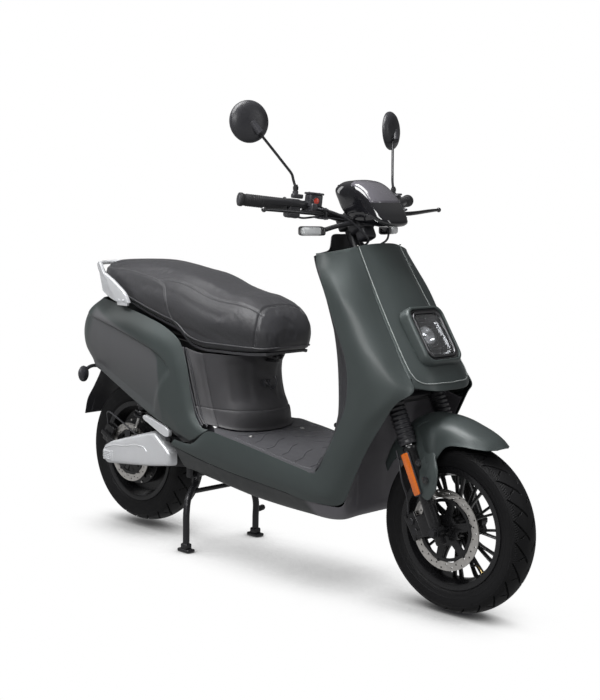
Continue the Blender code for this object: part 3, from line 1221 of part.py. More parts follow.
place("fork_upper", fork_upper(), STEEL, steering)
place("handlebar", handlebar(), STEEL, steering)
place("display_cowl", display_cowl(), GLOSS, steering)
place("grip_left", grip(1), RUBBER, steering)
place("front_signal_bar", front_signal_bar(), CLEAR, steering)
place("throttle_grip", grip(-1), RUBBER, steering, bar_at(0.294, -1))
place("start_button", button(-1), RED, steering)
place("horn_button", button(1), BLACK, steering)

place("front_fender", full_panel(FENDER_ROWS, 14, 9, Z_AXIS), PAINT, lower_fork)
place("front_axle", axle(FRONT_AXLE, 0.112, 0.0069, 14, nut_in=0.1055, nut_out=0.118,
                         nut_r=0.0120), BRIGHT, lower_fork)
place("front_caliper", front_caliper(), BLACK_ALLOY, lower_fork)
place("front_tyre", tyre(FRONT_AXLE, FRONT_TYRE_R, FRONT_TYRE_HALF_W, FRONT_RIM_HALF_W,
                         wall_drop=0.034, edge_drop=0.014, edge_share=0.82, crown_share=0.34),
      TREAD, front_wheel)
place("front_rim", front_rim(), BLACK_ALLOY, front_wheel)
place("front_disc", brake_disc(FRONT_AXLE + Y_AXIS * FRONT_DISC_Y, 0.110, 0.086), BRIGHT,
      front_wheel)

place("swingarm", swingarm(), STEEL, swing_group)
place("swingarm_cover", swingarm_cover(), ALLOY, swing_group)
place("rear_axle", axle(REAR_AXLE, 0.140, 0.0085, 16, nut_in=0.1335, nut_out=0.147,
                        nut_r=0.0140), BRIGHT, swing_group)
place("rear_caliper", rear_caliper(), BLACK_ALLOY, swing_group)
place("rear_tyre", tyre(REAR_AXLE, REAR_TYRE_R, REAR_TYRE_HALF_W, REAR_RIM_HALF_W,
                        wall_drop=0.038, edge_drop=0.015, edge_share=0.84, crown_share=0.36),
      TREAD, rear_wheel)
place("hub_motor", hub_motor(), BLACK_ALLOY, rear_wheel)
place("rear_disc", brake_disc(REAR_AXLE + Y_AXIS * REAR_DISC_Y, 0.097, 0.074), BRIGHT, rear_wheel)

place("seat_cushion", loft([seat_ring(*station) for station in SEAT_STATIONS]), VINYL, seat_group)
place("seat_base", seat_base(), BLACK, seat_group)
place("luggage_hook", luggage_hook(), BLACK, None, HOOK_PIVOT)
place("centre_stand", centre_stand(), STEEL, None, STAND_PIVOT)

# Pieces that come in pairs: name, function, material, parent, origin on the left
PAIRED_PIECES = [
    ("switch_housing", switch_housing, BLACK, steering, None),
    ("master_cylinder", master_cylinder, BLACK, steering, None),
    ("brake_lever", brake_lever, BRIGHT, steering, LEVER_PIVOT),
    ("mirror_stem", mirror_stem, STEEL, steering, None),
    ("mirror_head", mirror_head, BLACK, steering, MIRROR_JOINT),
    ("fork_slider", fork_slider, BLACK_ALLOY, lower_fork, None),
    ("passenger_peg", passenger_peg, ALLOY, None, PEG_PIVOT),
    ("shock_body", shock_body, BLACK_ALLOY, None, SHOCK_TOP),
    ("shock_rod", shock_rod, BRIGHT, None, SHOCK_TOP),
]
for name, build, mat, parent, left_origin in PAIRED_PIECES:
    for side in SIDES:
        origin = None if left_origin is None else to_side(left_origin, side)
        place(f"{name}_{SIDE_NAMES[side]}", build(side), mat, parent, origin)
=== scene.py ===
"""A moped scooter: panels, seat, wheels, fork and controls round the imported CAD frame.

Metres. +X is the front, +Y the rider's left and +Z up, with the ground at z = 0.
A side of +1 is the left and -1 the right.
"""
import math
from collections import namedtuple

import bmesh
import bpy
import numpy as np
from mathutils import Matrix, Vector
from mathutils.bvhtree import BVHTree
from mathutils.kdtree import KDTree


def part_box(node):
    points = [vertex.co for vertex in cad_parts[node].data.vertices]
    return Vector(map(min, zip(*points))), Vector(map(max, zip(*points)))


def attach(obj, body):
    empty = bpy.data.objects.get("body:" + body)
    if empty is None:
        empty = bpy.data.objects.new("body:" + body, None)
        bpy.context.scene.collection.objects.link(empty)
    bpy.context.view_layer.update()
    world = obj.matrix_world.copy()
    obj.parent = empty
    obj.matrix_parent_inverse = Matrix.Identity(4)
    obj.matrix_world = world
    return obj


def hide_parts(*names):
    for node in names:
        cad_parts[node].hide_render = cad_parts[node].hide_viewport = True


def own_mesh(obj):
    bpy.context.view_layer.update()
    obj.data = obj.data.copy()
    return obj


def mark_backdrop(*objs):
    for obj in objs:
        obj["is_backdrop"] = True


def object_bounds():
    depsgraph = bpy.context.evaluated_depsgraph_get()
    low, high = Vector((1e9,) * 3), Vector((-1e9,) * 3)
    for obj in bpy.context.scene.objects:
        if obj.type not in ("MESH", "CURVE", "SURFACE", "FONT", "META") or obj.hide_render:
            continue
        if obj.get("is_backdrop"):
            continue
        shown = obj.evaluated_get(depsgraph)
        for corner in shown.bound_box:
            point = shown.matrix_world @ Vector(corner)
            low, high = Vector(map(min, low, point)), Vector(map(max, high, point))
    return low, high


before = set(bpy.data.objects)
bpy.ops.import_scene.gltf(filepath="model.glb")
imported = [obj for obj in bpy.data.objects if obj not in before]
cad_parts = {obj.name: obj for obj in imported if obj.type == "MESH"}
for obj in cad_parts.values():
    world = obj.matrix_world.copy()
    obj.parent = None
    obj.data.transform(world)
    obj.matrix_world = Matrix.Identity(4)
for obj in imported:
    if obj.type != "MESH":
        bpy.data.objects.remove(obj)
CAD_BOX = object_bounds()
scene = bpy.context.scene

# ---------------------------------------------------------------- dimensions
UP, LEFT = Vector((0, 0, 1)), Vector((0, 1, 0))
SIDES = (1, -1)
RIGHT_LEFT = ((-1, "right"), (1, "left"))
LEFT_RIGHT = ((1, "left"), (-1, "right"))

FRONT_TYRE_R, FRONT_TYRE_HALF_W = 0.2335, 0.049
REAR_TYRE_R, REAR_TYRE_HALF_W = 0.2365, 0.059
BEAD_R, FLANGE_R = 0.1535, 0.166
front_low, front_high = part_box("front_tyre")
rear_low, rear_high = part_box("rear_tyre")
FRONT_AXLE = (front_low + front_high) / 2
REAR_AXLE = (rear_low + rear_high) / 2

# steering: the fork leans back by the rake, and its legs stand ahead of the steering axis
RAKE = math.radians(26.0)
AXIS = Vector((-math.sin(RAKE), 0.0, math.cos(RAKE)))
AHEAD = Vector((math.cos(RAKE), 0.0, math.sin(RAKE)))
STEER_BASE = Vector((0.611, 0.0, 0.2335))
LEG_Y, LEG_OFFSET = 0.091, 0.035
BAR_IN, BAR_OUT = Vector((0.236, 0.150, 1.074)), Vector((0.147, 0.355, 1.095))
LEVER_PIVOT, LEVER_TIP = Vector((0.287, 0.165, 1.059)), Vector((0.257, 0.375, 1.070))

SHELL = 0.0026
FLOOR_Z0, FLOOR_SLOPE = 0.387, -0.15
TAIL_X = -0.8832
SWING_PIVOT = Vector((-0.330, 0, 0.270))
STAND_PIVOT = Vector((-0.336, 0, 0.228))
SEAT_HINGE = Vector((-0.045, 0, 0.624))
HOOK_Z = 0.538
SHOCK_TOP, SHOCK_LOW = Vector((-0.500, 0, 0.552)), Vector((-0.600, 0, 0.325))
SHOCK_Y = 0.100
PEG_PIVOT = Vector((-0.338, 0.178, 0.366))


def along(rise, ahead=0.0, y=0.0):
    """A point of the fork: up the steering axis, ahead of it, and y to the left."""
    return STEER_BASE + AXIS * rise + AHEAD * ahead + LEFT * y


def pitched(angle):
    """A turn about the Y axis."""
    return Matrix.Rotation(angle, 3, "Y")


FORK_TURN = pitched(-RAKE)


# --------------------------------------------------------------- solid shapes
def from_bm(bm):
    bmesh.ops.recalc_face_normals(bm, faces=bm.faces)
    mesh = bpy.data.meshes.new("shape")
    bm.to_mesh(mesh)
    bm.free()
    return mesh


def frame_of(direction):
    return Vector(direction).to_track_quat("Z", "Y").to_matrix().to_4x4()


def rod(start, end, radius, end_radius=None, segments=32, bevel=0.0):
    start, end = Vector(start), Vector(end)
    bm = bmesh.new()
    bmesh.ops.create_cone(bm, cap_ends=True, segments=segments, radius1=radius,
                          radius2=radius if end_radius is None else end_radius,
                          depth=(end - start).length)
    if bevel:
        rims = [e for e in bm.edges if not all(len(f.verts) == 4 for f in e.link_faces)]
        bmesh.ops.bevel(bm, geom=rims, offset=bevel, segments=2, affect="EDGES",
                        clamp_overlap=True)
    matrix = Matrix.Translation((start + end) / 2) @ frame_of(end - start)
    bmesh.ops.transform(bm, matrix=matrix, verts=bm.verts)
    return from_bm(bm)


def cross_rod(centre, start_y, end_y, radius, **options):
    """A rod along Y, between two distances to the left of a centre."""
    centre = Vector(centre)
    return rod(centre + LEFT * start_y, centre + LEFT * end_y, radius, **options)


def block(centre, size, rotation=None, bevel=0.0, segments=3):
    bm = bmesh.new()
    bmesh.ops.create_cube(bm, size=1.0)
    bmesh.ops.scale(bm, vec=Vector(size), verts=bm.verts)
    if bevel:
        bmesh.ops.bevel(bm, geom=bm.edges[:], offset=bevel, segments=segments, profile=0.5,
                        affect="EDGES", clamp_overlap=True)
    turn = rotation.to_4x4() if rotation is not None else Matrix()
    bmesh.ops.transform(bm, matrix=Matrix.Translation(Vector(centre)) @ turn, verts=bm.verts)
    return from_bm(bm)


def ball(centre, radii, rings=20, segments=32):
    bm = bmesh.new()
    bmesh.ops.create_uvsphere(bm, u_segments=segments, v_segments=rings, radius=1.0)
    bmesh.ops.scale(bm, vec=Vector(radii), verts=bm.verts)
    bmesh.ops.transform(bm, matrix=Matrix.Translation(Vector(centre)), verts=bm.verts)
    return from_bm(bm)


# ------------------------------------------------------------ curves and grids
def catmull(control, count):
    """Points along a Catmull-Rom spline through the control points, evenly by chord."""
    pts = [np.array(p, float) for p in control]
    ends = [pts[0] * 2 - pts[1]] + pts + [pts[-1] * 2 - pts[-2]]
    lengths = [0.0]
    for a, b in zip(pts, pts[1:]):
        lengths.append(lengths[-1] + np.linalg.norm(b - a))
    out = []
    for i in range(count):
        want = lengths[-1] * i / (count - 1)
        k = 0
        while k < len(pts) - 2 and lengths[k + 1] < want - 1e-9:
            k += 1
        span = lengths[k + 1] - lengths[k]
        t = min(1.0, max(0.0, (want - lengths[k]) / span))
        p0, p1, p2, p3 = ends[k:k + 4]
        before = np.linalg.norm(p1 - p0) or span
        after = np.linalg.norm(p3 - p2) or span
        slope1 = ((p2 - p1) / span * before + (p1 - p0) / before * span) / (before + span) * span
        slope2 = ((p3 - p2) / after * span + (p2 - p1) / span * after) / (span + after) * span
        t2, t3 = t * t, t * t * t
        out.append(p1 * (2 * t3 - 3 * t2 + 1) + slope1 * (t3 - 2 * t2 + t)
                   + p2 * (-2 * t3 + 3 * t2) + slope2 * (t3 - t2))
    return np.array(out)


def closed_curve(points, count):
    """A smooth closed outline through (x, z) points, without its repeated last point."""
    return catmull([(x, z, 0.0) for x, z in points + points[:1]], count)[:-1]


def smooth_lengthwise(rings, count):
    """Resamples a stack of rings to count rings, along splines through matching points."""
    rings = np.array([[list(p) for p in ring] for ring in rings])
    return np.array([catmull(rings[:, j], count) for j in range(rings.shape[1])]).transpose(1, 0, 2)


def patch(rows, n, m, relax):
    """A smooth n by m grid of points through rows of points, relaxed inside its border."""
    fine = np.array([catmull(row, m) for row in rows])
    grid = np.array([catmull(fine[:, j], n) for j in range(m)]).transpose(1, 0, 2)
    for _ in range(relax):
        inner = grid[1:-1, 1:-1]
        mean = (grid[:-2, 1:-1] + grid[2:, 1:-1] + grid[1:-1, :-2] + grid[1:-1, 2:]) / 4
        grid[1:-1, 1:-1] = inner * 0.4 + mean * 0.6
    return grid


def normals(grid):
    n = np.cross(np.gradient(grid, axis=0), np.gradient(grid, axis=1))
    return n / np.maximum(np.linalg.norm(n, axis=2, keepdims=True), 1e-9)


def smoothstep(a, b, x):
    t = np.clip((x - a) / (b - a), 0.0, 1.0)
    return t * t * (3 - 2 * t)


def bell(x, middle, width):
    return np.exp(-((x - middle) / width) ** 2)


def grid_places(grid, centred=False):
    """u down the rows, 0 to 1, and v across them: 0 to 1, or 0 in the middle to 1 at each edge."""
    n, m = grid.shape[:2]
    v = np.abs(np.linspace(-1, 1, m)) if centred else np.linspace(0, 1, m)
    return np.meshgrid(np.linspace(0, 1, n), v, indexing="ij")


def raised(grid, height, outward):
    """Moves each point by its height towards the outward side."""
    normal = normals(grid)
    middle = normal[grid.shape[0] // 2, grid.shape[1] // 2]
    sign = 1 if np.dot(middle, outward) > 0 else -1
    return grid + normal * (sign * height)[..., None]


def grid_mesh(grid, wrap_u=False, wrap_v=False, cap=False):
    """Faces over a grid of points, wrapped round where asked."""
    n, m = grid.shape[:2]
    idx = np.arange(n * m).reshape(n, m)
    row = idx if wrap_u else idx[:-1]
    after = np.roll(idx, -1, 0) if wrap_u else idx[1:]
    if wrap_v:
        corners = [row, np.roll(row, -1, 1), np.roll(after, -1, 1), after]
    else:
        corners = [row[:, :-1], row[:, 1:], after[:, 1:], after[:, :-1]]
    faces = np.stack(corners, -1).reshape(-1, 4).tolist()
    if cap:
        faces.append(idx[0].tolist())
        faces.append(idx[-1][::-1].tolist())
    mesh = bpy.data.meshes.new("grid")
    mesh.from_pydata(grid.reshape(-1, 3).tolist(), [], faces)
    mesh.validate()
    return mesh


def fix_normals(mesh):
    bm = bmesh.new()
    bm.from_mesh(mesh)
    bmesh.ops.remove_doubles(bm, verts=bm.verts, dist=0.000002)
    bmesh.ops.recalc_face_normals(bm, faces=bm.faces)
    bm.to_mesh(mesh)
    bm.free()
    return mesh


def evaluated(obj):
    """The mesh of an object with its modifiers applied; the object is then removed."""
    deps = bpy.context.evaluated_depsgraph_get()
    mesh = bpy.data.meshes.new_from_object(obj.evaluated_get(deps))
    bpy.data.objects.remove(obj, do_unlink=True)
    return mesh


def linked(name, data):
    obj = bpy.data.objects.new(name, data)
    scene.collection.objects.link(obj)
    return obj


def baked(mesh, setups):
    """A mesh with modifiers applied. setups is a list of (type, {setting: value})."""
    obj = linked("work", mesh)
    for kind, settings in setups:
        mod = obj.modifiers.new(kind, kind)
        for key, value in settings.items():
            setattr(mod, key, value)
    return evaluated(obj)


def shell(grid, outward, thickness=SHELL, bevel=0.0007):
    """A panel: a grid surface with thickness on its inner side and rounded edges."""
    n = normals(grid)[grid.shape[0] // 2, grid.shape[1] // 2]
    mesh = grid_mesh(grid)
    # grid_mesh winds so that its normal is dv x du: flip where that faces inwards
    if float(np.dot(-n, np.array(outward, float))) < 0:
        mesh.flip_normals()
    steps = [("SOLIDIFY", dict(thickness=thickness, offset=-1.0, use_even_offset=True,
                               use_rim=True))]
    if bevel:
        steps.append(("BEVEL", dict(width=bevel, segments=2, limit_method="ANGLE",
                                    angle_limit=math.radians(50))))
    return baked(mesh, steps)


def loft(rings, cap=True):
    grid = np.array([[list(p) for p in ring] for ring in rings], float)
    return fix_normals(grid_mesh(grid, wrap_v=True, cap=cap))


def turned(profile, origin, axis=(0, 1, 0), steps=96):
    """A lathe: (radius, along) points. A profile that stays off the axis is closed up."""
    prof = np.array(profile, float)
    closed = prof[:, 0].min() > 1e-6
    ang = np.linspace(0, 2 * math.pi, steps, endpoint=False)
    grid = np.stack([np.outer(np.cos(ang), prof[:, 0]), np.outer(np.sin(ang), prof[:, 0]),
                     np.tile(prof[:, 1], (steps, 1))], -1)
    mesh = grid_mesh(grid, wrap_u=True, wrap_v=closed)
    mesh.transform(Matrix.Translation(Vector(origin)) @ frame_of(axis))
    return fix_normals(mesh)


def mirror_profile(half):
    """A lathe profile and its reflection in its middle plane."""
    return half + [(r, -y) for r, y in reversed(half)]


def tube(points, radius, count=None, sides=16, cyclic=False, smooth=True, flat=None):
    """A round bar along a path, with rounded ends.

    radius may be a list spread along the path. flat is (axis, factor), scaling the section.
    """
    if smooth and len(points) > 2:
        pts = catmull(points, count or 14 * (len(points) - 1) + 1)
    else:
        pts = np.array([list(p) for p in points], float)
    radii = np.atleast_1d(radius)
    rad = np.interp(np.linspace(0, 1, len(pts)), np.linspace(0, 1, len(radii)), radii)
    if not cyclic:
        d0 = (pts[0] - pts[1]) / np.linalg.norm(pts[0] - pts[1])
        d1 = (pts[-1] - pts[-2]) / np.linalg.norm(pts[-1] - pts[-2])
        pts = np.vstack([pts[0], pts[0] - d0 * rad[0] * 0.12, pts[1:-1],
                         pts[-1] - d1 * rad[-1] * 0.12, pts[-1]])
        rad = np.r_[rad[0] * 0.86, rad[0], rad[1:-1], rad[-1], rad[-1] * 0.86]
        tangent = np.gradient(pts, axis=0)
    else:
        tangent = np.roll(pts, -1, 0) - np.roll(pts, 1, 0)
    tangent /= np.linalg.norm(tangent, axis=1, keepdims=True)
    ref = np.array([0, 0, 1.0]) if abs(tangent[0][2]) < 0.9 else np.array([1.0, 0, 0])
    ang = np.linspace(0, 2 * math.pi, sides, endpoint=False)
    rings = []
    across = np.cross(ref, tangent[0])
    for p, t, r in zip(pts, tangent, rad):
        across = across - t * np.dot(across, t)
        across /= np.linalg.norm(across)
        up = np.cross(t, across)
        ring = p + r * (np.outer(np.cos(ang), across) + np.outer(np.sin(ang), up))
        if flat is not None:
            axis, factor = np.array(flat[0], float), flat[1]
            ring = ring + np.outer((ring - p) @ axis * (factor - 1), axis)
        rings.append(ring)
    return fix_normals(grid_mesh(np.array(rings), wrap_u=cyclic, wrap_v=True, cap=not cyclic))


def flipped(points, side):
    """The points on the side asked for, from points given on the left."""
    return [(x, side * y, z) for x, y, z in points]


def tube_pair(points, radius, **options):
    return [tube(flipped(points, side), radius, **options) for side in SIDES]


def full_row(row):
    """A half row from the centre out to +y, reflected into a full row from -y to +y."""
    return [(x, -y, z) for x, y, z in reversed(row) if y > 1e-9] + [tuple(p) for p in row]


def full_rows(rows):
    return [full_row(row) for row in rows]


# ------------------------------------------------------------------- outlines
def outline_mesh(loops, thickness, matrix, bevel=0.0):
    """A flat plate from 2D loops, the inner ones being holes."""
    curve = bpy.data.curves.new("plate", "CURVE")
    curve.dimensions = "2D"
    curve.fill_mode = "BOTH"
    curve.extrude = thickness / 2 - bevel
    curve.bevel_depth = bevel
    curve.bevel_resolution = 1
    curve.offset = -bevel
    for loop in loops:
        spline = curve.splines.new("POLY")
        spline.points.add(len(loop) - 1)
        for point, (u, v) in zip(spline.points, loop):
            point.co = (u, v, 0.0, 1.0)
        spline.use_cyclic_u = True
    mesh = evaluated(linked("plate", curve))
    mesh.transform(matrix)
    return fix_normals(mesh)


def circle(cx, cy, radius, count):
    angles = [2 * math.pi * k / count for k in range(count)]
    return [(cx + radius * math.cos(a), cy + radius * math.sin(a)) for a in angles]


def side_plane(centre):
    """Places a 2D outline drawn as (x, z) upright along the bike, round a centre."""
    swap = Matrix(((1, 0, 0, 0), (0, 0, 1, 0), (0, 1, 0, 0), (0, 0, 0, 1)))
    return Matrix.Translation(Vector(centre)) @ swap


def round_outline(points, radius, count=6):
    """A closed 2D outline with its corners rounded."""
    out = []
    for i, point in enumerate(points):
        p, a, b = Vector(point), Vector(points[i - 1]), Vector(points[(i + 1) % len(points)])
        d0, d1 = (a - p), (b - p)
        r = min(radius, d0.length * 0.45, d1.length * 0.45)
        p0, p1 = p + d0.normalized() * r, p + d1.normalized() * r
        for k in range(count):
            t = k / (count - 1)
            out.append(tuple(p0 * (1 - t) ** 2 + p * 2 * t * (1 - t) + p1 * t * t))
    return out


# ------------------------------------------------------------- mesh operations
def joined(*meshes):
    bm = bmesh.new()
    for mesh in meshes:
        bm.from_mesh(mesh)
    out = bpy.data.meshes.new("joined")
    bm.to_mesh(out)
    bm.free()
    return out


def mirrored(mesh):
    out = mesh.copy()
    out.transform(Matrix.Scale(-1.0, 4, (0, 1, 0)))
    out.flip_normals()
    return out


def cut(mesh, *tools):
    """A mesh with each tool cut out of it in turn."""
    for tool in tools:
        body, knife = linked("a", mesh), linked("b", tool)
        mod = body.modifiers.new("Boolean", "BOOLEAN")
        mod.operation, mod.solver, mod.object = "DIFFERENCE", "EXACT", knife
        mesh = evaluated(body)
        bpy.data.objects.remove(knife, do_unlink=True)
    return mesh


def surface_tree(mesh):
    bm = bmesh.new()
    bm.from_mesh(mesh)
    tree = BVHTree.FromBMesh(bm)
    bm.free()
    return tree


def vectors_of(items, attribute):
    values = np.empty(len(items) * 3)
    items.foreach_get(attribute, values)
    return values.reshape(-1, 3)


def piece(name, mesh, material, body="chassis", nodes=(), sharp=38.0, slot=None):
    """A finished piece: it rides on a body and stands for the CAD nodes named."""
    if isinstance(mesh, (list, tuple)):
        mesh = joined(*mesh)
    mesh.name = name
    obj = linked(name, mesh)
    mesh.materials.clear()
    materials = material if isinstance(material, list) else [material]
    for entry in materials:
        mesh.materials.append(entry)
    mesh.shade_smooth()
    mesh.set_sharp_from_angle(angle=math.radians(sharp))
    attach(obj, body)
    if nodes:
        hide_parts(*([nodes] if isinstance(nodes, str) else nodes))
    slot or SLOT_OF[materials[0].name]
    return obj


# ----------------------------------------------------------------- shader parts
def new_material(name):
    mat = bpy.data.materials.new(name)
    mat.use_nodes = True
    tree = mat.node_tree
    return mat, tree, tree.nodes["Principled BSDF"]


def node(tree, kind, **settings):
    made = tree.nodes.new("ShaderNode" + kind)
    for key, value in settings.items():
        if key in made.inputs:
            made.inputs[key].default_value = value
        else:
            setattr(made, key, value)
    return made


def feed(tree, socket, value):
    """Links a socket to an output, or sets it to a value."""
    if isinstance(value, bpy.types.NodeSocket):
        tree.links.new(value, socket)
    else:
        socket.default_value = value


def fill(tree, shader, values):
    for name, value in values.items():
        feed(tree, shader.inputs[name], value)


def coords(tree):
    return tree.nodes.new("ShaderNodeTexCoord").outputs["Object"]


def texture(tree, kind, where=None, **settings):
    """The outputs of a texture node read at object coordinates, or at those given."""
    made = node(tree, "Tex" + kind, **settings)
    tree.links.new(coords(tree) if where is None else where, made.inputs["Vector"])
    return made.outputs


def noise_fac(tree, scale, detail=4.0, roughness=0.55, stretch=None):
    where = None
    if stretch:
        mapping = node(tree, "Mapping", Scale=stretch)
        tree.links.new(coords(tree), mapping.inputs["Vector"])
        where = mapping.outputs["Vector"]
    return texture(tree, "Noise", where, Scale=scale, Detail=detail, Roughness=roughness)["Fac"]


def mapped(tree, value, from_range, to_range=(0.0, 1.0)):
    made = node(tree, "MapRange")
    fill(tree, made, {"From Min": from_range[0], "From Max": from_range[1],
                      "To Min": to_range[0], "To Max": to_range[1], "Value": value})
    return made.outputs["Result"]


def ranged(tree, fac, low, high):
    """Spreads the middle of a noise from low to high."""
    return mapped(tree, fac, (0.3, 0.7), (low, high))


def math_node(tree, operation, *values):
    made = node(tree, "Math", operation=operation)
    for socket, value in zip(made.inputs, values):
        feed(tree, socket, value)
    return made


def product(tree, a, b):
    return math_node(tree, "MULTIPLY", a, b).outputs[0]


def mixed(tree, fac, a, b):
    made = node(tree, "Mix", data_type="RGBA")
    tree.links.new(fac, made.inputs[0])
    for socket, value in ((made.inputs[6], a), (made.inputs[7], b)):
        feed(tree, socket, (*value[:3], 1.0) if isinstance(value, tuple) else value)
    return made.outputs[2]


def bump(tree, shader, height, strength, distance, after=None):
    made = node(tree, "Bump", Strength=strength, Distance=distance)
    tree.links.new(height, made.inputs["Height"])
    if after is not None:
        tree.links.new(after, made.inputs["Normal"])
    tree.links.new(made.outputs["Normal"], shader.inputs["Normal"])
    return made.outputs["Normal"]


def shade(colour, factor, extra=0.0):
    return tuple(min(1.0, c * factor + extra) for c in colour)


def painted_edge_highlight(tree, colour, amount, highlight_colour):
    """Paints a lighter colour on convex edges: a painted highlight."""
    pointiness = node(tree, "NewGeometry").outputs["Pointiness"]
    edges = mapped(tree, pointiness, (0.52, 0.60))
    return mixed(tree, product(tree, edges, amount), colour, highlight_colour)


def separated_coords(tree):
    split = node(tree, "SeparateXYZ")
    tree.links.new(coords(tree), split.inputs[0])
    return split.outputs


def line_side(tree, place, start, end, soft):
    """0 to 1 across a line in the (x, z) side view, rising to the left of its direction."""
    dx, dz = end[0] - start[0], end[1] - start[1]
    size = math.hypot(dx, dz)
    nx, nz = -dz / size, dx / size
    offset = -(start[0] * nx + start[1] * nz) / soft + 0.5
    first = math_node(tree, "MULTIPLY_ADD", place["X"], nx / soft, offset)
    second = math_node(tree, "MULTIPLY_ADD", place["Z"], nz / soft, first.outputs[0])
    second.use_clamp = True
    return second.outputs[0]


def lines_mask(tree, lines):
    """The product of several line sides, each (start, end, soft)."""
    place = separated_coords(tree)
    mask = line_side(tree, place, *lines[0])
    for line in lines[1:]:
        mask = product(tree, mask, line_side(tree, place, *line))
    return mask


# the pressed-in field of the rear cover, bounded by its creases: painted light, a lighter grey that
# fades into the darker paint downwards
LIT_FIELD_LINES = [
    ((-0.422, 0.626), (-0.652, 0.700), 0.010), ((-0.372, 0.470), (-0.392, 0.600), 0.010),
    ((-0.392, 0.596), (-0.430, 0.632), 0.010), ((-0.60, 0.430), (-0.30, 0.430), 0.32),
    ((-0.745, 0.720), (-0.770, 0.600), 0.030)]
# the upper band of the rear cover, behind its front corner, darkened: painted shade
SHADED_TOP_LINES = [((-0.652, 0.706), (-0.422, 0.634), 0.020), ((-0.470, 0.500), (-0.470, 0.800), 0.150)]


def ramp_node(tree, stops):
    """A colour ramp from (position, (red, green, blue)) stops."""
    made = node(tree, "ValToRGB")
    elements = made.color_ramp.elements
    for element, (position, colour) in ((elements[0], stops[0]), (elements[1], stops[-1])):
        element.position, element.color = position, (*colour, 1)
    for position, colour in stops[1:-1]:
        elements.new(position).color = (*colour, 1)
    return made


# ------------------------------------------------------------- material kinds
def paint(name, dark, light, metallic, rough, coat=0.25, field=None):
    """Metallic paint with fine flakes. field is a lighter grey on the pressed part of the rear
    covers, painted light fading downwards; their upper band is darkened as painted shade.
    """
    mat, tree, shader = new_material(name)
    flakes = texture(tree, "Voronoi", Scale=2600.0)
    grey = node(tree, "SeparateColor")
    tree.links.new(flakes["Color"], grey.inputs["Color"])
    base = mixed(tree, ranged(tree, noise_fac(tree, scale=3.2, detail=3.0), 0.0, 1.0), dark, light)
    spark = product(tree, grey.outputs["Red"], 0.34)
    # painted light on the pressed field of the rear covers, painted shade on their upper band
    if field:
        base = mixed(tree, lines_mask(tree, LIT_FIELD_LINES), base, field)
        base = mixed(tree, lines_mask(tree, SHADED_TOP_LINES), base, shade(dark, 0.42))
    colour = mixed(tree, spark, base, shade(light, 1.9))
    # convex edges painted lighter: a painted highlight
    colour = painted_edge_highlight(tree, colour, 0.35, shade(light, 2.1))
    smear = noise_fac(tree, scale=14.0, detail=5.0)
    fill(tree, shader, {"Base Color": colour, "Metallic": metallic,
                        "Roughness": ranged(tree, smear, rough - 0.03, rough + 0.03),
                        "Coat Weight": coat, "Coat Roughness": 0.28})
    bump(tree, shader, noise_fac(tree, scale=900.0, detail=2.0), strength=0.05, distance=0.0004)
    return mat


def plastic(name, dark, light, rough, grain=0.18, scale=1500.0, coat=0.0, spec=0.5, ahead=None):
    """Grained plastic or rubber. ahead colours the part in front of a slanting line."""
    mat, tree, shader = new_material(name)
    cloud = noise_fac(tree, scale=9.0, detail=6.0)
    colour = mixed(tree, ranged(tree, cloud, 0.0, 1.0), dark, light)
    if ahead:
        mask = line_side(tree, separated_coords(tree), (0.362, 0.0), (0.402, -0.1), soft=0.020)
        colour = mixed(tree, mask, colour, ahead)
    # convex edges painted lighter: a painted highlight
    colour = painted_edge_highlight(tree, colour, 0.4, shade(light, 2.6, 0.01))
    smear = noise_fac(tree, scale=40.0, detail=5.0)
    fill(tree, shader, {"Base Color": colour,
                        "Roughness": ranged(tree, smear, rough - 0.06, rough + 0.06),
                        "Specular IOR Level": spec, "Coat Weight": coat, "Coat Roughness": 0.06})
    if grain:
        cells = texture(tree, "Voronoi", Scale=scale)
        first = bump(tree, shader, cells["Distance"], strength=grain, distance=0.0006)
        bump(tree, shader, noise_fac(tree, scale * 0.35, detail=3.0), strength=grain * 0.6,
             distance=0.0006, after=first)
    return mat


def metal(name, dark, light, rough, metallic=1.0, stretch=None, scale=220.0, strength=0.06,
          coat=0.0):
    """Metal with fine marks, stretched where brushed, and a little dirt."""
    mat, tree, shader = new_material(name)
    fine = noise_fac(tree, scale, detail=6.0, roughness=0.6, stretch=stretch)
    colour = mixed(tree, ranged(tree, fine, 0.0, 1.0), dark, light)
    dirt = ranged(tree, noise_fac(tree, scale=12.0, detail=6.0), 0.0, 0.16)
    fill(tree, shader, {"Base Color": mixed(tree, dirt, colour, shade(dark, 0.55)),
                        "Metallic": metallic,
                        "Roughness": ranged(tree, fine, rough - 0.07, rough + 0.07),
                        "Coat Weight": coat})
    bump(tree, shader, fine, strength, distance=0.0005)
    return mat


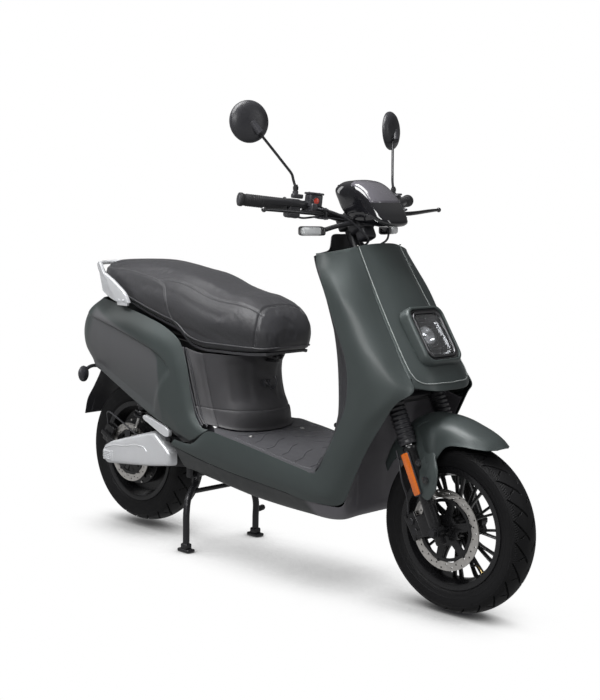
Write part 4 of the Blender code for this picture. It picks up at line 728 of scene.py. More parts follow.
def vinyl(name, dark, light, rough):
    """Seat cloth: cells with creased lines between them, slightly warped; the creases are darkened
    as painted shade.
    """
    mat, tree, shader = new_material(name)
    warp = texture(tree, "Noise", Scale=300.0, Detail=2.0)
    small = node(tree, "VectorMath", operation="SCALE", Scale=0.0016)
    tree.links.new(warp["Color"], small.inputs[0])
    where = node(tree, "VectorMath", operation="ADD")
    tree.links.new(coords(tree), where.inputs[0])
    tree.links.new(small.outputs[0], where.inputs[1])
    cells = texture(tree, "Voronoi", where.outputs[0], feature="DISTANCE_TO_EDGE", Scale=620.0)
    lines = mapped(tree, cells["Distance"], (0.0, 0.16))
    cloud = ranged(tree, noise_fac(tree, scale=7.0, detail=5.0), 0.0, 1.0)
    # the crease lines are darkened: painted shade in the creases
    colour = mixed(tree, lines, shade(dark, 0.62), mixed(tree, cloud, dark, light))
    smear = noise_fac(tree, scale=60.0, detail=4.0)
    fill(tree, shader, {"Base Color": colour,
                        "Roughness": ranged(tree, smear, rough - 0.05, rough + 0.07),
                        "Sheen Weight": 0.10, "Sheen Roughness": 0.4})
    first = bump(tree, shader, lines, strength=0.34, distance=0.0004)
    bump(tree, shader, noise_fac(tree, scale=130.0, detail=4.0), strength=0.10, distance=0.0010,
         after=first)
    return mat


def lens(name, colour, rough, transmission, rib_axis=None, spec=0.5):
    """Clear or coloured plastic, ribbed across an axis where one is given."""
    mat, tree, shader = new_material(name)
    cloud = ranged(tree, noise_fac(tree, scale=20.0, detail=3.0), 0.0, 1.0)
    smear = noise_fac(tree, scale=90.0, detail=3.0)
    fill(tree, shader, {"Specular IOR Level": spec, "Transmission Weight": transmission,
                        "IOR": 1.46,
                        "Base Color": mixed(tree, cloud, colour, shade(colour, 1.12, 0.01)),
                        "Roughness": ranged(tree, smear, max(0.0, rough - 0.02), rough + 0.02)})
    if rib_axis is not None:
        wave = texture(tree, "Wave", bands_direction=rib_axis, Scale=110.0)
        bump(tree, shader, wave["Fac"], strength=0.5, distance=0.0008)
    return mat


def prismatic(name, colour, dark):
    """A reflector: small pyramids under a clear face."""
    mat, tree, shader = new_material(name)
    cells = texture(tree, "Voronoi", feature="F1", distance="MANHATTAN", Scale=260.0,
                    Randomness=0.05)["Distance"]
    fill(tree, shader, {"Base Color": mixed(tree, cells, colour, dark), "Roughness": 0.16,
                        "Coat Weight": 0.9, "Coat Roughness": 0.04})
    bump(tree, shader, cells, strength=0.35, distance=0.0006)
    return mat


def stage_floor():
    """A pale studio floor that the camera sees as emission with a painted shadow, darkened by
    ambient occlusion where the moped hides the sky.
    """
    mat, tree, _ = new_material("stage_floor")
    # painted shadow: the floor's glow darkens where occlusion by the moped is strongest
    sky = node(tree, "AmbientOcclusion", samples=16, Distance=0.33)
    painted_shadow_greys = ((0.28, 0.08), (0.52, 0.42), (0.68, 0.84), (0.80, 1))
    ramp = ramp_node(tree, [(0.05, (0.015, 0.015, 0.017))] + [(pos, (v, v, v)) for pos, v in painted_shadow_greys])
    ramp.color_ramp.interpolation = "EASE"
    painted_shadow_glow = node(tree, "Emission", Strength=1.0)
    tree.links.new(sky.outputs["AO"], ramp.inputs[0])
    tree.links.new(ramp.outputs[0], painted_shadow_glow.inputs["Color"])
    dull = node(tree, "Emission", Color=(0.42, 0.42, 0.42, 1))
    seen = node(tree, "LightPath")
    mix = node(tree, "MixShader")
    tree.links.new(seen.outputs["Is Camera Ray"], mix.inputs[0])
    tree.links.new(dull.outputs[0], mix.inputs[1])
    tree.links.new(painted_shadow_glow.outputs[0], mix.inputs[2])
    tree.links.new(mix.outputs[0], tree.nodes["Material Output"].inputs["Surface"])
    return mat


# ------------------------------------------------------------------- materials
BODY = dict(dark=(0.032, 0.041, 0.041), light=(0.040, 0.050, 0.049), metallic=0.36, rough=0.55,
            coat=0.35)
PAINT = paint("green_grey_paint", **BODY)
# rear covers: their field is painted lighter as painted light and their upper band darker as
# painted shade
PAINT_REAR_PAINTED_LIGHT = paint("green_grey_paint_rear_painted_light", **BODY, field=(0.092, 0.090, 0.096))
# much lighter paint for the seam bead: a painted highlight along the seam
PAINT_SEAM_HIGHLIGHT = paint("green_grey_paint_seam_highlight", dark=(0.20, 0.22, 0.215), light=(0.25, 0.27, 0.265),
                   metallic=0.30, rough=0.6)
PAINT_DARK = paint("green_grey_paint_shade", dark=(0.045, 0.055, 0.053),
                   light=(0.055, 0.066, 0.064), metallic=0.40, rough=0.44)
BLACK = plastic("black_plastic", dark=(0.022, 0.022, 0.025), light=(0.028, 0.028, 0.032),
                rough=0.50)
SATIN = plastic("black_satin_plastic", dark=(0.020, 0.020, 0.023), light=(0.026, 0.026, 0.030),
                rough=0.36, grain=0.07)
MAT_FLOOR = plastic("floor_mat_rubber", dark=(0.036, 0.036, 0.040), light=(0.046, 0.046, 0.051),
                    rough=0.58, grain=0.35, scale=900.0)
GREY_PLASTIC = plastic("dark_grey_plastic", dark=(0.066, 0.063, 0.072),
                       light=(0.080, 0.077, 0.087), rough=0.46, grain=0.10)
GUARD_PLASTIC = plastic("guard_plastic", dark=(0.026, 0.029, 0.030), light=(0.033, 0.036, 0.037),
                        rough=0.50, grain=0.10, ahead=(0.125, 0.120, 0.134))
UNDERSEAT = plastic("underseat_plastic", dark=(0.044, 0.043, 0.046), light=(0.054, 0.053, 0.057),
                    rough=0.54, grain=0.09, spec=0.32)
GLOSS = plastic("gloss_black", dark=(0.006, 0.006, 0.007), light=(0.009, 0.009, 0.011),
                rough=0.09, grain=0.0, coat=1.0)
GLOSS_GREY = plastic("gloss_dark_grey", dark=(0.088, 0.084, 0.097), light=(0.104, 0.099, 0.114),
                     rough=0.14, grain=0.0, coat=1.0)
VINYL = vinyl("seat_vinyl", dark=(0.030, 0.030, 0.034), light=(0.039, 0.039, 0.043), rough=0.44)
VINYL_SMOOTH = plastic("seat_side_vinyl", dark=(0.030, 0.030, 0.033), light=(0.038, 0.038, 0.042),
                       rough=0.42, grain=0.10, scale=900.0)
THREAD = plastic("seat_thread", dark=(0.060, 0.060, 0.064), light=(0.080, 0.080, 0.084),
                 rough=0.55, grain=0.2, scale=2500.0)
TREAD = plastic("tyre_rubber", dark=(0.0042, 0.0042, 0.0048), light=(0.0066, 0.0066, 0.0074),
                rough=0.62, grain=0.16, scale=700.0, spec=0.22)
GRIP = plastic("grip_rubber", dark=(0.009, 0.009, 0.010), light=(0.014, 0.014, 0.016),
               rough=0.50, grain=0.25, scale=1300.0)
STEEL = metal("black_powder_coat", dark=(0.016, 0.016, 0.018), light=(0.024, 0.024, 0.027),
              rough=0.36, metallic=0.25, scale=600.0)
BLACK_ALLOY = metal("black_alloy", dark=(0.012, 0.012, 0.013), light=(0.019, 0.019, 0.021),
                    rough=0.30, metallic=0.4, scale=400.0, coat=0.2)
GREY_ALLOY = metal("grey_alloy", dark=(0.10, 0.10, 0.105), light=(0.14, 0.14, 0.145),
                   rough=0.34, scale=500.0)
DARK_ALLOY = metal("dark_alloy", dark=(0.035, 0.035, 0.038), light=(0.055, 0.055, 0.058),
                   rough=0.26, metallic=0.9, scale=500.0, coat=0.2)
BRIGHT = metal("bright_steel", dark=(0.50, 0.49, 0.48), light=(0.66, 0.65, 0.63), rough=0.30,
               stretch=(1, 6, 1), scale=160.0)
DISC_FACE = metal("disc_steel", dark=(0.60, 0.58, 0.56), light=(0.76, 0.74, 0.71), rough=0.34,
                  scale=90.0, strength=0.12)
SILVER = metal("silver_paint", dark=(0.62, 0.63, 0.65), light=(0.70, 0.71, 0.73), rough=0.40,
               metallic=0.35, scale=900.0, strength=0.03, coat=0.4)
CHROME = metal("chrome", dark=(0.80, 0.80, 0.81), light=(0.88, 0.88, 0.88), rough=0.06,
               scale=40.0, strength=0.01)
GLASS = lens("clear_lens", (0.78, 0.79, 0.81), rough=0.02, transmission=0.97, spec=0.14)
GLASS_RIB = lens("clear_ribbed_lens", (0.86, 0.88, 0.90), rough=0.10, transmission=0.36,
                 rib_axis="X")
RED = lens("red_lens", (0.42, 0.006, 0.008), rough=0.08, transmission=0.25, rib_axis="Z")
RED_MARK = plastic("red_cap", dark=(0.40, 0.03, 0.015), light=(0.50, 0.04, 0.02), rough=0.28,
                   grain=0.0, coat=0.6)
SMOKE = lens("smoked_lens", (0.42, 0.42, 0.44), rough=0.10, transmission=0.42, rib_axis="X")
ORANGE = prismatic("orange_reflector", colour=(0.80, 0.20, 0.012), dark=(0.50, 0.09, 0.004))
MIRROR = metal("mirror_glass", dark=(0.86, 0.88, 0.89), light=(0.90, 0.91, 0.92), rough=0.02,
               scale=20.0, strength=0.0)
BRASS = metal("brass_valve", dark=(0.55, 0.40, 0.16), light=(0.66, 0.50, 0.22), rough=0.3,
              scale=300.0)
STAGE_FLOOR = stage_floor()

# the slot group of each material, looked up by name in piece() unless a slot is named; piece() does
# not keep it
SLOTS = {
    "green_grey_paint": (PAINT, PAINT_REAR_PAINTED_LIGHT, PAINT_SEAM_HIGHLIGHT),
    "black_plastic": (BLACK, SATIN, MAT_FLOOR, GREY_PLASTIC, GUARD_PLASTIC, UNDERSEAT),
    "gloss_black": (GLOSS, GLOSS_GREY), "seat_vinyl": (VINYL, VINYL_SMOOTH, THREAD),
    "tyre_rubber": (TREAD,), "grip_rubber": (GRIP,), "black_steel": (STEEL,),
    "black_alloy": (BLACK_ALLOY, DARK_ALLOY), "bright_steel": (BRIGHT, DISC_FACE, BRASS),
    "silver_alloy": (SILVER, GREY_ALLOY), "chrome": (CHROME,), "mirror_glass": (MIRROR,),
    "clear_lens": (GLASS, GLASS_RIB, SMOKE), "red_lens": (RED, RED_MARK), "orange_lens": (ORANGE,),
}
SLOT_OF = {mat.name: slot for slot, group in SLOTS.items() for mat in group}


# ---------------------------------------------------------------- panel tables
# Every table holds rows of (x, y, z). Rows that start at y = 0 are half rows, to be reflected.

# left edge of the front panel, from the top down
SEAM = [(0.340, 0.090, 0.973), (0.385, 0.096, 0.900), (0.430, 0.102, 0.830),
        (0.488, 0.110, 0.745), (0.535, 0.116, 0.680), (0.573, 0.120, 0.628)]
FRONT_ROWS = [  # from the top down
    [(0.358, 0, 0.981), (0.352, 0.050, 0.979), SEAM[0]],
    [(0.410, 0, 0.905), (0.404, 0.053, 0.903), SEAM[1]],
    [(0.462, 0, 0.835), (0.455, 0.056, 0.833), SEAM[2]],
    [(0.528, 0, 0.745), (0.518, 0.060, 0.745), SEAM[3]],
    [(0.576, 0, 0.677), (0.567, 0.064, 0.678), SEAM[4]],
    [(0.611, 0, 0.616), (0.604, 0.066, 0.617), SEAM[5]],
    [(0.6155, 0, 0.602), (0.6085, 0.066, 0.603), (0.5785, 0.1220, 0.612)],
]


def rear_edge(z):
    """x of the straight rear edge of the leg shield flank."""
    return 0.273 + 0.461 * (0.940 - z)


SIDE_ROWS = [  # down the leg shield flank, then back along the floor's edge
    [(0.279, 0.189, 0.953), (0.303, 0.166, 0.957), (0.326, 0.127, 0.965), (0.3385, 0.0925, 0.972)],
    [(rear_edge(0.92), 0.190, 0.920), (0.316, 0.171, 0.922), (0.356, 0.131, 0.926),
     (0.371, 0.0975, 0.928)],
    [(rear_edge(0.85), 0.190, 0.850), (0.362, 0.186, 0.850), (0.405, 0.144, 0.850),
     (0.415, 0.103, 0.850)],
    [(rear_edge(0.75), 0.190, 0.750), (0.405, 0.190, 0.750), (0.467, 0.151, 0.747),
     (0.483, 0.1125, 0.748)],
    [(rear_edge(0.67), 0.190, 0.670), (0.449, 0.191, 0.668), (0.520, 0.156, 0.663),
     (0.542, 0.1195, 0.663)],
    [(0.405, 0.190, 0.620), (0.470, 0.191, 0.615), (0.537, 0.164, 0.608), (0.583, 0.128, 0.603)],
    [(0.403, 0.190, 0.561), (0.458, 0.192, 0.557), (0.511, 0.181, 0.557), (0.552, 0.152, 0.574)],
    [(0.369, 0.190, 0.477), (0.412, 0.193, 0.482), (0.460, 0.188, 0.490), (0.507, 0.167, 0.503)],
    [(0.331, 0.190, 0.405), (0.372, 0.195, 0.402), (0.414, 0.191, 0.408), (0.456, 0.172, 0.417)],
    [(0.306, 0.190, 0.362), (0.338, 0.195, 0.347), (0.380, 0.193, 0.341), (0.417, 0.174, 0.335)],
    [(0.287, 0.190, 0.346), (0.308, 0.196, 0.318), (0.343, 0.195, 0.290), (0.386, 0.176, 0.276)],
    [(0.256, 0.190, 0.350), (0.263, 0.197, 0.322), (0.275, 0.198, 0.292), (0.300, 0.190, 0.265)],
    [(0.160, 0.190, 0.364), (0.163, 0.197, 0.334), (0.165, 0.198, 0.304), (0.167, 0.190, 0.276)],
    [(0.040, 0.190, 0.382), (0.040, 0.197, 0.350), (0.040, 0.198, 0.316), (0.040, 0.190, 0.287)],
    [(-0.070, 0.190, 0.397), (-0.072, 0.197, 0.365), (-0.075, 0.198, 0.330),
     (-0.078, 0.190, 0.299)],
    [(-0.150, 0.189, 0.402), (-0.160, 0.195, 0.372), (-0.172, 0.196, 0.341),
     (-0.180, 0.189, 0.313)],
    [(-0.225, 0.187, 0.354), (-0.230, 0.190, 0.344), (-0.240, 0.190, 0.334),
     (-0.248, 0.187, 0.324)],
    [(-0.305, 0.184, 0.355), (-0.310, 0.186, 0.349), (-0.316, 0.186, 0.343),
     (-0.322, 0.184, 0.336)],
]
TAIL_ROWS = [  # left rear cover, from the tail forward; each row runs from the top down
    [(-0.790, 0.056, 0.757), (-0.846, 0.055, 0.722), (-0.869, 0.055, 0.660),
     (-0.864, 0.055, 0.605), (-0.830, 0.055, 0.548)],
    [(-0.775, 0.088, 0.756), (-0.828, 0.105, 0.712), (-0.848, 0.112, 0.655),
     (-0.842, 0.110, 0.600), (-0.803, 0.098, 0.540)],
    [(-0.735, 0.118, 0.756), (-0.780, 0.146, 0.706), (-0.795, 0.154, 0.650),
     (-0.790, 0.154, 0.598), (-0.760, 0.136, 0.532)],
    [(-0.670, 0.138, 0.752), (-0.690, 0.167, 0.705), (-0.698, 0.177, 0.655),
     (-0.700, 0.176, 0.590), (-0.692, 0.158, 0.520)],
    [(-0.580, 0.149, 0.739), (-0.588, 0.176, 0.700), (-0.596, 0.186, 0.650),
     (-0.604, 0.186, 0.565), (-0.612, 0.170, 0.493)],
    [(-0.470, 0.154, 0.717), (-0.478, 0.180, 0.682), (-0.490, 0.190, 0.630),
     (-0.506, 0.190, 0.530), (-0.520, 0.176, 0.456)],
    [(-0.370, 0.160, 0.690), (-0.384, 0.183, 0.660), (-0.405, 0.191, 0.610),
     (-0.428, 0.191, 0.500), (-0.446, 0.180, 0.427)],
    [(-0.302, 0.168, 0.655), (-0.330, 0.184, 0.632), (-0.360, 0.192, 0.585),
     (-0.378, 0.192, 0.470), (-0.392, 0.182, 0.408)],
    [(-0.268, 0.172, 0.600), (-0.294, 0.186, 0.585), (-0.328, 0.192, 0.545),
     (-0.342, 0.192, 0.450), (-0.352, 0.183, 0.396)],
    [(-0.244, 0.173, 0.515), (-0.266, 0.187, 0.502), (-0.294, 0.192, 0.470),
     (-0.307, 0.192, 0.420), (-0.318, 0.184, 0.386)],
    [(-0.212, 0.175, 0.430), (-0.232, 0.187, 0.422), (-0.256, 0.191, 0.408),
     (-0.272, 0.191, 0.390), (-0.290, 0.185, 0.377)],
    [(-0.184, 0.179, 0.408), (-0.194, 0.186, 0.400), (-0.210, 0.189, 0.390),
     (-0.226, 0.189, 0.378), (-0.254, 0.186, 0.368)],
    [(-0.158, 0.180, 0.4050), (-0.167, 0.1855, 0.3975), (-0.183, 0.1885, 0.3880),
     (-0.204, 0.1885, 0.3740), (-0.233, 0.186, 0.3620)],
]
UNDERSEAT_ROWS = [  # from the top down
    [(-0.086, 0, 0.627), (-0.093, 0.068, 0.627), (-0.124, 0.116, 0.627),
     (-0.190, 0.136, 0.627), (-0.252, 0.140, 0.627), (-0.288, 0.158, 0.640)],
    [(-0.100, 0, 0.560), (-0.108, 0.070, 0.560), (-0.136, 0.115, 0.560),
     (-0.186, 0.133, 0.560), (-0.236, 0.140, 0.560), (-0.256, 0.166, 0.562)],
    [(-0.090, 0, 0.500), (-0.098, 0.070, 0.500), (-0.126, 0.116, 0.500),
     (-0.171, 0.134, 0.500), (-0.212, 0.140, 0.500), (-0.235, 0.167, 0.500)],
    [(-0.062, 0, 0.443), (-0.073, 0.070, 0.443), (-0.106, 0.120, 0.443),
     (-0.151, 0.138, 0.443), (-0.186, 0.146, 0.443), (-0.211, 0.169, 0.443)],
    [(-0.066, 0, 0.400), (-0.077, 0.076, 0.4015), (-0.105, 0.126, 0.4055),
     (-0.142, 0.146, 0.411), (-0.166, 0.156, 0.4145), (-0.186, 0.172, 0.4165)],
]
LEGSHIELD_ROWS = [  # from the top down
    [(0.200, 0, 1.000), (0.206, 0.046, 0.998), (0.232, 0.084, 0.962), (0.254, 0.150, 0.951),
     (0.266, 0.184, 0.944)],
    [(0.203, 0, 0.940), (0.212, 0.050, 0.940), (0.228, 0.092, 0.940), (0.250, 0.150, 0.937),
     (0.270, 0.1855, 0.934)],
    [(0.210, 0, 0.850), (0.218, 0.050, 0.850), (0.238, 0.092, 0.850), (0.276, 0.150, 0.850),
     (0.309, 0.1860, 0.850)],
    [(0.220, 0, 0.750), (0.230, 0.050, 0.750), (0.258, 0.092, 0.750), (0.312, 0.150, 0.750),
     (0.355, 0.1860, 0.750)],
    [(0.234, 0, 0.650), (0.246, 0.050, 0.650), (0.276, 0.092, 0.650), (0.342, 0.150, 0.650),
     (0.396, 0.1860, 0.650)],
    [(0.254, 0, 0.560), (0.262, 0.050, 0.560), (0.284, 0.092, 0.560), (0.344, 0.150, 0.560),
     (0.394, 0.1860, 0.560)],
    [(0.274, 0, 0.477), (0.278, 0.050, 0.477), (0.290, 0.092, 0.477), (0.330, 0.150, 0.477),
     (0.361, 0.1860, 0.477)],
    [(0.284, 0, 0.405), (0.285, 0.050, 0.405), (0.290, 0.092, 0.405), (0.308, 0.150, 0.405),
     (0.324, 0.1860, 0.405)],
    [(0.284, 0, 0.3515), (0.284, 0.050, 0.3515), (0.285, 0.092, 0.3515), (0.287, 0.150, 0.3515),
     (0.288, 0.1855, 0.3515)],
]
GUARD_ROWS = [  # forward under the belly, then up behind the front wheel
    [(-0.280, 0, 0.262), (-0.282, 0.075, 0.262), (-0.285, 0.148, 0.264), (-0.312, 0.1800, 0.331)],
    [(-0.190, 0, 0.250), (-0.190, 0.075, 0.250), (-0.190, 0.150, 0.251), (-0.190, 0.1865, 0.311)],
    [(-0.120, 0, 0.241), (-0.120, 0.075, 0.241), (-0.120, 0.150, 0.242), (-0.120, 0.1870, 0.301)],
    [(0.000, 0, 0.226), (0.000, 0.075, 0.226), (0.000, 0.150, 0.227), (0.000, 0.1870, 0.288)],
    [(0.102, 0, 0.219), (0.102, 0.075, 0.219), (0.102, 0.150, 0.220), (0.102, 0.1870, 0.279)],
    [(0.242, 0, 0.215), (0.242, 0.075, 0.215), (0.242, 0.150, 0.216), (0.242, 0.1870, 0.267)],
    [(0.322, 0, 0.215), (0.322, 0.075, 0.215), (0.322, 0.150, 0.216), (0.326, 0.1810, 0.262)],
    [(0.372, 0, 0.226), (0.372, 0.075, 0.226), (0.374, 0.150, 0.230), (0.386, 0.1720, 0.268)],
    [(0.373, 0, 0.300), (0.373, 0.075, 0.300), (0.378, 0.130, 0.302), (0.404, 0.1700, 0.317)],
    [(0.374, 0, 0.400), (0.374, 0.075, 0.400), (0.382, 0.132, 0.402), (0.440, 0.1690, 0.400)],
    [(0.374, 0, 0.500), (0.374, 0.075, 0.500), (0.388, 0.134, 0.502), (0.492, 0.1640, 0.490)],
    [(0.374, 0, 0.585), (0.374, 0.075, 0.585), (0.392, 0.134, 0.585), (0.528, 0.1560, 0.556)],
]
MUDGUARD_ROWS = [  # down the tail to the end of the rear mudguard
    [(-0.800, 0, 0.762), (-0.795, 0.030, 0.761), (-0.792, 0.0520, 0.758)],
    [(-0.852, 0, 0.722), (-0.848, 0.030, 0.722), (-0.842, 0.0520, 0.720)],
    [(-0.866, 0, 0.690), (-0.864, 0.030, 0.690), (-0.858, 0.0520, 0.690)],
    [(-0.866, 0, 0.650), (-0.864, 0.030, 0.650), (-0.858, 0.0520, 0.650)],
    [(-0.864, 0, 0.610), (-0.862, 0.030, 0.610), (-0.856, 0.0520, 0.610)],
    [(-0.832, 0, 0.556), (-0.830, 0.030, 0.556), (-0.826, 0.0510, 0.556)],
    [(-0.820, 0, 0.526), (-0.820, 0.040, 0.524), (-0.818, 0.0660, 0.515)],
    [(-0.846, 0, 0.460), (-0.846, 0.045, 0.458), (-0.842, 0.0800, 0.450)],
    [(-0.868, 0, 0.410), (-0.868, 0.050, 0.409), (-0.866, 0.0880, 0.405)],
    [(TAIL_X, 0, 0.352), (TAIL_X, 0.050, 0.352), (-0.8815, 0.0880, 0.352)],
]
GUARD_ROOF = [  # forward over the rear wheel
    [(-0.822, 0, 0.540), (-0.822, 0.040, 0.536), (-0.822, 0.0640, 0.512)],
    [(-0.760, 0, 0.575), (-0.760, 0.040, 0.570), (-0.758, 0.0660, 0.538)],
    [(-0.650, 0, 0.598), (-0.650, 0.040, 0.592), (-0.650, 0.0660, 0.562)],
    [(-0.540, 0, 0.580), (-0.540, 0.040, 0.575), (-0.543, 0.0660, 0.548)],
    [(-0.455, 0, 0.530), (-0.455, 0.040, 0.526), (-0.462, 0.0660, 0.508)],
]

# ------------------------------------------------------- front panel and its seam
LAMP = Vector((0.541, 0.0, 0.742))
LAMP_TILT = math.radians(33)
LAMP_AHEAD = Vector((math.cos(LAMP_TILT), 0, math.sin(LAMP_TILT)))
LAMP_UP = Vector((-LAMP_AHEAD.z, 0, LAMP_AHEAD.x))


def lamp_point(depth, across, rise):
    """A point of the headlight: out of its face, to the left, and up its face."""
    return LAMP + LAMP_AHEAD * depth + LEFT * across + LAMP_UP * rise


def lamp_ring(half_width, half_height, radius, depth):
    """A rounded rectangle of 36 points round the headlight."""
    ring = []
    for cx, cy, start in ((1, 1, 0), (-1, 1, 90), (-1, -1, 180), (1, -1, 270)):
        for k in range(9):
            a = math.radians(start + 90 * k / 8)
            ring.append(lamp_point(depth, cx * (half_width - radius) + radius * math.cos(a),
                                   cy * (half_height - radius) + radius * math.sin(a)))
    return ring


def lamp_loft(rows, cap=True):
    """rows are (half width, half height, corner radius, depth)."""
    return loft([lamp_ring(*row) for row in rows], cap)


front_grid = patch(full_rows(FRONT_ROWS), 90, 50, relax=20)
lamp_opening = lamp_loft([(0.0662, 0.0762, 0.0238, -0.10), (0.0662, 0.0762, 0.0238, 0.06)])
piece("front_panel_skin", cut(shell(front_grid, (1, 0, 0)), lamp_opening), PAINT,
      nodes="front_panel", sharp=28)
# raised lip round the lamp opening
lip = lamp_loft([(0.0664, 0.0764, 0.0240, -0.022), (0.0664, 0.0764, 0.0240, 0.0075),
                 (0.0672, 0.0772, 0.0245, 0.0092), (0.0700, 0.0800, 0.0260, 0.0098),
                 (0.0735, 0.0835, 0.0280, 0.0080), (0.0765, 0.0868, 0.0300, 0.0010),
                 (0.0775, 0.0880, 0.0310, -0.022)], cap=False)
piece("lamp_surround_lip", lip, PAINT, sharp=60)

FRONT_TREE = surface_tree(grid_mesh(front_grid))


def on_front(p, height=0.0008):
    """The nearest place on the front panel, moved out of it by a height."""
    hit, normal, _, _ = FRONT_TREE.find_nearest(Vector(p))
    if normal.x < 0:
        normal = -normal
    return hit + normal * height


corner_fill = [on_front((0.512, 0.1150, 0.712), -0.0085), on_front((0.535, 0.1180, 0.680), -0.0090),
               on_front((0.556, 0.1195, 0.650), -0.0092), on_front((0.568, 0.1205, 0.634), -0.0095)]
piece("front_corner_fillers", tube_pair(corner_fill, 0.0086, count=50, sides=14), PAINT)
seam_fill = [on_front((x, y + 0.0010, z), -0.0052) for x, y, z in SEAM[:-1]]
piece("front_seam_fillers", tube_pair(seam_fill, 0.0046, count=200, sides=10), PAINT)
# bead in the seam down each side of the panel and across under it, in light paint: a painted
# highlight along the seam
BEAD_BOTTOM = [(0.560, 0.1130, 0.646), (0.574, 0.1060, 0.6300), (0.590, 0.094, 0.6240),
               (0.602, 0.070, 0.6220), (0.606, 0.035, 0.6215), (0.6095, 0.0, 0.6210)]
half_bead = [on_front((x, y - 0.0045, z)) for x, y, z in SEAM[:-1]]
half_bead += [on_front(p) for p in BEAD_BOTTOM]
piece("front_seam_highlight_bead", tube(flipped(half_bead, -1) + half_bead[-2::-1], 0.0015, count=260,
                              sides=10), PAINT_SEAM_HIGHLIGHT)
piece("seam_bead_cap", [ball((0.3420, side * 0.0905, 0.9745), (0.0030, 0.0026, 0.0020))
                        for side in SIDES], BRIGHT)

# ---------------------------------------------------- side panels and rear covers
# leg shield flank and floor side in one moulding
side_skin = shell(patch(SIDE_ROWS, 200, 40, relax=14), (0, 1, 0))
piece("side_panel_skin_left", side_skin, PAINT, nodes="side_panel_left", sharp=28)
piece("side_panel_skin_right", mirrored(side_skin), PAINT, nodes="side_panel_right", sharp=28)

# the inner field of the rear cover is pressed in behind a soft crease
tail_grid = patch(TAIL_ROWS, 170, 80, relax=10)
u, v = grid_places(tail_grid)
field = (smoothstep(0.02, 0.30, u) * (1 - smoothstep(0.700, 0.738, u))
         * smoothstep(0.285, 0.322, v) * (1 - smoothstep(0.90, 1.0, v)))
tail_skin = shell(raised(tail_grid, -0.0080 * field, (0, 1, 0)), (-0.2, 1, 0))
piece("rear_cover_skin_left", tail_skin, PAINT_REAR_PAINTED_LIGHT, nodes="rear_cover_left", sharp=28)
piece("rear_cover_skin_right", mirrored(tail_skin), PAINT_REAR_PAINTED_LIGHT, nodes="rear_cover_right", sharp=28)

# ---------------------------------------------------------------- under the seat
# cover with a step towards its base, side recesses and a thin groove down each side
under_grid = patch(full_rows(UNDERSEAT_ROWS), 70, 90, relax=25)
u, v = grid_places(under_grid, centred=True)
height = 0.0022 * smoothstep(0.735, 0.760, u) - 0.0018 * bell(u, 0.742, 0.008)
height += 0.0030 * smoothstep(0.965, 1.0, u)
height -= (0.0045 * smoothstep(0.30, 0.42, 1 - u) * smoothstep(0.16, 0.26, v)
           * (1 - smoothstep(0.42, 0.54, v)) * (1 - smoothstep(0.86, 0.97, 1 - u)))
height -= 0.0030 * bell(v, 0.80, 0.012)
piece("underseat_cover_skin", shell(raised(under_grid, height, (1, 0, 0)), (1, 0, 0)), UNDERSEAT,
      nodes="underseat_cover", sharp=28)
piece("seat_hinge_pin", [
    cross_rod(SEAT_HINGE, -0.022, 0.022, 0.0035, segments=20, bevel=0.0006),
    block(SEAT_HINGE + Vector((-0.028, 0, -0.014)), (0.044, 0.010, 0.010), bevel=0.001),
    block(SEAT_HINGE + Vector((-0.004, 0, -0.006)), (0.012, 0.010, 0.020), bevel=0.001)], STEEL)
hook_bosses = [block((-0.0965, side * 0.0105, HOOK_Z), (0.022, 0.005, 0.020), bevel=0.0012)
               for side in SIDES]
hook_bosses.append(cross_rod((-0.0905, 0, HOOK_Z), -0.0125, 0.0125, 0.0018, segments=16))
piece("hook_bosses", hook_bosses, SATIN)

# dark inner walls behind the joint between the rear covers and the under-seat cover
LINER = [(-0.278, 0.634), (-0.250, 0.562), (-0.228, 0.500), (-0.199, 0.443), (-0.166, 0.412),
         (-0.150, 0.398), (-0.210, 0.350), (-0.300, 0.345), (-0.420, 0.400), (-0.440, 0.560),
         (-0.420, 0.660), (-0.330, 0.640)]  # (x, z)
LINER_CORDS = [
    ([(-0.292, 0.1640, 0.640), (-0.262, 0.1700, 0.562), (-0.240, 0.1712, 0.500),
      (-0.214, 0.1730, 0.443), (-0.186, 0.1760, 0.4120)], 0.0045),
    ([(-0.283, 0.1560, 0.637), (-0.252, 0.1590, 0.562), (-0.230, 0.1600, 0.500),
      (-0.203, 0.1640, 0.443), (-0.172, 0.1690, 0.4100)], 0.0038)]  # path, radius
for side, word in LEFT_RIGHT:
    parts = [outline_mesh([LINER], 0.003, side_plane((0, side * 0.1520, 0)), bevel=0.0004)]
    parts += [tube(flipped(path, side), radius, sides=12, flat=((0, 1, 0), 0.7))
              for path, radius in LINER_CORDS]
    piece("tail_liner_" + word, parts, SATIN, sharp=50)

# tray closing the well under the seat, above the battery
piece("seat_well_tray", block((-0.245, 0, 0.6170), (0.230, 0.232, 0.0030), bevel=0.0006), SATIN)

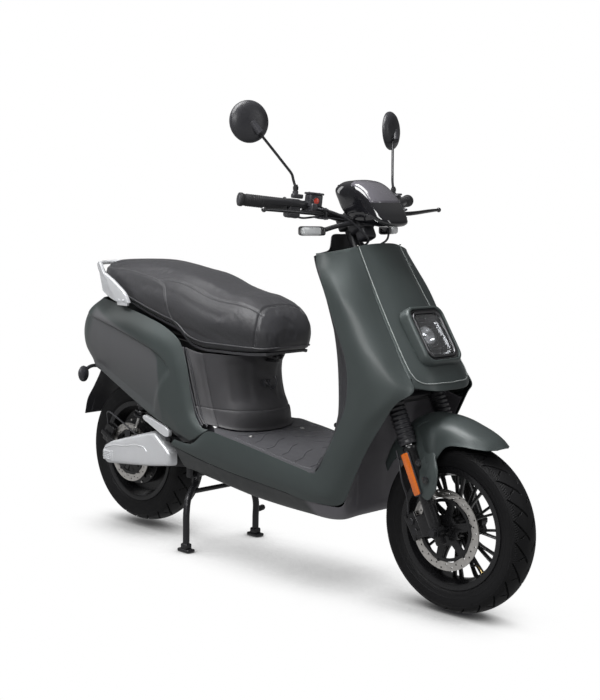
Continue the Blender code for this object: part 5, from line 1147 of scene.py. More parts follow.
# -------------------------------------------- inner leg shield and belly guard
leg_grid = patch(full_rows(LEGSHIELD_ROWS), 90, 70, relax=40)
u, v = grid_places(leg_grid, centred=True)
height = (-0.0020 * smoothstep(0.10, 0.12, u) * (1 - smoothstep(0.84, 0.86, u))
          * (1 - smoothstep(0.76, 0.79, v)))
piece("legshield_skin", shell(raised(leg_grid, height, (-1, 0, 0)), (-1, 0, 0)), BLACK,
      nodes="inner_legshield", sharp=28)
edge_path = [Vector(p) + Vector((0.0060, -0.0022, 0)) for p in leg_grid[3:88:3, -1]]
piece("legshield_edge_liners", tube_pair(edge_path, 0.0050, count=120, sides=12), SATIN)
SHIELD_SCREW = [(0.0, 0.0), (0.0030, 0.0002), (0.0036, 0.0010), (0.0062, 0.0012), (0.0068, 0.0),
                (0.0068, -0.004), (0.0, -0.004)]  # (radius, along)
piece("legshield_screws", [turned(SHIELD_SCREW, (x, side * 0.135, z), (-1, 0, 0), 24)
                           for x, z in ((0.2464, 0.900), (0.3174, 0.480)) for side in SIDES], STEEL)

# belly guard and the wall behind the front wheel
guard_grid = patch(full_rows(GUARD_ROWS), 150, 70, relax=20)
u, v = grid_places(guard_grid, centred=True)
height = (-0.0030 * smoothstep(0.67, 0.685, u) * (1 - smoothstep(0.93, 0.945, u))
          * (1 - smoothstep(0.52, 0.56, v)))
height += (0.0016 * bell(v, 0.50, 0.012) * (1 - smoothstep(0.50, 0.56, u))
           * smoothstep(0.02, 0.05, u))
piece("belly_guard_skin", shell(raised(guard_grid, height, (0, 0, -1)), (0, 0, -1)),
      GUARD_PLASTIC, nodes="underbody_guard", sharp=28)

# ----------------------------------------------------------------------- floor
FLOOR_OUTLINE = [(-0.1640, 0.120), (-0.150, 0.1600), (-0.120, 0.1860), (0.270, 0.1860),
                 (0.2800, 0.170), (0.2800, -0.170), (0.270, -0.1860), (-0.120, -0.1860),
                 (-0.150, -0.1600), (-0.1640, -0.120)]  # (x, y)
floor_tilt = math.atan(FLOOR_SLOPE)
floor_place = (Matrix.Translation((0, 0, FLOOR_Z0 - 0.003))
               @ Matrix.Rotation(-floor_tilt, 4, "Y"))
piece("floor_plate", outline_mesh([[(x / math.cos(floor_tilt), y) for x, y in FLOOR_OUTLINE]],
                                  0.005, floor_place, bevel=0.0006), MAT_FLOOR, nodes="floorboard")


def floor_rib(points, smooth=True):
    """A rib on the mat through (x, y) points."""
    return tube([floor_place @ Vector((x, y, 0.0025)) for x, y in points], 0.0019, sides=8,
                smooth=smooth)


ribs = []
for side in SIDES:
    for k in range(5):
        x = -0.050 + 0.058 * k
        ribs.append(floor_rib([(x, side * 0.022), (x + 0.012, side * 0.060),
                               (x + 0.050, side * 0.115), (x + 0.058, side * 0.150)], smooth=False))
    ribs.append(floor_rib([(-0.060, side * 0.165), (-0.020, side * 0.170), (0.225, side * 0.170),
                           (0.255, side * 0.158)], smooth=False))
ribs.append(floor_rib([(0.245, -0.140), (0.250, 0.140)]))
ribs.append(floor_rib([(-0.062, -0.150), (-0.052, 0.0), (-0.062, 0.150)]))
piece("floor_ribs", ribs, MAT_FLOOR)
FLOOR_SCREW = [(0.0, 0.0006), (0.0028, 0.0008), (0.0032, 0.0016), (0.0066, 0.0014), (0.0074, 0.0),
               (0.0074, -0.003), (0.0, -0.003)]
piece("floor_screws", [
    turned(FLOOR_SCREW, floor_place @ Vector((x, y, 0.0026)), floor_place.to_3x3() @ UP, 28)
    for x, y in ((0.235, 0.100), (0.235, -0.100), (-0.045, 0.110), (-0.045, -0.110))], BRIGHT)

# ------------------------------------------------------------------------ tail
# mudguard with its plate holder, the roof over the wheel, and the bar of the signals
mudguard = [shell(patch(full_rows(MUDGUARD_ROWS), 80, 40, relax=12), (-1, 0, 0)),
            shell(patch(full_rows(GUARD_ROOF), 40, 30, relax=6), (0, 0, 1)),
            tube(full_row([(-0.814, 0.060, 0.519), (-0.790, 0.140, 0.524),
                           (-0.786, 0.160, 0.516)]), 0.0060)]
mudguard += tube_pair([(-0.838, 0.052, 0.480), (-0.866, 0.056, 0.412), (-0.8790, 0.060, 0.360)],
                      0.0024, sides=10)
piece("rear_mudguard_skin", mudguard, BLACK, nodes="rear_mudguard", sharp=30)

SIGNAL_Z = 0.505
REAR_LENS = [(0.0, 0.0138), (0.008, 0.0128), (0.014, 0.0095), (0.0180, 0.003), (0.0185, 0.0)]
REAR_SIGNAL = [(0.0187, -0.0004), (0.0193, 0.0012), (0.0196, 0.0), (0.0190, -0.006),
               (0.0140, -0.0110), (0.0, -0.0135)]


def rear_signal(profile, side):
    """A round turning made taller, to an upright oval."""
    mesh = turned(profile, (-0.785, side * 0.168, SIGNAL_Z), (-1, 0, 0), 48)
    mesh.transform(Matrix.Translation((0, 0, SIGNAL_Z)) @ Matrix.Diagonal((1, 1, 1.36, 1))
                   @ Matrix.Translation((0, 0, -SIGNAL_Z)))
    return mesh


piece("rear_signal_lenses", [rear_signal(REAR_LENS, side) for side in SIDES], SMOKE)
piece("rear_signal_bodies", [rear_signal(REAR_SIGNAL, side) for side in SIDES], SATIN)

TAIL_LAMP_Z = 0.650
piece("tail_lamp_lens", block((-0.8770, 0, TAIL_LAMP_Z), (0.0110, 0.092, 0.066), bevel=0.0045,
                              segments=4), RED, nodes="tail_lamp")
LAMP_FRAME = ((0.046, 0.0), (0.046, 0.030), (0.040, 0.0335), (0, 0.0335), (-0.040, 0.0335),
              (-0.046, 0.030), (-0.046, 0), (-0.046, -0.030), (-0.040, -0.0335), (0, -0.0335),
              (0.040, -0.0335), (0.046, -0.030))  # (y, z)
LAMP_FRAME_STEPS = ((-0.8690, 1.07), (-0.8745, 1.07), (-0.8752, 1.04), (-0.8745, 1.012),
                    (-0.8700, 1.010))  # (x, scale of the outline)
piece("tail_lamp_frame", loft([[(x, y * scale, TAIL_LAMP_Z + z * scale) for y, z in LAMP_FRAME]
                               for x, scale in LAMP_FRAME_STEPS], cap=False), SATIN, sharp=60)

# ------------------------------------------------------------------- headlight
bucket = lamp_loft([(0.040, 0.048, 0.018, -0.075), (0.058, 0.068, 0.020, -0.030),
                    (0.0650, 0.0750, 0.0228, -0.016), (0.0650, 0.0750, 0.0228, 0.0045),
                    (0.0642, 0.0742, 0.0225, 0.0058), (0.0600, 0.0700, 0.0208, 0.0045),
                    (0.0590, 0.0690, 0.0205, -0.0030), (0.0565, 0.0665, 0.0200, -0.0036),
                    (0.0480, 0.0580, 0.016, -0.045)])
piece("headlight_bucket", bucket, GLOSS, nodes="headlight_housing", sharp=50)
bezel = lamp_loft([(0.0588, 0.0688, 0.0205, -0.002), (0.0588, 0.0688, 0.0205, 0.0075),
                   (0.0574, 0.0674, 0.0200, 0.0092), (0.0545, 0.0645, 0.0190, 0.0094),
                   (0.0528, 0.0628, 0.0185, 0.0078), (0.0524, 0.0624, 0.0184, -0.002)], cap=False)
piece("headlight_bezel", bezel, GREY_ALLOY, sharp=60, slot="bright_steel")
pane = lamp_loft([(0.0508, 0.0608, 0.018, 0.0005), (0.0508, 0.0608, 0.018, 0.0040),
                  (0.0500, 0.0600, 0.0178, 0.0052), (0.0440, 0.0540, 0.0150, 0.0064),
                  (0.030, 0.040, 0.010, 0.0069)])
piece("headlight_lens_pane", pane, GLASS, nodes="headlight_lens", sharp=40)
piece("headlight_reflector", [
    lamp_loft([(0.0505, 0.0605, 0.0178, -0.0012), (0.0440, 0.0540, 0.014, -0.016),
               (0.030, 0.038, 0.010, -0.026)], cap=False),
    lamp_loft([(0.030, 0.038, 0.010, -0.0262), (0.029, 0.037, 0.010, -0.0275)])], GLOSS, sharp=40)
# bowl, bulb and ring of the projector, a little right of the middle
PROJECTOR = dict(across=-0.012, rise=0.004)
piece("headlight_projector", [
    turned([(0.0245, 0.0), (0.0230, -0.001), (0.0185, -0.0085), (0.0110, -0.0125),
            (0.0, -0.0140)], lamp_point(-0.010, **PROJECTOR), LAMP_AHEAD, 64),
    ball(lamp_point(-0.014, **PROJECTOR), (0.0055, 0.0055, 0.0055)),
    turned([(0.0245, 0.0), (0.0265, 0.0), (0.0268, -0.003), (0.0245, -0.004)],
           lamp_point(-0.0095, **PROJECTOR), LAMP_AHEAD, 64)], CHROME, sharp=50)
lamp_turn = Matrix((LAMP_AHEAD, LEFT, LAMP_UP)).transposed()
BLADES = ((0.004, -0.031, 0.070, 0.0), (0.026, -0.014, 0.042, 0.62),
          (0.010, 0.036, 0.060, -0.20))  # across, rise, width, roll
piece("headlight_blades", [
    block(lamp_point(-0.012, across, rise), (0.010, width, 0.0022),
          lamp_turn @ Matrix.Rotation(roll, 3, "X"), bevel=0.0006)
    for across, rise, width, roll in BLADES], GREY_ALLOY)

# ------------------------------------------------------------------- grab rail
RAIL_Y = 0.163
BLADE_OUTLINE = [(-0.552, 0.7560), (-0.612, 0.7560), (-0.672, 0.7800), (-0.735, 0.8360),
                 (-0.778, 0.8640), (-0.765, 0.8740), (-0.705, 0.8560), (-0.620, 0.8180),
                 (-0.560, 0.7720)]  # (x, z)
BLADE_STEPS = ((-0.0062, 0.86), (-0.0060, 0.93), (-0.0045, 0.985), (0.0, 1.0), (0.0045, 0.985),
               (0.0060, 0.93), (0.0062, 0.86))  # (y, scale of the section)
blade_curve = closed_curve(BLADE_OUTLINE, 120)


def grab_blade(side):
    """A side blade, leaning inwards at its rear end."""
    middle_x = blade_curve.mean(0)[0]
    rings = []
    for y, scale in BLADE_STEPS:
        ring = []
        for p in blade_curve:
            # shrink towards the blade's own spine, not its centre, so the ends stay full
            spine_z = np.interp(-p[0], [0.552, 0.612, 0.700, 0.778], [0.760, 0.788, 0.833, 0.868])
            x = p[0] + (middle_x - p[0]) * (1 - scale) * 0.06
            z = spine_z + (p[1] - spine_z) * scale
            lean = min(1.0, max(0.0, (-0.680 - x) / 0.098))
            ring.append((x, side * (RAIL_Y + y - 0.054 * lean), z))
        rings.append(ring)
    return loft(rings)


for side, word in LEFT_RIGHT:
    piece("grab_blade_" + word, grab_blade(side), SILVER, nodes="grab_rail" if side > 0 else (),
          sharp=45)
piece("grab_loop", tube(full_row([(-0.832, 0, 0.867), (-0.826, 0.045, 0.867),
                                  (-0.802, 0.086, 0.866), (-0.776, 0.108, 0.8655),
                                  (-0.748, 0.122, 0.8640)]), 0.0068, sides=24), SILVER)
rail_feet = [block((-0.583, side * RAIL_Y, 0.7515), (0.050, 0.010, 0.012), bevel=0.0015)
             for side in SIDES]
rail_feet += [turned([(0.0, 0.0030), (0.0035, 0.0026), (0.0042, 0.0), (0.0, -0.0005)],
                     (x, side * (RAIL_Y + 0.0062), 0.763), (0, side, 0), 6)
              for side in SIDES for x in (-0.575, -0.597)]
piece("grab_rail_feet", rail_feet, SILVER)

# ----------------------------------------------------------------------- tyres
PITCHES = 24  # tread pattern repeats round a tyre


def tyre(end, centre, outer, half_width, bead_half):
    """A tyre with a grooved tread, a ribbed side and a bead, as one closed ring."""
    scale = (outer - BEAD_R) / 0.080
    half = [(BEAD_R + 0.0005, bead_half - 0.004), (BEAD_R + 0.0040 * scale, bead_half),
            (FLANGE_R - 0.0005, bead_half + 0.0028), (FLANGE_R + 0.004, bead_half + 0.0052)]
    # (height over the bead before scaling, y)
    half += [(BEAD_R + height * scale, y) for height, y in (
        (0.026, half_width - 0.0045), (0.038, half_width - 0.0010), (0.049, half_width),
        (0.058, half_width - 0.0022), (0.0655, half_width * 0.860), (0.0715, half_width * 0.680),
        (0.0760, half_width * 0.470), (0.0790, half_width * 0.240))]
    m, n = 150, 1080
    prof = [(r, -y) for r, y in half] + [(outer, 0.0)] + half[::-1]
    prof = catmull([(r, y, 0.0) for r, y in prof], m)[:, :2]
    normal = np.gradient(prof, axis=0)
    normal = np.stack([normal[:, 1], -normal[:, 0]], 1)
    normal /= np.linalg.norm(normal, axis=1, keepdims=True)
    theta = np.linspace(0, 2 * math.pi, n, endpoint=False)[:, None]
    radius, across = prof[None, :, 0], prof[None, :, 1]
    pitch = 2 * math.pi / PITCHES
    depth = np.zeros((n, m))

    def groove(side, line, width, soft, stretch, deep):
        """Depth of grooves along a line of angles, one in each pitch of one side."""
        shift = 0.5 * pitch if side > 0 else 0
        off = ((theta - line + shift) / pitch + 0.5) % 1.0 - 0.5
        distance = np.abs(off) * pitch * outer * stretch
        inside = 1 - smoothstep(width - soft, width + soft, distance)
        return deep * inside * (width > 0.0004) * (side * across > 0)

    for side in (-1, 1):
        q = np.clip(side * across / half_width, 0, 1)
        # long sweeping grooves
        width = (0.0026 * (1.15 - 0.5 * q) * (1 - smoothstep(0.86, 0.97, q))
                 * smoothstep(0.06, 0.13, q))
        depth += groove(side, pitch * (0.95 * q ** 0.8 + 0.25 * q ** 3), width, soft=0.0006,
                        stretch=0.80, deep=0.0042)
        # short counter cuts between them
        width = 0.0018 * smoothstep(0.30, 0.38, q) * (1 - smoothstep(0.66, 0.74, q))
        depth += groove(side, pitch * (0.42 - 0.55 * (q - 0.42)), width, soft=0.0005,
                        stretch=0.86, deep=0.0034)
        # fine shoulder ribs
        fine = 0.5 + 0.5 * np.cos(theta * PITCHES * 9 + q * 30)
        depth += (0.0009 * smoothstep(0.5, 0.9, fine) * smoothstep(0.74, 0.78, q)
                  * (1 - smoothstep(0.90, 0.94, q)))
    tread = smoothstep(BEAD_R + 0.0585 * scale, BEAD_R + 0.0620 * scale, radius)
    depth = np.minimum(depth, 0.0044) * tread
    # raised rings and a rim guard on the side: radius, width, height
    for ring_r, width, height in (
            (FLANGE_R + 0.0075, 0.0011, 0.0010), (FLANGE_R + 0.0105, 0.0009, 0.0007),
            (BEAD_R + 0.034 * scale, 0.0009, 0.0006), (BEAD_R + 0.0555 * scale, 0.0010, 0.0008)):
        depth -= height * bell(radius, ring_r, width)
    outward = np.sign(normal[m // 2, 0])
    new_radius = radius - depth * normal[None, :, 0] * outward
    new_y = across - depth * normal[None, :, 1] * outward
    grid = np.stack([centre[0] + new_radius * np.cos(theta), centre[1] + new_y,
                     centre[2] + new_radius * np.sin(theta)], -1)
    piece(end + "_tyre_rubber", fix_normals(grid_mesh(grid, wrap_u=True, wrap_v=True)), TREAD,
          end + "_wheel", end + "_tyre", 30)


FRONT_RIM_HALF, REAR_RIM_HALF = 0.0355, 0.0455
tyre("front", FRONT_AXLE, FRONT_TYRE_R, FRONT_TYRE_HALF_W, FRONT_RIM_HALF - 0.0005)
tyre("rear", REAR_AXLE, REAR_TYRE_R, REAR_TYRE_HALF_W, REAR_RIM_HALF - 0.0005)


# ----------------------------------------------------------------- front wheel
def radial(angle):
    """A unit vector in the wheel's plane."""
    return Vector((math.cos(angle), 0, math.sin(angle)))


def radial_turn(angle):
    out = radial(angle)
    return Matrix((out, LEFT, out.cross(LEFT))).transposed()


def rim(half, centre):
    return turned(mirror_profile([
        (0.1400, -0.012), (0.1420, -0.018), (0.1490, -half + 0.004), (0.1500, -half - 0.0030),
        (0.1610, -half - 0.0058), (0.1655, -half - 0.0052), (0.1662, -half - 0.0036),
        (0.1650, -half - 0.0016), (0.1560, -half - 0.0004), (0.1538, -half + 0.0012),
        (0.1532, -0.012), (0.1500, -0.008)]), centre, steps=144)


def split_spoke(angle, branch):
    """One of the two close bars of a spoke, spreading towards the rim."""
    out, across = radial(angle), radial(angle + math.pi / 2)
    path = []
    for t in np.linspace(0, 1, 9):
        spread = 0.0030 + 0.0085 * smoothstep(0.30, 1.0, t)
        path.append(FRONT_AXLE + out * (0.0300 + t * 0.1130) + across * branch * spread
                    + LEFT * (0.004 - 0.010 * math.sin(math.pi * t) * 0.4))
    return tube(path, [0.0060, 0.0044, 0.0036, 0.0036, 0.0042], sides=14, flat=((0, 1, 0), 2.3))


HUB = [(0.0080, -0.0545), (0.0290, -0.0545), (0.0300, -0.0530), (0.0300, -0.0440),
       (0.0330, -0.0400), (0.0345, -0.0280), (0.0345, 0.0280), (0.0320, 0.0400),
       (0.0270, 0.0455), (0.0180, 0.0462), (0.0080, 0.0462)]
SPOKES = 12
rim_parts = [rim(FRONT_RIM_HALF, FRONT_AXLE), turned(HUB, FRONT_AXLE, steps=72)]
for k in range(SPOKES):
    angle = 2 * math.pi * k / SPOKES + math.radians(1.0)
    rim_parts += [split_spoke(angle, branch) for branch in (-1, 1)]
    rim_parts.append(block(FRONT_AXLE + radial(angle) * 0.058, (0.062, 0.0075, 0.0085),
                           radial_turn(angle), 0.002))
piece("front_rim_cast", rim_parts, BLACK_ALLOY, "front_wheel", "front_rim", 40)

valve_at = FRONT_AXLE + radial(-0.93) * 0.1400
valve_dir = (FRONT_AXLE - valve_at).normalized()


def on_valve(rise, y):
    return valve_at + valve_dir * rise + LEFT * y


piece("front_valve_stem", [
    rod(valve_at, on_valve(0.012, 0), 0.0038, 0.0028, bevel=0.0004),
    tube([on_valve(0.010, 0), on_valve(0.020, -0.004), on_valve(0.026, -0.014)], 0.0022)],
    BRASS, "front_wheel")
piece("front_valve_cap", rod(on_valve(0.0262, -0.0135), on_valve(0.0285, -0.0225), 0.0034,
                             bevel=0.0008), SATIN, "front_wheel")


# ----------------------------------------------------------------- brake discs
CARRIER_BOLT = [(0.0, 0.0042), (0.0026, 0.0040), (0.0028, 0.0026), (0.0030, 0.0040),
                (0.0046, 0.0040), (0.0050, 0.0030), (0.0050, -0.001), (0.0, -0.001)]
CARRIER_RIVET = mirror_profile([(0.0, 0.0034), (0.0030, 0.0034), (0.0042, 0.0028)])


def polar(radius, angle):
    return radius * math.cos(angle), radius * math.sin(angle)


def disc_ring(outer, inner, rows, plane):
    """The brake ring: drilled in slanting rows, with a scalloped inner edge."""
    holes = []
    for k in range(rows):
        for turn, depth in ((-0.25, 0.24), (0.25, 0.60)):
            share = depth if k % 2 == 0 else depth + 0.13
            place = polar(inner + (outer - inner) * share, 2 * math.pi * (k + turn) / rows)
            holes.append(circle(*place, 0.0024, 14))
    angles = [2 * math.pi * k / 360 for k in range(360)]
    edge = [polar(inner + 0.0012 * math.cos(10 * a), a) for a in angles]
    return outline_mesh([circle(0, 0, outer, 240), edge] + holes, 0.0036, plane, bevel=0.0003)


def disc_carrier(middle, inner, arms):
    """The dark spider that holds the brake ring, with its bolts and rivets."""
    phase = 0.3
    angles = [2 * math.pi * k / 240 for k in range(240)]
    loops = [[polar(inner - 0.0015 + 0.0045 * max(0.0, math.cos(arms * (a - phase))) ** 6, a)
              for a in angles], circle(0, 0, 0.0135, 40)]
    span = math.pi / arms * 0.74
    for k in range(arms):
        a = phase + 2 * math.pi * (k + 0.5) / arms
        window = [polar(inner - 0.0105, a + t) for t in np.linspace(-span, span, 12)]
        window += [polar(0.0420, a + t) for t in np.linspace(span * 0.62, -span * 0.62, 8)]
        loops.append(window)
    meshes = [outline_mesh(loops, 0.0046, side_plane(middle), bevel=0.0006)]
    for k in range(arms):
        out = radial(phase + 2 * math.pi * k / arms)
        meshes.append(turned(CARRIER_BOLT, middle + out * 0.0275 - LEFT * 0.0024, (0, -1, 0), 24))
        meshes.append(turned(CARRIER_RIVET, middle + out * (inner + 0.0002), (0, -1, 0), 24))
    return meshes


def brake_disc(end, centre, y, outer, inner, rows, arms):
    middle = centre + LEFT * y
    piece(end + "_disc_ring", disc_ring(outer, inner, rows, side_plane(middle)), DISC_FACE,
          end + "_wheel", end + "_disc", 30)
    piece(end + "_disc_carrier", disc_carrier(middle, inner, arms), BLACK_ALLOY, end + "_wheel",
          sharp=30)


brake_disc("front", FRONT_AXLE, y=-0.057, outer=0.110, inner=0.0865, rows=18, arms=6)
brake_disc("rear", REAR_AXLE, y=-0.080, outer=0.097, inner=0.0745, rows=16, arms=5)

# ------------------------------------------------------------------- hub motor
MOTOR = mirror_profile([
    (0.0095, -0.0620), (0.0280, -0.0622), (0.0430, -0.0620), (0.0455, -0.0605),
    (0.0470, -0.0600), (0.0700, -0.0560), (0.0960, -0.0522), (0.1000, -0.0505),
    (0.1085, -0.0500), (0.1100, -0.0485), (0.1104, -0.0400)])
MOTOR_WEB = mirror_profile([(0.1070, -0.0060), (0.1200, -0.0052), (0.1340, -0.0056),
                            (0.1440, -0.0090)])
DISC_BOSS = [(0.0095, -0.0778), (0.0285, -0.0778), (0.0300, -0.0765), (0.0300, -0.0600),
             (0.0095, -0.0600)]
motor = [turned(MOTOR, REAR_AXLE, steps=128), rim(REAR_RIM_HALF, REAR_AXLE),
         turned(MOTOR_WEB, REAR_AXLE, steps=128), turned(DISC_BOSS, REAR_AXLE, steps=72)]
screws = []
for side in (-1, 1):
    for k in range(12):
        angle = 2 * math.pi * k / 12
        motor.append(block(REAR_AXLE + radial(angle) * 0.074 + LEFT * (side * 0.0552),
                           (0.044, 0.0046, 0.0040), radial_turn(angle), 0.0010))
        between = radial(2 * math.pi * (k + 0.5) / 12)
        screws.append(turned([(0.0, 0.0038), (0.0034, 0.0036), (0.0040, 0.0028),
                              (0.0040, -0.001), (0.0, -0.001)],
                             REAR_AXLE + between * 0.1043 + LEFT * (side * 0.0498),
                             (0, side, 0), 20))
piece("hub_motor_cast", motor, BLACK_ALLOY, "rear_wheel", "hub_motor", 34)
piece("hub_motor_screws", screws, BRIGHT, "rear_wheel")

# -------------------------------------------------------------------- swingarm
# x, z, y, half height, half thickness of one arm, from the pivot to the axle
ARM_STATIONS = np.array([
    (-0.340, 0.270, 0.072, 0.022, 0.012), (-0.385, 0.270, 0.090, 0.024, 0.011),
    (-0.430, 0.268, 0.117, 0.024, 0.009), (-0.560, 0.262, 0.125, 0.023, 0.008),
    (-0.640, 0.253, 0.125, 0.024, 0.008), (-0.682, 0.250, 0.125, 0.016, 0.008)])


def squared(value):
    """A sine or cosine pushed outwards, so that a circle turns into a rounded square."""
    return math.copysign(abs(value) ** 0.35, value)


def swing_arm(side):
    path = np.linspace(0, 1, 40)
    stations = np.stack([np.interp(path, np.linspace(0, 1, 6), column)
                         for column in ARM_STATIONS.T], 1)
    angles = [2 * math.pi * k / 28 for k in range(28)]
    return loft([[(x, side * (y + thick * squared(math.cos(a))), z + high * squared(math.sin(a)))
                  for a in angles] for x, z, y, high, thick in stations])


arm_parts = [cross_rod(SWING_PIVOT, -0.0860, 0.0860, 0.0175, segments=40, bevel=0.001)]
for side in SIDES:
    arm_parts += [swing_arm(side),
                  block((SHOCK_LOW.x, side * 0.1265, 0.300), (0.026, 0.008, 0.070), bevel=0.002),
                  cross_rod(SHOCK_LOW, side * 0.0875, side * 0.130, 0.0055, bevel=0.0006)]
arm_parts += [cross_rod((x, 0, 0.268), -0.120, -0.1480, 0.005, segments=20)
              for x in (-0.480, -0.580)]
piece("swingarm_tubes", arm_parts, STEEL, "swing", "swingarm", 40)

axle_parts = [cross_rod(REAR_AXLE, -0.140, 0.140, 0.0085, bevel=0.0006)]
axle_parts += [turned([(0.0086, 0.0), (0.0158, 0.0), (0.0158, 0.0020), (0.0086, 0.0020)],
                      REAR_AXLE + LEFT * (side * 0.1335), (0, side, 0), 40) for side in SIDES]
axle_parts += [cross_rod(REAR_AXLE, side * 0.1355, side * 0.1465, 0.0136, segments=6,
                         bevel=0.0008) for side in SIDES]
piece("rear_axle_bolt", axle_parts, BRIGHT, "swing", "rear_axle", 30)

# silver cover over the right arm: a stepped shell, a ridge and a slatted block at the rear
COVER_OUTLINE = [(-0.681, 0.240), (-0.681, 0.264), (-0.671, 0.282), (-0.639, 0.300),
                 (-0.537, 0.330), (-0.440, 0.358), (-0.423, 0.360), (-0.346, 0.304),
                 (-0.346, 0.262), (-0.437, 0.247), (-0.536, 0.236), (-0.665, 0.223)]  # (x, z)
COVER_STEPS = ((-0.1375, 0.045), (-0.1372, -0.015), (-0.1376, -0.02), (-0.1480, -0.010),
               (-0.1560, 0.0), (-0.1605, 0.012), (-0.1650, 0.035), (-0.1680, 0.065),
               (-0.1696, 0.090), (-0.1704, 0.13), (-0.1708, 0.30), (-0.1710, 0.62))  # y, shrink


def cover_loop(y, shrink):
    middle_x = sum(x for x, _ in COVER_OUTLINE) / len(COVER_OUTLINE)
    middle_z = sum(z for _, z in COVER_OUTLINE) / len(COVER_OUTLINE)
    return [(middle_x + (x - middle_x) * (1 - shrink * 0.55), y,
             middle_z + (z - middle_z) * (1 - shrink * 1.6))
            for x, z in round_outline(COVER_OUTLINE, 0.010)]


piece("swing_cover_shell", loft([cover_loop(*step) for step in COVER_STEPS]), SILVER, "swing",
      "swingarm_cover", 40)
RIDGE = [(-0.664, 0.276), (-0.632, 0.286), (-0.560, 0.296), (-0.492, 0.306), (-0.470, 0.304),
         (-0.452, 0.292)]  # (x, z)
piece("swing_cover_ridge", tube([(x, -0.1702, z) for x, z in RIDGE], 0.0019, sides=10), SILVER,
      "swing")
vents = [block((-0.6480, -0.1690, 0.2530), (0.050, 0.0056, 0.034), bevel=0.0016)]
vents += [block((-0.6540, -0.1718, 0.2410 + 0.0058 * k), (0.036, 0.0030, 0.0030), bevel=0.0008)
          for k in range(5)]
piece("swing_cover_vents", vents, SILVER, "swing")


# rear caliper with its bracket, hose and the motor cable
def by_rear_axle(x, y, z):
    return REAR_AXLE + Vector((x, y, z))


rear_turn = pitched(0.47)
rear_caliper = [block(by_rear_axle(-0.098, -0.080 + side * 0.0098, 0.050),
                      (0.040, 0.0105, 0.062), rear_turn, 0.0025) for side in SIDES]
rear_caliper += [
    block(by_rear_axle(-0.1150, -0.080, 0.0590), (0.0080, 0.028, 0.050), rear_turn, 0.002),
    block(by_rear_axle(-0.085, -0.102, 0.040), (0.075, 0.014, 0.014), rear_turn, 0.003),
    block(by_rear_axle(-0.060, -0.1085, 0.030), (0.050, 0.0140, 0.020), rear_turn, 0.003),
    cross_rod(by_rear_axle(-0.098, 0, 0.050), -0.088, -0.0985, 0.0125, segments=36, bevel=0.0015),
    cross_rod(by_rear_axle(-0.0780, 0, 0.0360), -0.106, -0.1125, 0.0052, segments=6,
              bevel=0.0006)]
piece("rear_caliper_body", rear_caliper, BLACK_ALLOY, "swing", "rear_caliper", 40)
piece("rear_brake_hose", tube([
    by_rear_axle(-0.098, -0.094, 0.084), by_rear_axle(-0.080, -0.112, 0.125),
    (-0.640, -0.126, 0.362), (-0.560, -0.128, 0.330), (-0.470, -0.126, 0.302),
    (-0.400, -0.112, 0.296)], 0.0027, sides=12), SATIN, "swing")
piece("motor_phase_cable", tube([
    by_rear_axle(0, 0.136, 0.002), by_rear_axle(0.010, 0.146, -0.010),
    by_rear_axle(0.050, 0.142, -0.016), (-0.480, 0.136, 0.252), (-0.400, 0.110, 0.262)],
    0.0042, sides=14), SATIN, "swing")

# ---------------------------------------------------------------------- shocks
SHOCK_TUBE = [(0.0, 0.012), (0.0075, 0.012), (0.0100, 0.018), (0.0200, 0.0200), (0.0204, 0.0230),
              (0.0145, 0.0240), (0.0145, 0.0800), (0.0125, 0.0850), (0.0122, 0.1740),
              (0.0200, 0.1760), (0.0204, 0.1800), (0.0195, 0.1830), (0.0110, 0.1850),
              (0.0056, 0.1850), (0.0056, 0.1840)]  # (radius, distance below the upper eye)
TOP_EYE = mirror_profile([(0.0064, -0.010), (0.0120, -0.010), (0.0128, -0.0088)])
LOW_EYE = mirror_profile([(0.0068, -0.009), (0.0124, -0.009), (0.0130, -0.0080)])
COIL_TURNS, COIL_STEPS = 7, 22


def shock(side, word):
    """A damper tube with its coil spring, and the rod that slides in it."""
    top, low = SHOCK_TOP + LEFT * (side * SHOCK_Y), SHOCK_LOW + LEFT * (side * SHOCK_Y)
    length = (low - top).length
    down = (SHOCK_LOW - SHOCK_TOP).normalized()
    across = down.cross(LEFT).normalized()
    body = "shock_body_" + word[0]
    piece("shock_tube_" + word, [turned(TOP_EYE, top, steps=40), turned(SHOCK_TUBE, top, down, 48)],
          STEEL, body, "shock_body_" + word)
    coil = []
    for k in range(COIL_TURNS * COIL_STEPS + 1):
        t = k / (COIL_TURNS * COIL_STEPS)
        a = 2 * math.pi * COIL_TURNS * t
        coil.append(top + down * (0.0255 + 0.148 * t)
                    + (LEFT * math.cos(a) + across * math.sin(a)) * 0.0170)
    piece("shock_coil_" + word, tube(coil, 0.0031, sides=10, smooth=False), GREY_ALLOY, body,
          slot="bright_steel")
    piece("shock_piston_" + word, [
        rod(top + down * 0.135, top + down * (length - 0.008), 0.0050, segments=24),
        turned(LOW_EYE, low, steps=40),
        rod(top + down * (length - 0.024), top + down * (length - 0.009), 0.0100, bevel=0.001)],
        BRIGHT, "shock_rod_" + word[0], "shock_rod_" + word)


for side, word in RIGHT_LEFT:
    shock(side, word)

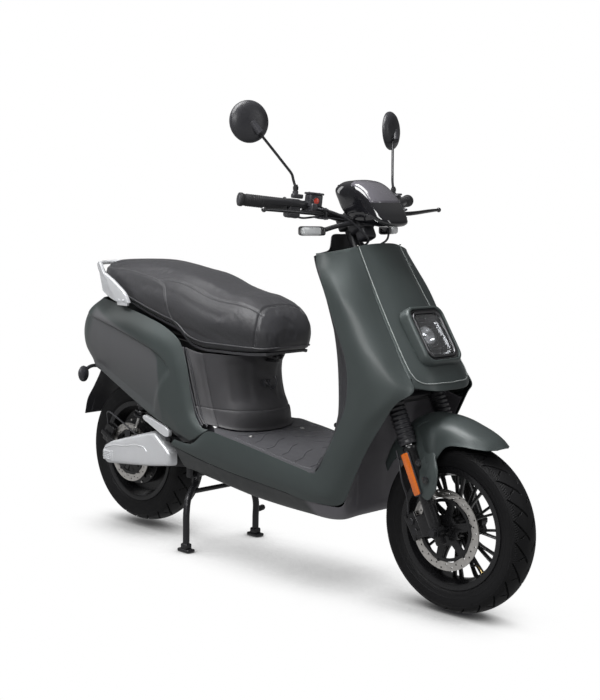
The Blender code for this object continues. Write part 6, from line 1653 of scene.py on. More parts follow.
# ---------------------------------------------------------------- centre stand
stand = [cross_rod(STAND_PIVOT, -0.0815, 0.0815, 0.0120, segments=36, bevel=0.001),
         cross_rod((-0.306, 0, 0.180), -0.114, 0.114, 0.0075, segments=28)]
STAND_LEG = [(STAND_PIVOT.x + 0.002, 0.066, STAND_PIVOT.z - 0.002), (-0.326, 0.0725, 0.205),
             (-0.306, 0.112, 0.182), (-0.292, 0.138, 0.158), (-0.285, 0.149, 0.122),
             (-0.284, 0.150, 0.060), (-0.284, 0.150, 0.008)]
for side in SIDES:
    stand += [tube(flipped(STAND_LEG, side), 0.0105, sides=22),
              block((-0.284, side * 0.150, 0.0050), (0.052, 0.030, 0.0098), bevel=0.0035),
              block((-0.284, side * 0.150, 0.0165), (0.030, 0.024, 0.020), bevel=0.005),
              block(STAND_PIVOT + Vector((0.006, side * 0.073, -0.012)), (0.030, 0.006, 0.040),
                    bevel=0.002)]
stand.append(tube([(-0.285, 0.150, 0.030), (-0.306, 0.168, 0.052), (-0.322, 0.200, 0.072),
                   (-0.322, 0.222, 0.076)], 0.0060))
piece("centre_stand_frame", stand, STEEL, "stand", "centre_stand", 40)

PEDAL_AXIS = (0, 1, 0.14)
pedal = [turned([(0.0, 0.0), (0.0078, 0.0), (0.0086, 0.002), (0.0090, 0.010), (0.0086, 0.022),
                 (0.0078, 0.024), (0.0, 0.024)], (-0.322, 0.200, 0.0735), PEDAL_AXIS, 24)]
pedal += [turned([(0.0092, -0.0006), (0.0098, 0.0), (0.0092, 0.0006)],
                 (-0.322, 0.2025 + 0.0044 * k, 0.0739 + 0.0006 * k), PEDAL_AXIS, 24)
          for k in range(5)]
piece("stand_pedal_rubber", pedal, GRIP, "stand")
spring = []
for k in range(181):
    t = k / 180
    a = 2 * math.pi * 12 * t
    spring.append((-0.318 + 0.052 * t - 0.003 * math.sin(a), 0.028 + 0.0060 * math.cos(a),
                   0.232 + 0.030 * t + 0.0052 * math.sin(a)))
piece("stand_return_spring", tube(spring, 0.0011, sides=8, smooth=False), BRIGHT)

# -------------------------------------------------------------- passenger pegs
PEG_OUTLINE = [(-0.458, 0.401), (-0.452, 0.413), (-0.345, 0.387), (-0.331, 0.376),
               (-0.331, 0.3575), (-0.352, 0.3575)]  # (x, z)
PEG_MIDDLE = (-0.392, 0.383)
PEG_STEPS = ((-0.0074, 0.90), (-0.0074, 0.97), (-0.0068, 0.993), (-0.0055, 1.0), (0.0055, 1.0),
             (0.0068, 0.993), (0.0074, 0.97), (0.0074, 0.90))  # (y, scale of the outline)
peg_curve = round_outline(PEG_OUTLINE, 0.008)
for side, word in RIGHT_LEFT:
    cx, cz = PEG_MIDDLE
    piece("peg_plate_" + word, loft([
        [(cx + (x - cx) * scale, side * (PEG_PIVOT.y + y), cz + (z - cz) * scale)
         for x, z in peg_curve] for y, scale in PEG_STEPS]),
        SILVER, "peg_" + word[0], "passenger_peg_" + word, 45)
    piece("peg_rubber_" + word, [
        block((-0.446 + 0.084 * k / 5, side * PEG_PIVOT.y, 0.3983 - 0.036 * k / 5),
              (0.0075, 0.0120, 0.0030), pitched(0.40), 0.0008) for k in range(6)],
        GRIP, "peg_" + word[0])

# ----------------------------------------------------------------------- frame
HEAD_TUBE = [(0.0186, 0.440), (0.0265, 0.440), (0.0290, 0.443), (0.0290, 0.456), (0.0265, 0.460),
             (0.0265, 0.605), (0.0290, 0.609), (0.0290, 0.622), (0.0265, 0.625), (0.0186, 0.625)]
MAIN_TUBE = [(0.300, 0.100, 0.285), (0.000, 0.100, 0.292), (-0.200, 0.100, 0.300),
             (-0.300, 0.100, 0.335), (-0.352, 0.102, 0.460), (-0.430, 0.108, 0.590),
             (-0.560, 0.108, 0.622), (-0.770, 0.080, 0.640)]  # left, from the front back
CROSS_TUBES = ((0.296, 0.285, 0.0165), (0.120, 0.289, 0.010), (-0.190, 0.3005, 0.010),
               (-0.352, 0.460, 0.011), (-0.745, 0.638, 0.011))  # x, z, radius
frame_parts = [turned(HEAD_TUBE, STEER_BASE, AXIS, 56),
               tube([along(0.50, -0.012), (0.340, 0, 0.600), (0.325, 0, 0.520),
                     (0.318, 0, 0.420), (0.312, 0, 0.285)], 0.0180, sides=28)]
for side in SIDES:
    peg_post = Vector((PEG_PIVOT.x, side * PEG_PIVOT.y, 0))
    frame_parts += [
        tube(flipped(MAIN_TUBE, side), 0.0125, sides=24),
        # swingarm pivot
        block((SWING_PIVOT.x + 0.004, side * 0.0935, 0.293), (0.040, 0.011, 0.072), bevel=0.003),
        cross_rod(SWING_PIVOT, side * 0.088, side * 0.099, 0.0205, segments=40, bevel=0.001),
        # upper shock mount
        block((SHOCK_TOP.x, side * 0.1240, 0.585), (0.034, 0.008, 0.092), bevel=0.002),
        cross_rod(SHOCK_TOP, side * 0.0855, side * 0.128, 0.0060, bevel=0.0006),
        cross_rod((SHOCK_TOP.x, 0, 0.6100), side * 0.100, side * 0.128, 0.0090, bevel=0.0006),
        # stand bracket, battery post and peg mount
        block((STAND_PIVOT.x + 0.002, side * 0.0935, 0.2400), (0.022, 0.011, 0.044),
              bevel=0.003),
        rod((-0.190, side * 0.070, 0.298), (-0.190, side * 0.070, 0.406), 0.007, segments=20),
        rod((-0.306, side * 0.098, 0.342), (-0.336, side * 0.168, 0.351), 0.0065, segments=24),
        rod(peg_post + UP * 0.3455, peg_post + UP * 0.3570, 0.0105, bevel=0.001),
        rod(peg_post + UP * 0.3500, peg_post + UP * 0.3700, 0.0032, segments=20)]
frame_parts += [cross_rod((x, 0, z), -0.106, 0.106, radius, segments=28)
                for x, z, radius in CROSS_TUBES]
frame_parts += [cross_rod(SWING_PIVOT, -0.104, 0.104, 0.0075, segments=24, bevel=0.0008),
                cross_rod(STAND_PIVOT, -0.098, 0.098, 0.0050, segments=20),
                block((-0.232, 0, 0.405), (0.118, 0.160, 0.006), bevel=0.001)]
piece("frame_tubes", frame_parts, STEEL, nodes="frame", sharp=40)
piece("swing_pivot_nuts", [cross_rod(SWING_PIVOT, side * 0.0995, side * 0.1080, 0.0115,
                                     segments=6, bevel=0.0008) for side in SIDES], BRIGHT)

battery = [block((-0.222, 0, 0.4925), (0.130, 0.150, 0.160), bevel=0.010, segments=4)]
battery += [block((-0.222, 0, 0.435 + 0.038 * k), (0.1312, 0.1512, 0.004), bevel=0.0015)
            for k in range(4)]
battery.append(tube([(-0.222, -0.045, 0.5715), (-0.222, -0.040, 0.588), (-0.222, 0.040, 0.588),
                     (-0.222, 0.045, 0.5715)], 0.0055))
piece("battery_case", battery, SATIN, nodes="battery_pack")
controller = [block((0.020, 0, 0.2600), (0.170, 0.130, 0.024), bevel=0.003)]
controller += [block((0.020, -0.055 + 0.011 * k, 0.2735), (0.160, 0.0028, 0.0070), bevel=0.0006)
               for k in range(11)]
piece("controller_case", controller, GREY_ALLOY, nodes="motor_controller")


# ------------------------------------------------------------------------ fork
def on_leg(rise, side):
    return along(rise, LEG_OFFSET, side * LEG_Y)


yoke = [rod(along(0.352), along(0.885), 0.0150, segments=36, bevel=0.001),
        rod(along(0.629), along(0.649), 0.0240, segments=8, bevel=0.001),
        rod(along(0.352), along(0.436), 0.0245, segments=40, bevel=0.001),
        block(along(0.362, 0.012), (0.050, 0.212, 0.022), FORK_TURN, 0.006, 4)]
yoke += [rod(on_leg(0.350, side), on_leg(0.378, side), 0.0235, segments=44, bevel=0.002)
         for side in SIDES]
yoke += [rod(on_leg(0.3785, side), on_leg(0.3845, side), 0.0115, segments=6, bevel=0.001)
         for side in SIDES]
piece("fork_stem_yoke", yoke, STEEL, "steering", "fork_upper", 35)
piece("fork_stanchions", [rod(on_leg(0.125, side), on_leg(0.372, side), 0.0120, segments=40)
                          for side in SIDES], CHROME, "steering")

# ribbed boots, each with a mesh of its own
boot_profile = [(0.0210, 0.0), (0.0226, -0.0010), (0.0238, 0.0), (0.0240, 0.006)]
for k in range(9):
    z = 0.010 + k * 0.0120
    boot_profile += [(0.0222, z), (0.0228, z + 0.0025), (0.0252, z + 0.0052),
                     (0.0256, z + 0.0062), (0.0250, z + 0.0074), (0.0226, z + 0.0102)]
boot_profile += [(0.0236, 0.1200), (0.0240, 0.1225), (0.0238, 0.1255), (0.0216, 0.1262),
                 (0.0206, 0.1200)]
for side, word in RIGHT_LEFT:
    boot = piece("fork_boot_" + word, turned(boot_profile, on_leg(0.228, side), AXIS, 72), SATIN,
                 "steering", "fork_upper", 60)
    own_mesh(boot)

FORK_LEG = [
    (0.0, -0.0360), (0.0105, -0.0360), (0.0130, -0.0345), (0.0145, -0.0310), (0.0147, 0.008),
    (0.0165, 0.014), (0.0180, 0.020), (0.0182, 0.026), (0.0180, 0.118), (0.0184, 0.126),
    (0.0195, 0.131), (0.0196, 0.225), (0.0206, 0.227), (0.0206, 0.236), (0.0198, 0.2385),
    (0.0190, 0.2395), (0.0132, 0.2400), (0.0130, 0.2380), (0.0, 0.2380)]


def fork_leg(side, word):
    arm_y = side * (LEG_Y + 0.020)
    parts = [turned(FORK_LEG, on_leg(-0.017, side), AXIS, 72),
             cross_rod(FRONT_AXLE, side * (LEG_Y - 0.013), side * (LEG_Y + 0.013), 0.0190,
                       segments=48, bevel=0.002),
             block(along(0.115, LEG_OFFSET, arm_y), (0.012, 0.014, 0.030), FORK_TURN, 0.002),
             block(along(0.185, LEG_OFFSET, arm_y), (0.010, 0.014, 0.020), FORK_TURN, 0.002)]
    if side < 0:  # caliper mount
        parts += [block(along(0.012, 0.006, -LEG_Y), (0.040, 0.018, 0.060), FORK_TURN, 0.004),
                  block(along(-0.004, -0.020, -LEG_Y + 0.006), (0.036, 0.010, 0.020), FORK_TURN,
                        0.003)]
    piece("fork_leg_" + word, parts, BLACK_ALLOY, "fork_lower", "fork_slider_" + word, 40,
          slot="silver_alloy")


def reflector_slab(side, half_widths, rises, depths, radius, soft):
    """A rounded plate beside the leg, softened on its outer face.

    half_widths and rises are at its lower and upper ends, depths at its inner and outer faces.
    """
    place = (Matrix.Translation(along(0.0, LEG_OFFSET, side * (LEG_Y + 0.0285)))
             @ Matrix(((AXIS.x, AHEAD.x, 0, 0), (0, 0, side, 0), (AXIS.z, AHEAD.z, 0, 0),
                       (0, 0, 0, 1))))
    (low_w, high_w), (low, high), (inner, outer) = half_widths, rises, depths
    outline = round_outline([(low, -low_w), (high, -high_w), (high, high_w), (low, low_w)],
                            radius, 8)
    middle = (low + high) / 2
    rings = []
    for depth, inset in ((inner, 0.0), (outer - soft, 0.0), (outer - soft * 0.45, soft * 0.28),
                         (outer, soft)):
        shrink_u = 1 - inset * 2 / (high - low)
        shrink_v = 1 - inset / max(low_w, high_w)
        rings.append([place @ Vector((middle + (u - middle) * shrink_u, v * shrink_v, depth))
                      for u, v in outline])
    return loft(rings)


for side, word in RIGHT_LEFT:
    fork_leg(side, word)
    piece("reflector_frame_" + word, reflector_slab(
        side, half_widths=(0.0125, 0.0135), rises=(0.087, 0.208), depths=(-0.0030, 0.0014),
        radius=0.007, soft=0.0012), SATIN, "fork_lower")
    piece("reflector_lens_" + word, reflector_slab(
        side, half_widths=(0.0108, 0.0118), rises=(0.0895, 0.2055), depths=(0.0002, 0.0040),
        radius=0.006, soft=0.0014), ORANGE, "fork_lower")

axle_parts = [cross_rod(FRONT_AXLE, -0.112, 0.112, 0.0069)]
axle_parts += [cross_rod(FRONT_AXLE, side * 0.1078, side * 0.1178, 0.0118, segments=6,
                         bevel=0.0009) for side in SIDES]
axle_parts += [turned([(0.0070, 0.0), (0.0150, 0.0), (0.0150, 0.0018), (0.0070, 0.0018)],
                      FRONT_AXLE + LEFT * (side * 0.1052), (0, side, 0), 40) for side in SIDES]
piece("front_axle_bolt", axle_parts, STEEL, "fork_lower", "front_axle", 30)

# ---------------------------------------------------------------- front fender
FENDER_ROWS = [  # half rows, from the front over the wheel to the rear
    [(0.7900, 0, 0.468), (0.7880, 0.014, 0.467), (0.7850, 0.024, 0.465)],
    [(0.7680, 0, 0.486), (0.7660, 0.034, 0.479), (0.7680, 0.050, 0.465)],
    [(0.7410, 0, 0.499), (0.7400, 0.046, 0.488), (0.7440, 0.063, 0.466)],
    [(0.6910, 0, 0.519), (0.6900, 0.055, 0.502), (0.7000, 0.073, 0.468)],
    [(0.6480, 0, 0.532), (0.6490, 0.058, 0.511), (0.6590, 0.077, 0.462)],
    [(0.6150, 0, 0.537), (0.6180, 0.060, 0.512), (0.6300, 0.077, 0.430)],
    [(0.5900, 0, 0.538), (0.5930, 0.058, 0.511), (0.6150, 0.075, 0.335)],
    [(0.5650, 0, 0.536), (0.5690, 0.0560, 0.506), (0.5980, 0.0600, 0.330)],
    [(0.5250, 0, 0.523), (0.5330, 0.0540, 0.491), (0.5530, 0.0580, 0.400)],
    [(0.4820, 0, 0.497), (0.4950, 0.0540, 0.467), (0.5080, 0.0580, 0.415)],
    [(0.4440, 0, 0.450), (0.4560, 0.0550, 0.428), (0.4680, 0.0590, 0.395)],
    [(0.4230, 0, 0.395), (0.4330, 0.0540, 0.382), (0.4440, 0.0580, 0.360)],
]
piece("front_fender_shell", shell(patch(full_rows(FENDER_ROWS), 150, 90, relax=3), (0, 0, 1),
                                  bevel=0.0008), PAINT, "fork_lower", "front_fender", 55)
EAR = [(0.5372, 0.4944), (0.5264, 0.4190), (0.5393, 0.3578), (0.5615, 0.3230), (0.5965, 0.3045),
       (0.6222, 0.3390), (0.6265, 0.3939), (0.6115, 0.4320), (0.6341, 0.4516), (0.6450, 0.4850),
       (0.6100, 0.5200), (0.5600, 0.5150)]  # (x, z) before its lower part steps out
EAR_MIDDLE = (0.583, 0.410)
EAR_STEPS = ((-0.0016, 0.97), (-0.0014, 0.99), (-0.0004, 1.0), (0.0008, 0.996),
             (0.0014, 0.98))  # (y, scale of the outline)
EAR_SHIFT_X, EAR_SHIFT_Z = 0.0362, 0.0104
FENDER_BOLT = [(0.0, 0.0016), (0.0026, 0.0016), (0.0030, 0.0038), (0.0058, 0.0037),
               (0.0072, 0.0030), (0.0080, 0.0012), (0.0096, 0.0006), (0.0096, -0.0020),
               (0.0, -0.0020)]


def fender_ear(side):
    """A side plate of the fender whose lower part stands out over the fork leg."""
    cx, cz = EAR_MIDDLE
    rings = []
    for dy, scale in EAR_STEPS:
        ring = []
        for x, z in round_outline(EAR, 0.014, 8):
            step = 1.0 - smoothstep(0.392, 0.448, z)
            y = 0.0650 + dy + 0.0485 * step - 0.020 * max(0.0, z - 0.455) / 0.07
            ring.append((cx + (x - cx) * scale + EAR_SHIFT_X * step, side * y,
                         cz + (z - cz) * scale + EAR_SHIFT_Z * step))
        rings.append(ring)
    return loft(rings)


for side, word in RIGHT_LEFT:
    piece("fender_ear_" + word, fender_ear(side), PAINT, "fork_lower", sharp=50)
    piece("fender_bolts_" + word, [
        turned(FENDER_BOLT, (x + EAR_SHIFT_X, side * 0.1150, z + EAR_SHIFT_Z), (0, side, 0), 36)
        for x, z in ((0.5600, 0.4047), (0.5845, 0.3624))],
        GLOSS, "fork_lower", slot="black_plastic")

# --------------------------------------------------------------- front caliper
caliper_turn = pitched(-RAKE - 0.10)
caliper_middle = along(0.020, -0.054, -0.0570)
caliper_ahead = caliper_turn @ Vector((1, 0, 0))
caliper_up = caliper_turn @ UP


def on_caliper(y=0.0, rise=0.0, ahead=0.0):
    return caliper_middle + LEFT * y + caliper_up * rise + caliper_ahead * ahead


PISTON_RISES = (0.014, -0.016)
caliper = [block(on_caliper(side * 0.0108), (0.0405, 0.0118, 0.076), caliper_turn, 0.0045, 4)
           for side in SIDES]
caliper.append(block(on_caliper(ahead=-0.0165), (0.0085, 0.0300, 0.056), caliper_turn, 0.003))
caliper += [rod(on_caliper(-0.0140, rise), on_caliper(-0.0185, rise), 0.0125, segments=48,
                bevel=0.0014) for rise in PISTON_RISES]
caliper += [rod(on_caliper(-0.0150, rise, -0.010), on_caliper(-0.0195, rise, -0.010), 0.0046,
                segments=6, bevel=0.0006) for rise in (0.032, -0.034)]
piece("front_caliper_body", caliper, BLACK_ALLOY, "fork_lower", "front_caliper", 40)
piece("front_caliper_caps", [
    turned([(0.0, 0.0030), (0.0080, 0.0028), (0.0092, 0.0018), (0.0094, -0.001), (0.0, -0.001)],
           on_caliper(-0.0182, rise), (0, -1, 0), 40) for rise in PISTON_RISES],
    STEEL, "fork_lower")
piece("front_brake_hose", tube([
    on_caliper(-0.016, 0.036), caliper_middle + Vector((-0.010, -0.034, 0.080)),
    along(0.140, -0.002, -0.120), along(0.190, 0.004, -0.116), along(0.222, 0.006, -0.113)],
    0.0028, sides=12), SATIN, "fork_lower")
piece("front_hose_clip", block(along(0.200, 0.020, -0.112), (0.030, 0.006, 0.010), FORK_TURN,
                               0.0015), STEEL, "fork_lower")

# ------------------------------------------------------------------- handlebar
BAR_DIR = (BAR_OUT - BAR_IN).normalized()


def bar_at(y, side=1):
    """The place on the straight outer part of the bar at a distance y from the middle."""
    p = BAR_IN + (BAR_OUT - BAR_IN) * ((y - BAR_IN.y) / (BAR_OUT.y - BAR_IN.y))
    return Vector((p.x, side * p.y, p.z))


bar_parts = [tube(full_row([(0.229, 0.080, 1.054), (0.232, 0.120, 1.066), bar_at(0.150),
                            bar_at(0.3545)]), 0.0110, sides=32),
             block(along(0.888, 0.008), (0.056, 0.054, 0.042), FORK_TURN, 0.006),
             block((0.276, 0, 1.068), (0.068, 0.028, 0.014), bevel=0.002)]
bar_parts += [rod(along(0.908, 0.008 + ahead, y), along(0.914, 0.008 + ahead, y), 0.0050,
                  segments=6, bevel=0.0006) for ahead in (-0.018, 0.018) for y in (-0.018, 0.018)]
piece("handlebar_tube", bar_parts, STEEL, "steering", "handlebar", 40)

# ---------------------------------------------------------------- display cowl
COWL_OUTLINE = [(0.268, 1.153), (0.230, 1.147), (0.208, 1.131), (0.222, 1.096), (0.241, 1.066),
                (0.291, 1.034), (0.340, 1.027), (0.385, 1.026), (0.412, 1.033), (0.404, 1.055),
                (0.380, 1.090), (0.345, 1.124), (0.304, 1.148)]  # (x, z), from the top backwards
COWL_SECTIONS = [(0.0, 1.0), (0.014, 0.996), (0.028, 0.980), (0.040, 0.950), (0.050, 0.890),
                 (0.0570, 0.800), (0.0610, 0.690), (0.0640, 0.54),
                 (0.0655, 0.36)]  # (y, scale of the outline)
cowl_curve = closed_curve(COWL_OUTLINE, 97)


def cowl_ring(y, scale):
    return [(0.300 + (x - 0.300) * scale, y, 1.088 + (z - 1.088) * scale)
            for x, z, _ in cowl_curve]


cowl_rings = [cowl_ring(-y, scale) for y, scale in reversed(COWL_SECTIONS)]
cowl_rings += [cowl_ring(y, scale) for y, scale in COWL_SECTIONS[1:]]
cowl_grid = smooth_lengthwise(cowl_rings, 70)
piece("cowl_housing", fix_normals(grid_mesh(cowl_grid, wrap_v=True, cap=True)), GLOSS, "steering",
      "display_cowl", 50, slot="black_plastic")


def cowl_strip(start, end, rows):
    """A strip of the cowl's surface between two places on its outline, given as 0 to 1."""
    loop = cowl_grid.transpose(1, 0, 2)
    count = loop.shape[0]
    strip = []
    for i in range(rows):
        t = (start + (end - start) * i / (rows - 1)) % 1.0 * count
        k = int(t) % count
        share = t - int(t)
        strip.append(loop[k] * (1 - share) + loop[(k + 1) % count] * share)
    return np.array(strip)


# glossy face a little proud of the housing, from just behind the top edge to the chin
face = cowl_strip(0.985, 0.748, rows=44)[:, 9:-10]
u, v = grid_places(face)
height = 0.0026 * smoothstep(0.0, 0.05, u) * smoothstep(0.0, 0.05, 1 - u)
height = height * smoothstep(0.0, 0.06, v) * smoothstep(0.0, 0.06, 1 - v) - 0.0006
piece("cowl_gloss_face", shell(raised(face, height, (1, 0, 0)), (1, 0, 0.5), 0.0015, 0.0),
      GLOSS_GREY, "steering", sharp=50)
# shroud between the cowl and the steering head
piece("cowl_shroud", [
    block((0.262, 0, 1.040), (0.052, 0.066, 0.074), pitched(-RAKE - 0.15), 0.012, 5),
    block((0.290, 0, 1.004), (0.040, 0.050, 0.040), FORK_TURN, 0.010, 4)],
    SATIN, "steering", sharp=40)
# display screen towards the rider, and a cord along the seam across the cowl
piece("display_screen", block((0.2195, 0, 1.1200), (0.0040, 0.068, 0.040), pitched(-0.42),
                              0.0015), GLOSS, "steering")
seam_column = int(cowl_grid.shape[1] * 0.60)
piece("cowl_seam", tube(cowl_grid[4:66, seam_column], 0.0011, sides=8, smooth=False), GLOSS,
      "steering")


# --------------------------------------------------------------- bar controls
class BarEnd(namedtuple("BarEnd", "side word outward forward upward turn mid hold")):
    """One end of the bar: its axes, the switch housing's place (mid) and the clamp's (hold)."""

    def off(self, origin, forward, outward, upward):
        return (origin + self.forward * forward + self.outward * outward
                + self.upward * upward)


def bar_end(side, word):
    outward = Vector((BAR_DIR.x, side * BAR_DIR.y, BAR_DIR.z))
    forward = UP.cross(outward).normalized() * -side
    upward = forward.cross(outward) * side
    turn = Matrix((forward * side, outward, upward)).transposed()
    return BarEnd(side, word, outward, forward, upward, turn, bar_at(0.2110, side),
                  bar_at(0.1720, side))


def grip(end):
    """A ribbed grip with its inner flange and end bulb, and its cap."""
    inner, outer = bar_at(0.2330, end.side), bar_at(0.3555, end.side)
    length = (outer - inner).length
    profile = [(0.0116, 0.0), (0.0190, 0.0), (0.0204, 0.0008), (0.0205, 0.0034),
               (0.0196, 0.0046), (0.0172, 0.0066)]
    z = 0.0095
    while z < length - 0.022:
        profile += [(0.0160, z), (0.0160, z + 0.0016), (0.0169, z + 0.0022),
                    (0.0170, z + 0.0042), (0.0161, z + 0.0048)]
        z += 0.0062
    profile += [(0.0160, length - 0.0150), (0.0166, length - 0.0115), (0.0184, length - 0.0095),
                (0.0186, length - 0.0040), (0.0180, length - 0.0010), (0.0160, length),
                (0.0030, length), (0.0030, length - 0.0006), (0.0116, length - 0.0006)]
    body, cad_node = ("throttle", "throttle_grip") if end.side < 0 else ("steering", "grip_left")
    piece("grip_rubber_" + end.word, turned(profile, inner, outer - inner, 80), GRIP, body,
          cad_node, 40)
    piece("grip_end_cap_" + end.word, turned(
        [(0.0, 0.0006), (0.0110, 0.0004), (0.0120, -0.0006), (0.0, -0.0006)], outer,
        end.outward, 40), SATIN, body)


def bar_bore(inner_y, side):
    """The tool that cuts the bar's hole through a part."""
    return rod(bar_at(inner_y, side), bar_at(0.25, side), 0.0113, segments=40)


def switches(end):
    """Switch housing, its rockers and its button, which face the rider."""
    mid, off = end.mid, end.off
    face_at = off(mid, -0.025, 0, 0.004)
    well = rod(off(face_at, -0.012, 0, 0), off(face_at, 0.0075, 0, 0), 0.0066, segments=36)
    case = [cut(block(off(mid, -0.003, 0, -0.008), (0.0460, 0.0360, 0.0520), end.turn, 0.008, 5),
                well, bar_bore(0.17, end.side)),
            turned([(0.0112, -0.0145), (0.0165, -0.0150), (0.0170, -0.0170), (0.0112, -0.0170)],
                   mid, end.outward, 40)]
    case += [rod(off(mid, 0, out, -0.0346), off(mid, 0, out, -0.0330), 0.0034, segments=20)
             for out in (-0.009, 0.009)]
    piece("switch_case_" + end.word, case, SATIN, "steering", "switch_housing_" + end.word, 40)
    piece("switch_rockers_" + end.word, [
        block(off(face_at, 0.0015, 0, 0.0105), (0.0050, 0.015, 0.0052), end.turn, 0.0012),
        block(off(face_at, 0.0015, 0, -0.0135), (0.0050, 0.012, 0.0050), end.turn, 0.0012)],
        GREY_PLASTIC, "steering")
    use, mat = ("start", RED) if end.side < 0 else ("horn", GREY_PLASTIC)
    piece("press_button_" + end.word, turned(
        [(0.0, 0.0042), (0.0044, 0.0040), (0.0056, 0.0032), (0.0060, 0.0018),
         (0.0060, -0.0042), (0.0, -0.0042)], face_at, -end.forward, 40),
        mat, use + "_switch", use + "_button")


def master_cylinder(end, pivot):
    """Bar clamp, tank and lever bracket, with the tank's lid and sight glass."""
    hold, off, turn = end.hold, end.off, end.turn
    tank = off(hold, 0.016, -0.010, 0.014)
    parts = [
        cut(block(hold, (0.036, 0.022, 0.034), turn, 0.005), bar_bore(0.15, end.side)),
        block(off(hold, 0.028, -0.004, -0.001), (0.034, 0.020, 0.024), turn, 0.005),
        block(off(tank, 0, 0, 0.004), (0.040, 0.038, 0.034), turn, 0.004),
        block(off(hold, 0.002, 0.034, 0.026), (0.020, 0.030, 0.012), turn, 0.003),
        rod(off(hold, 0.002, 0.0400, 0.024), off(hold, 0.002, 0.0400, 0.040), 0.0080,
            bevel=0.001),
        block(pivot + Vector((-0.022, 0, 0.0010)), (0.012, 0.020, 0.029), turn, 0.002),
        block(pivot + Vector((-0.008, 0, 0.0118)), (0.034, 0.020, 0.0060), turn, 0.002),
        block(pivot + Vector((-0.008, 0, -0.0118)), (0.034, 0.020, 0.0060), turn, 0.002),
        rod(pivot - UP * 0.0160, pivot + UP * 0.0155, 0.0028, segments=24),
        rod(pivot + UP * 0.0145, pivot + UP * 0.0165, 0.0052, segments=6, bevel=0.0005)]
    parts += [rod(off(hold, -0.016, 0, rise), off(hold, -0.0195, 0, rise), 0.0036, segments=20,
                  bevel=0.0005) for rise in (0.009, -0.009)]
    piece("master_body_" + end.word, parts, SATIN, "steering", "master_cylinder_" + end.word, 40,
          slot="black_alloy")
    lid = [block(off(tank, 0, 0, 0.0235), (0.0440, 0.0420, 0.0060), turn, 0.0025)]
    lid += [turned([(0.0, 0.0016), (0.0020, 0.0015), (0.0027, 0.0008), (0.0027, -0.001),
                    (0.0, -0.001)], off(tank, 0, out, 0.0262), end.upward, 20)
            for out in (-0.0150, 0.0150)]
    piece("reservoir_lid_" + end.word, lid, SATIN, "steering")
    sight = off(tank, 0.0200, 0, 0.004)
    piece("sight_ring_" + end.word, turned(
        [(0.0082, 0.0010), (0.0092, 0.0014), (0.0100, 0.0008), (0.0100, -0.001),
         (0.0082, -0.001)], sight, end.forward, 36), SATIN, "steering")
    piece("sight_glass_" + end.word, turned(
        [(0.0, 0.0008), (0.0070, 0.0007), (0.0082, 0.0), (0.0082, -0.001), (0.0, -0.001)],
        sight, end.forward, 36), RED_MARK if end.side < 0 else SMOKE, "steering")


def brake_lever(end, pivot):
    side, body = end.side, "brake_lever_" + end.word[0]
    tip = Vector((LEVER_TIP.x, side * LEVER_TIP.y, LEVER_TIP.z))
    path = [pivot + Vector((x, side * y, z)) for x, y, z in (
        (0, 0, 0), (0.004, 0.024, 0.001), (0.000, 0.060, 0.003), (-0.012, 0.120, 0.007),
        (-0.024, 0.175, 0.010))]
    path.append(tip - LEFT * (side * 0.0065))
    blade = tube(path, [0.0060, 0.0056, 0.0052, 0.0050, 0.0046, 0.0038], sides=24,
                 flat=((0, 0, 1), 1.06))
    knuckle = rod(pivot - UP * 0.0068, pivot + UP * 0.0068, 0.0085, segments=40, bevel=0.001)
    piece("brake_blade_" + end.word, [blade, knuckle], DARK_ALLOY, body,
          "brake_lever_" + end.word, 40)
    piece("brake_ball_" + end.word, ball(tip - LEFT * (side * 0.0072), (0.0072, 0.0072, 0.0072)),
          GLOSS, body, slot="black_alloy")


MIRROR_SHELL = [
    (0.0, -0.0030), (0.0530, -0.0030), (0.0535, -0.0066), (0.0545, -0.0070), (0.0562, -0.0066),
    (0.0573, -0.0048), (0.0575, -0.0020), (0.0572, 0.0010), (0.0550, 0.0048), (0.0500, 0.0095),
    (0.0410, 0.0138), (0.0300, 0.0166), (0.0150, 0.0186), (0.0, 0.0191)]
MIRROR_FACE = [(0.0, -0.0056), (0.0200, -0.0055), (0.0400, -0.0051), (0.0528, -0.0044),
               (0.0528, -0.0034), (0.0, -0.0034)]
MIRROR_TURN = math.radians(19)


def mirror(end):
    """A stalk from the clamp to a ball joint, and the round head on it."""
    side = end.side
    foot = end.off(end.hold, 0.002, 0.0400, 0.0418)
    joint = Vector((0.142, side * 0.282, 1.278))
    bends = [(0.2075, 0.2085, 1.148), (0.2040, 0.2115, 1.164), (0.2005, 0.2155, 1.172),
             (0.1960, 0.2205, 1.180), (0.1700, 0.2500, 1.2275)]
    stalk = [rod(foot - UP * 0.0019, foot, 0.0062, segments=28),
             rod(foot, foot + UP * 0.0105, 0.0078, segments=6, bevel=0.0008),
             rod(foot + UP * 0.010, foot + UP * 0.0150, 0.0058, segments=28, bevel=0.0006),
             tube([foot + UP * 0.006] + flipped(bends, side) + [joint], 0.0037, sides=24),
             ball(joint, (0.0085, 0.0085, 0.0085), 18, 28)]
    piece("mirror_stalk_" + end.word, stalk, STEEL, "mirror_stem_" + end.word[0],
          "mirror_stem_" + end.word, 40)
    centre = Vector((0.122, side * 0.296, 1.303))
    normal = Vector((math.cos(MIRROR_TURN), side * math.sin(MIRROR_TURN), 0.06)).normalized()
    socket = rod(joint + Vector((0.010, 0, -0.006)), centre + normal * 0.012, 0.0102,
                 segments=40, bevel=0.0015)
    head = [turned(MIRROR_SHELL, centre, normal, 96),
            cut(socket, ball(joint, (0.0090, 0.0090, 0.0090), 18, 28))]
    piece("mirror_shell_" + end.word, head, SATIN, "mirror_" + end.word[0],
          "mirror_head_" + end.word, 40)
    piece("mirror_glass_" + end.word, turned(MIRROR_FACE, centre, normal, 96), MIRROR,
          "mirror_" + end.word[0])


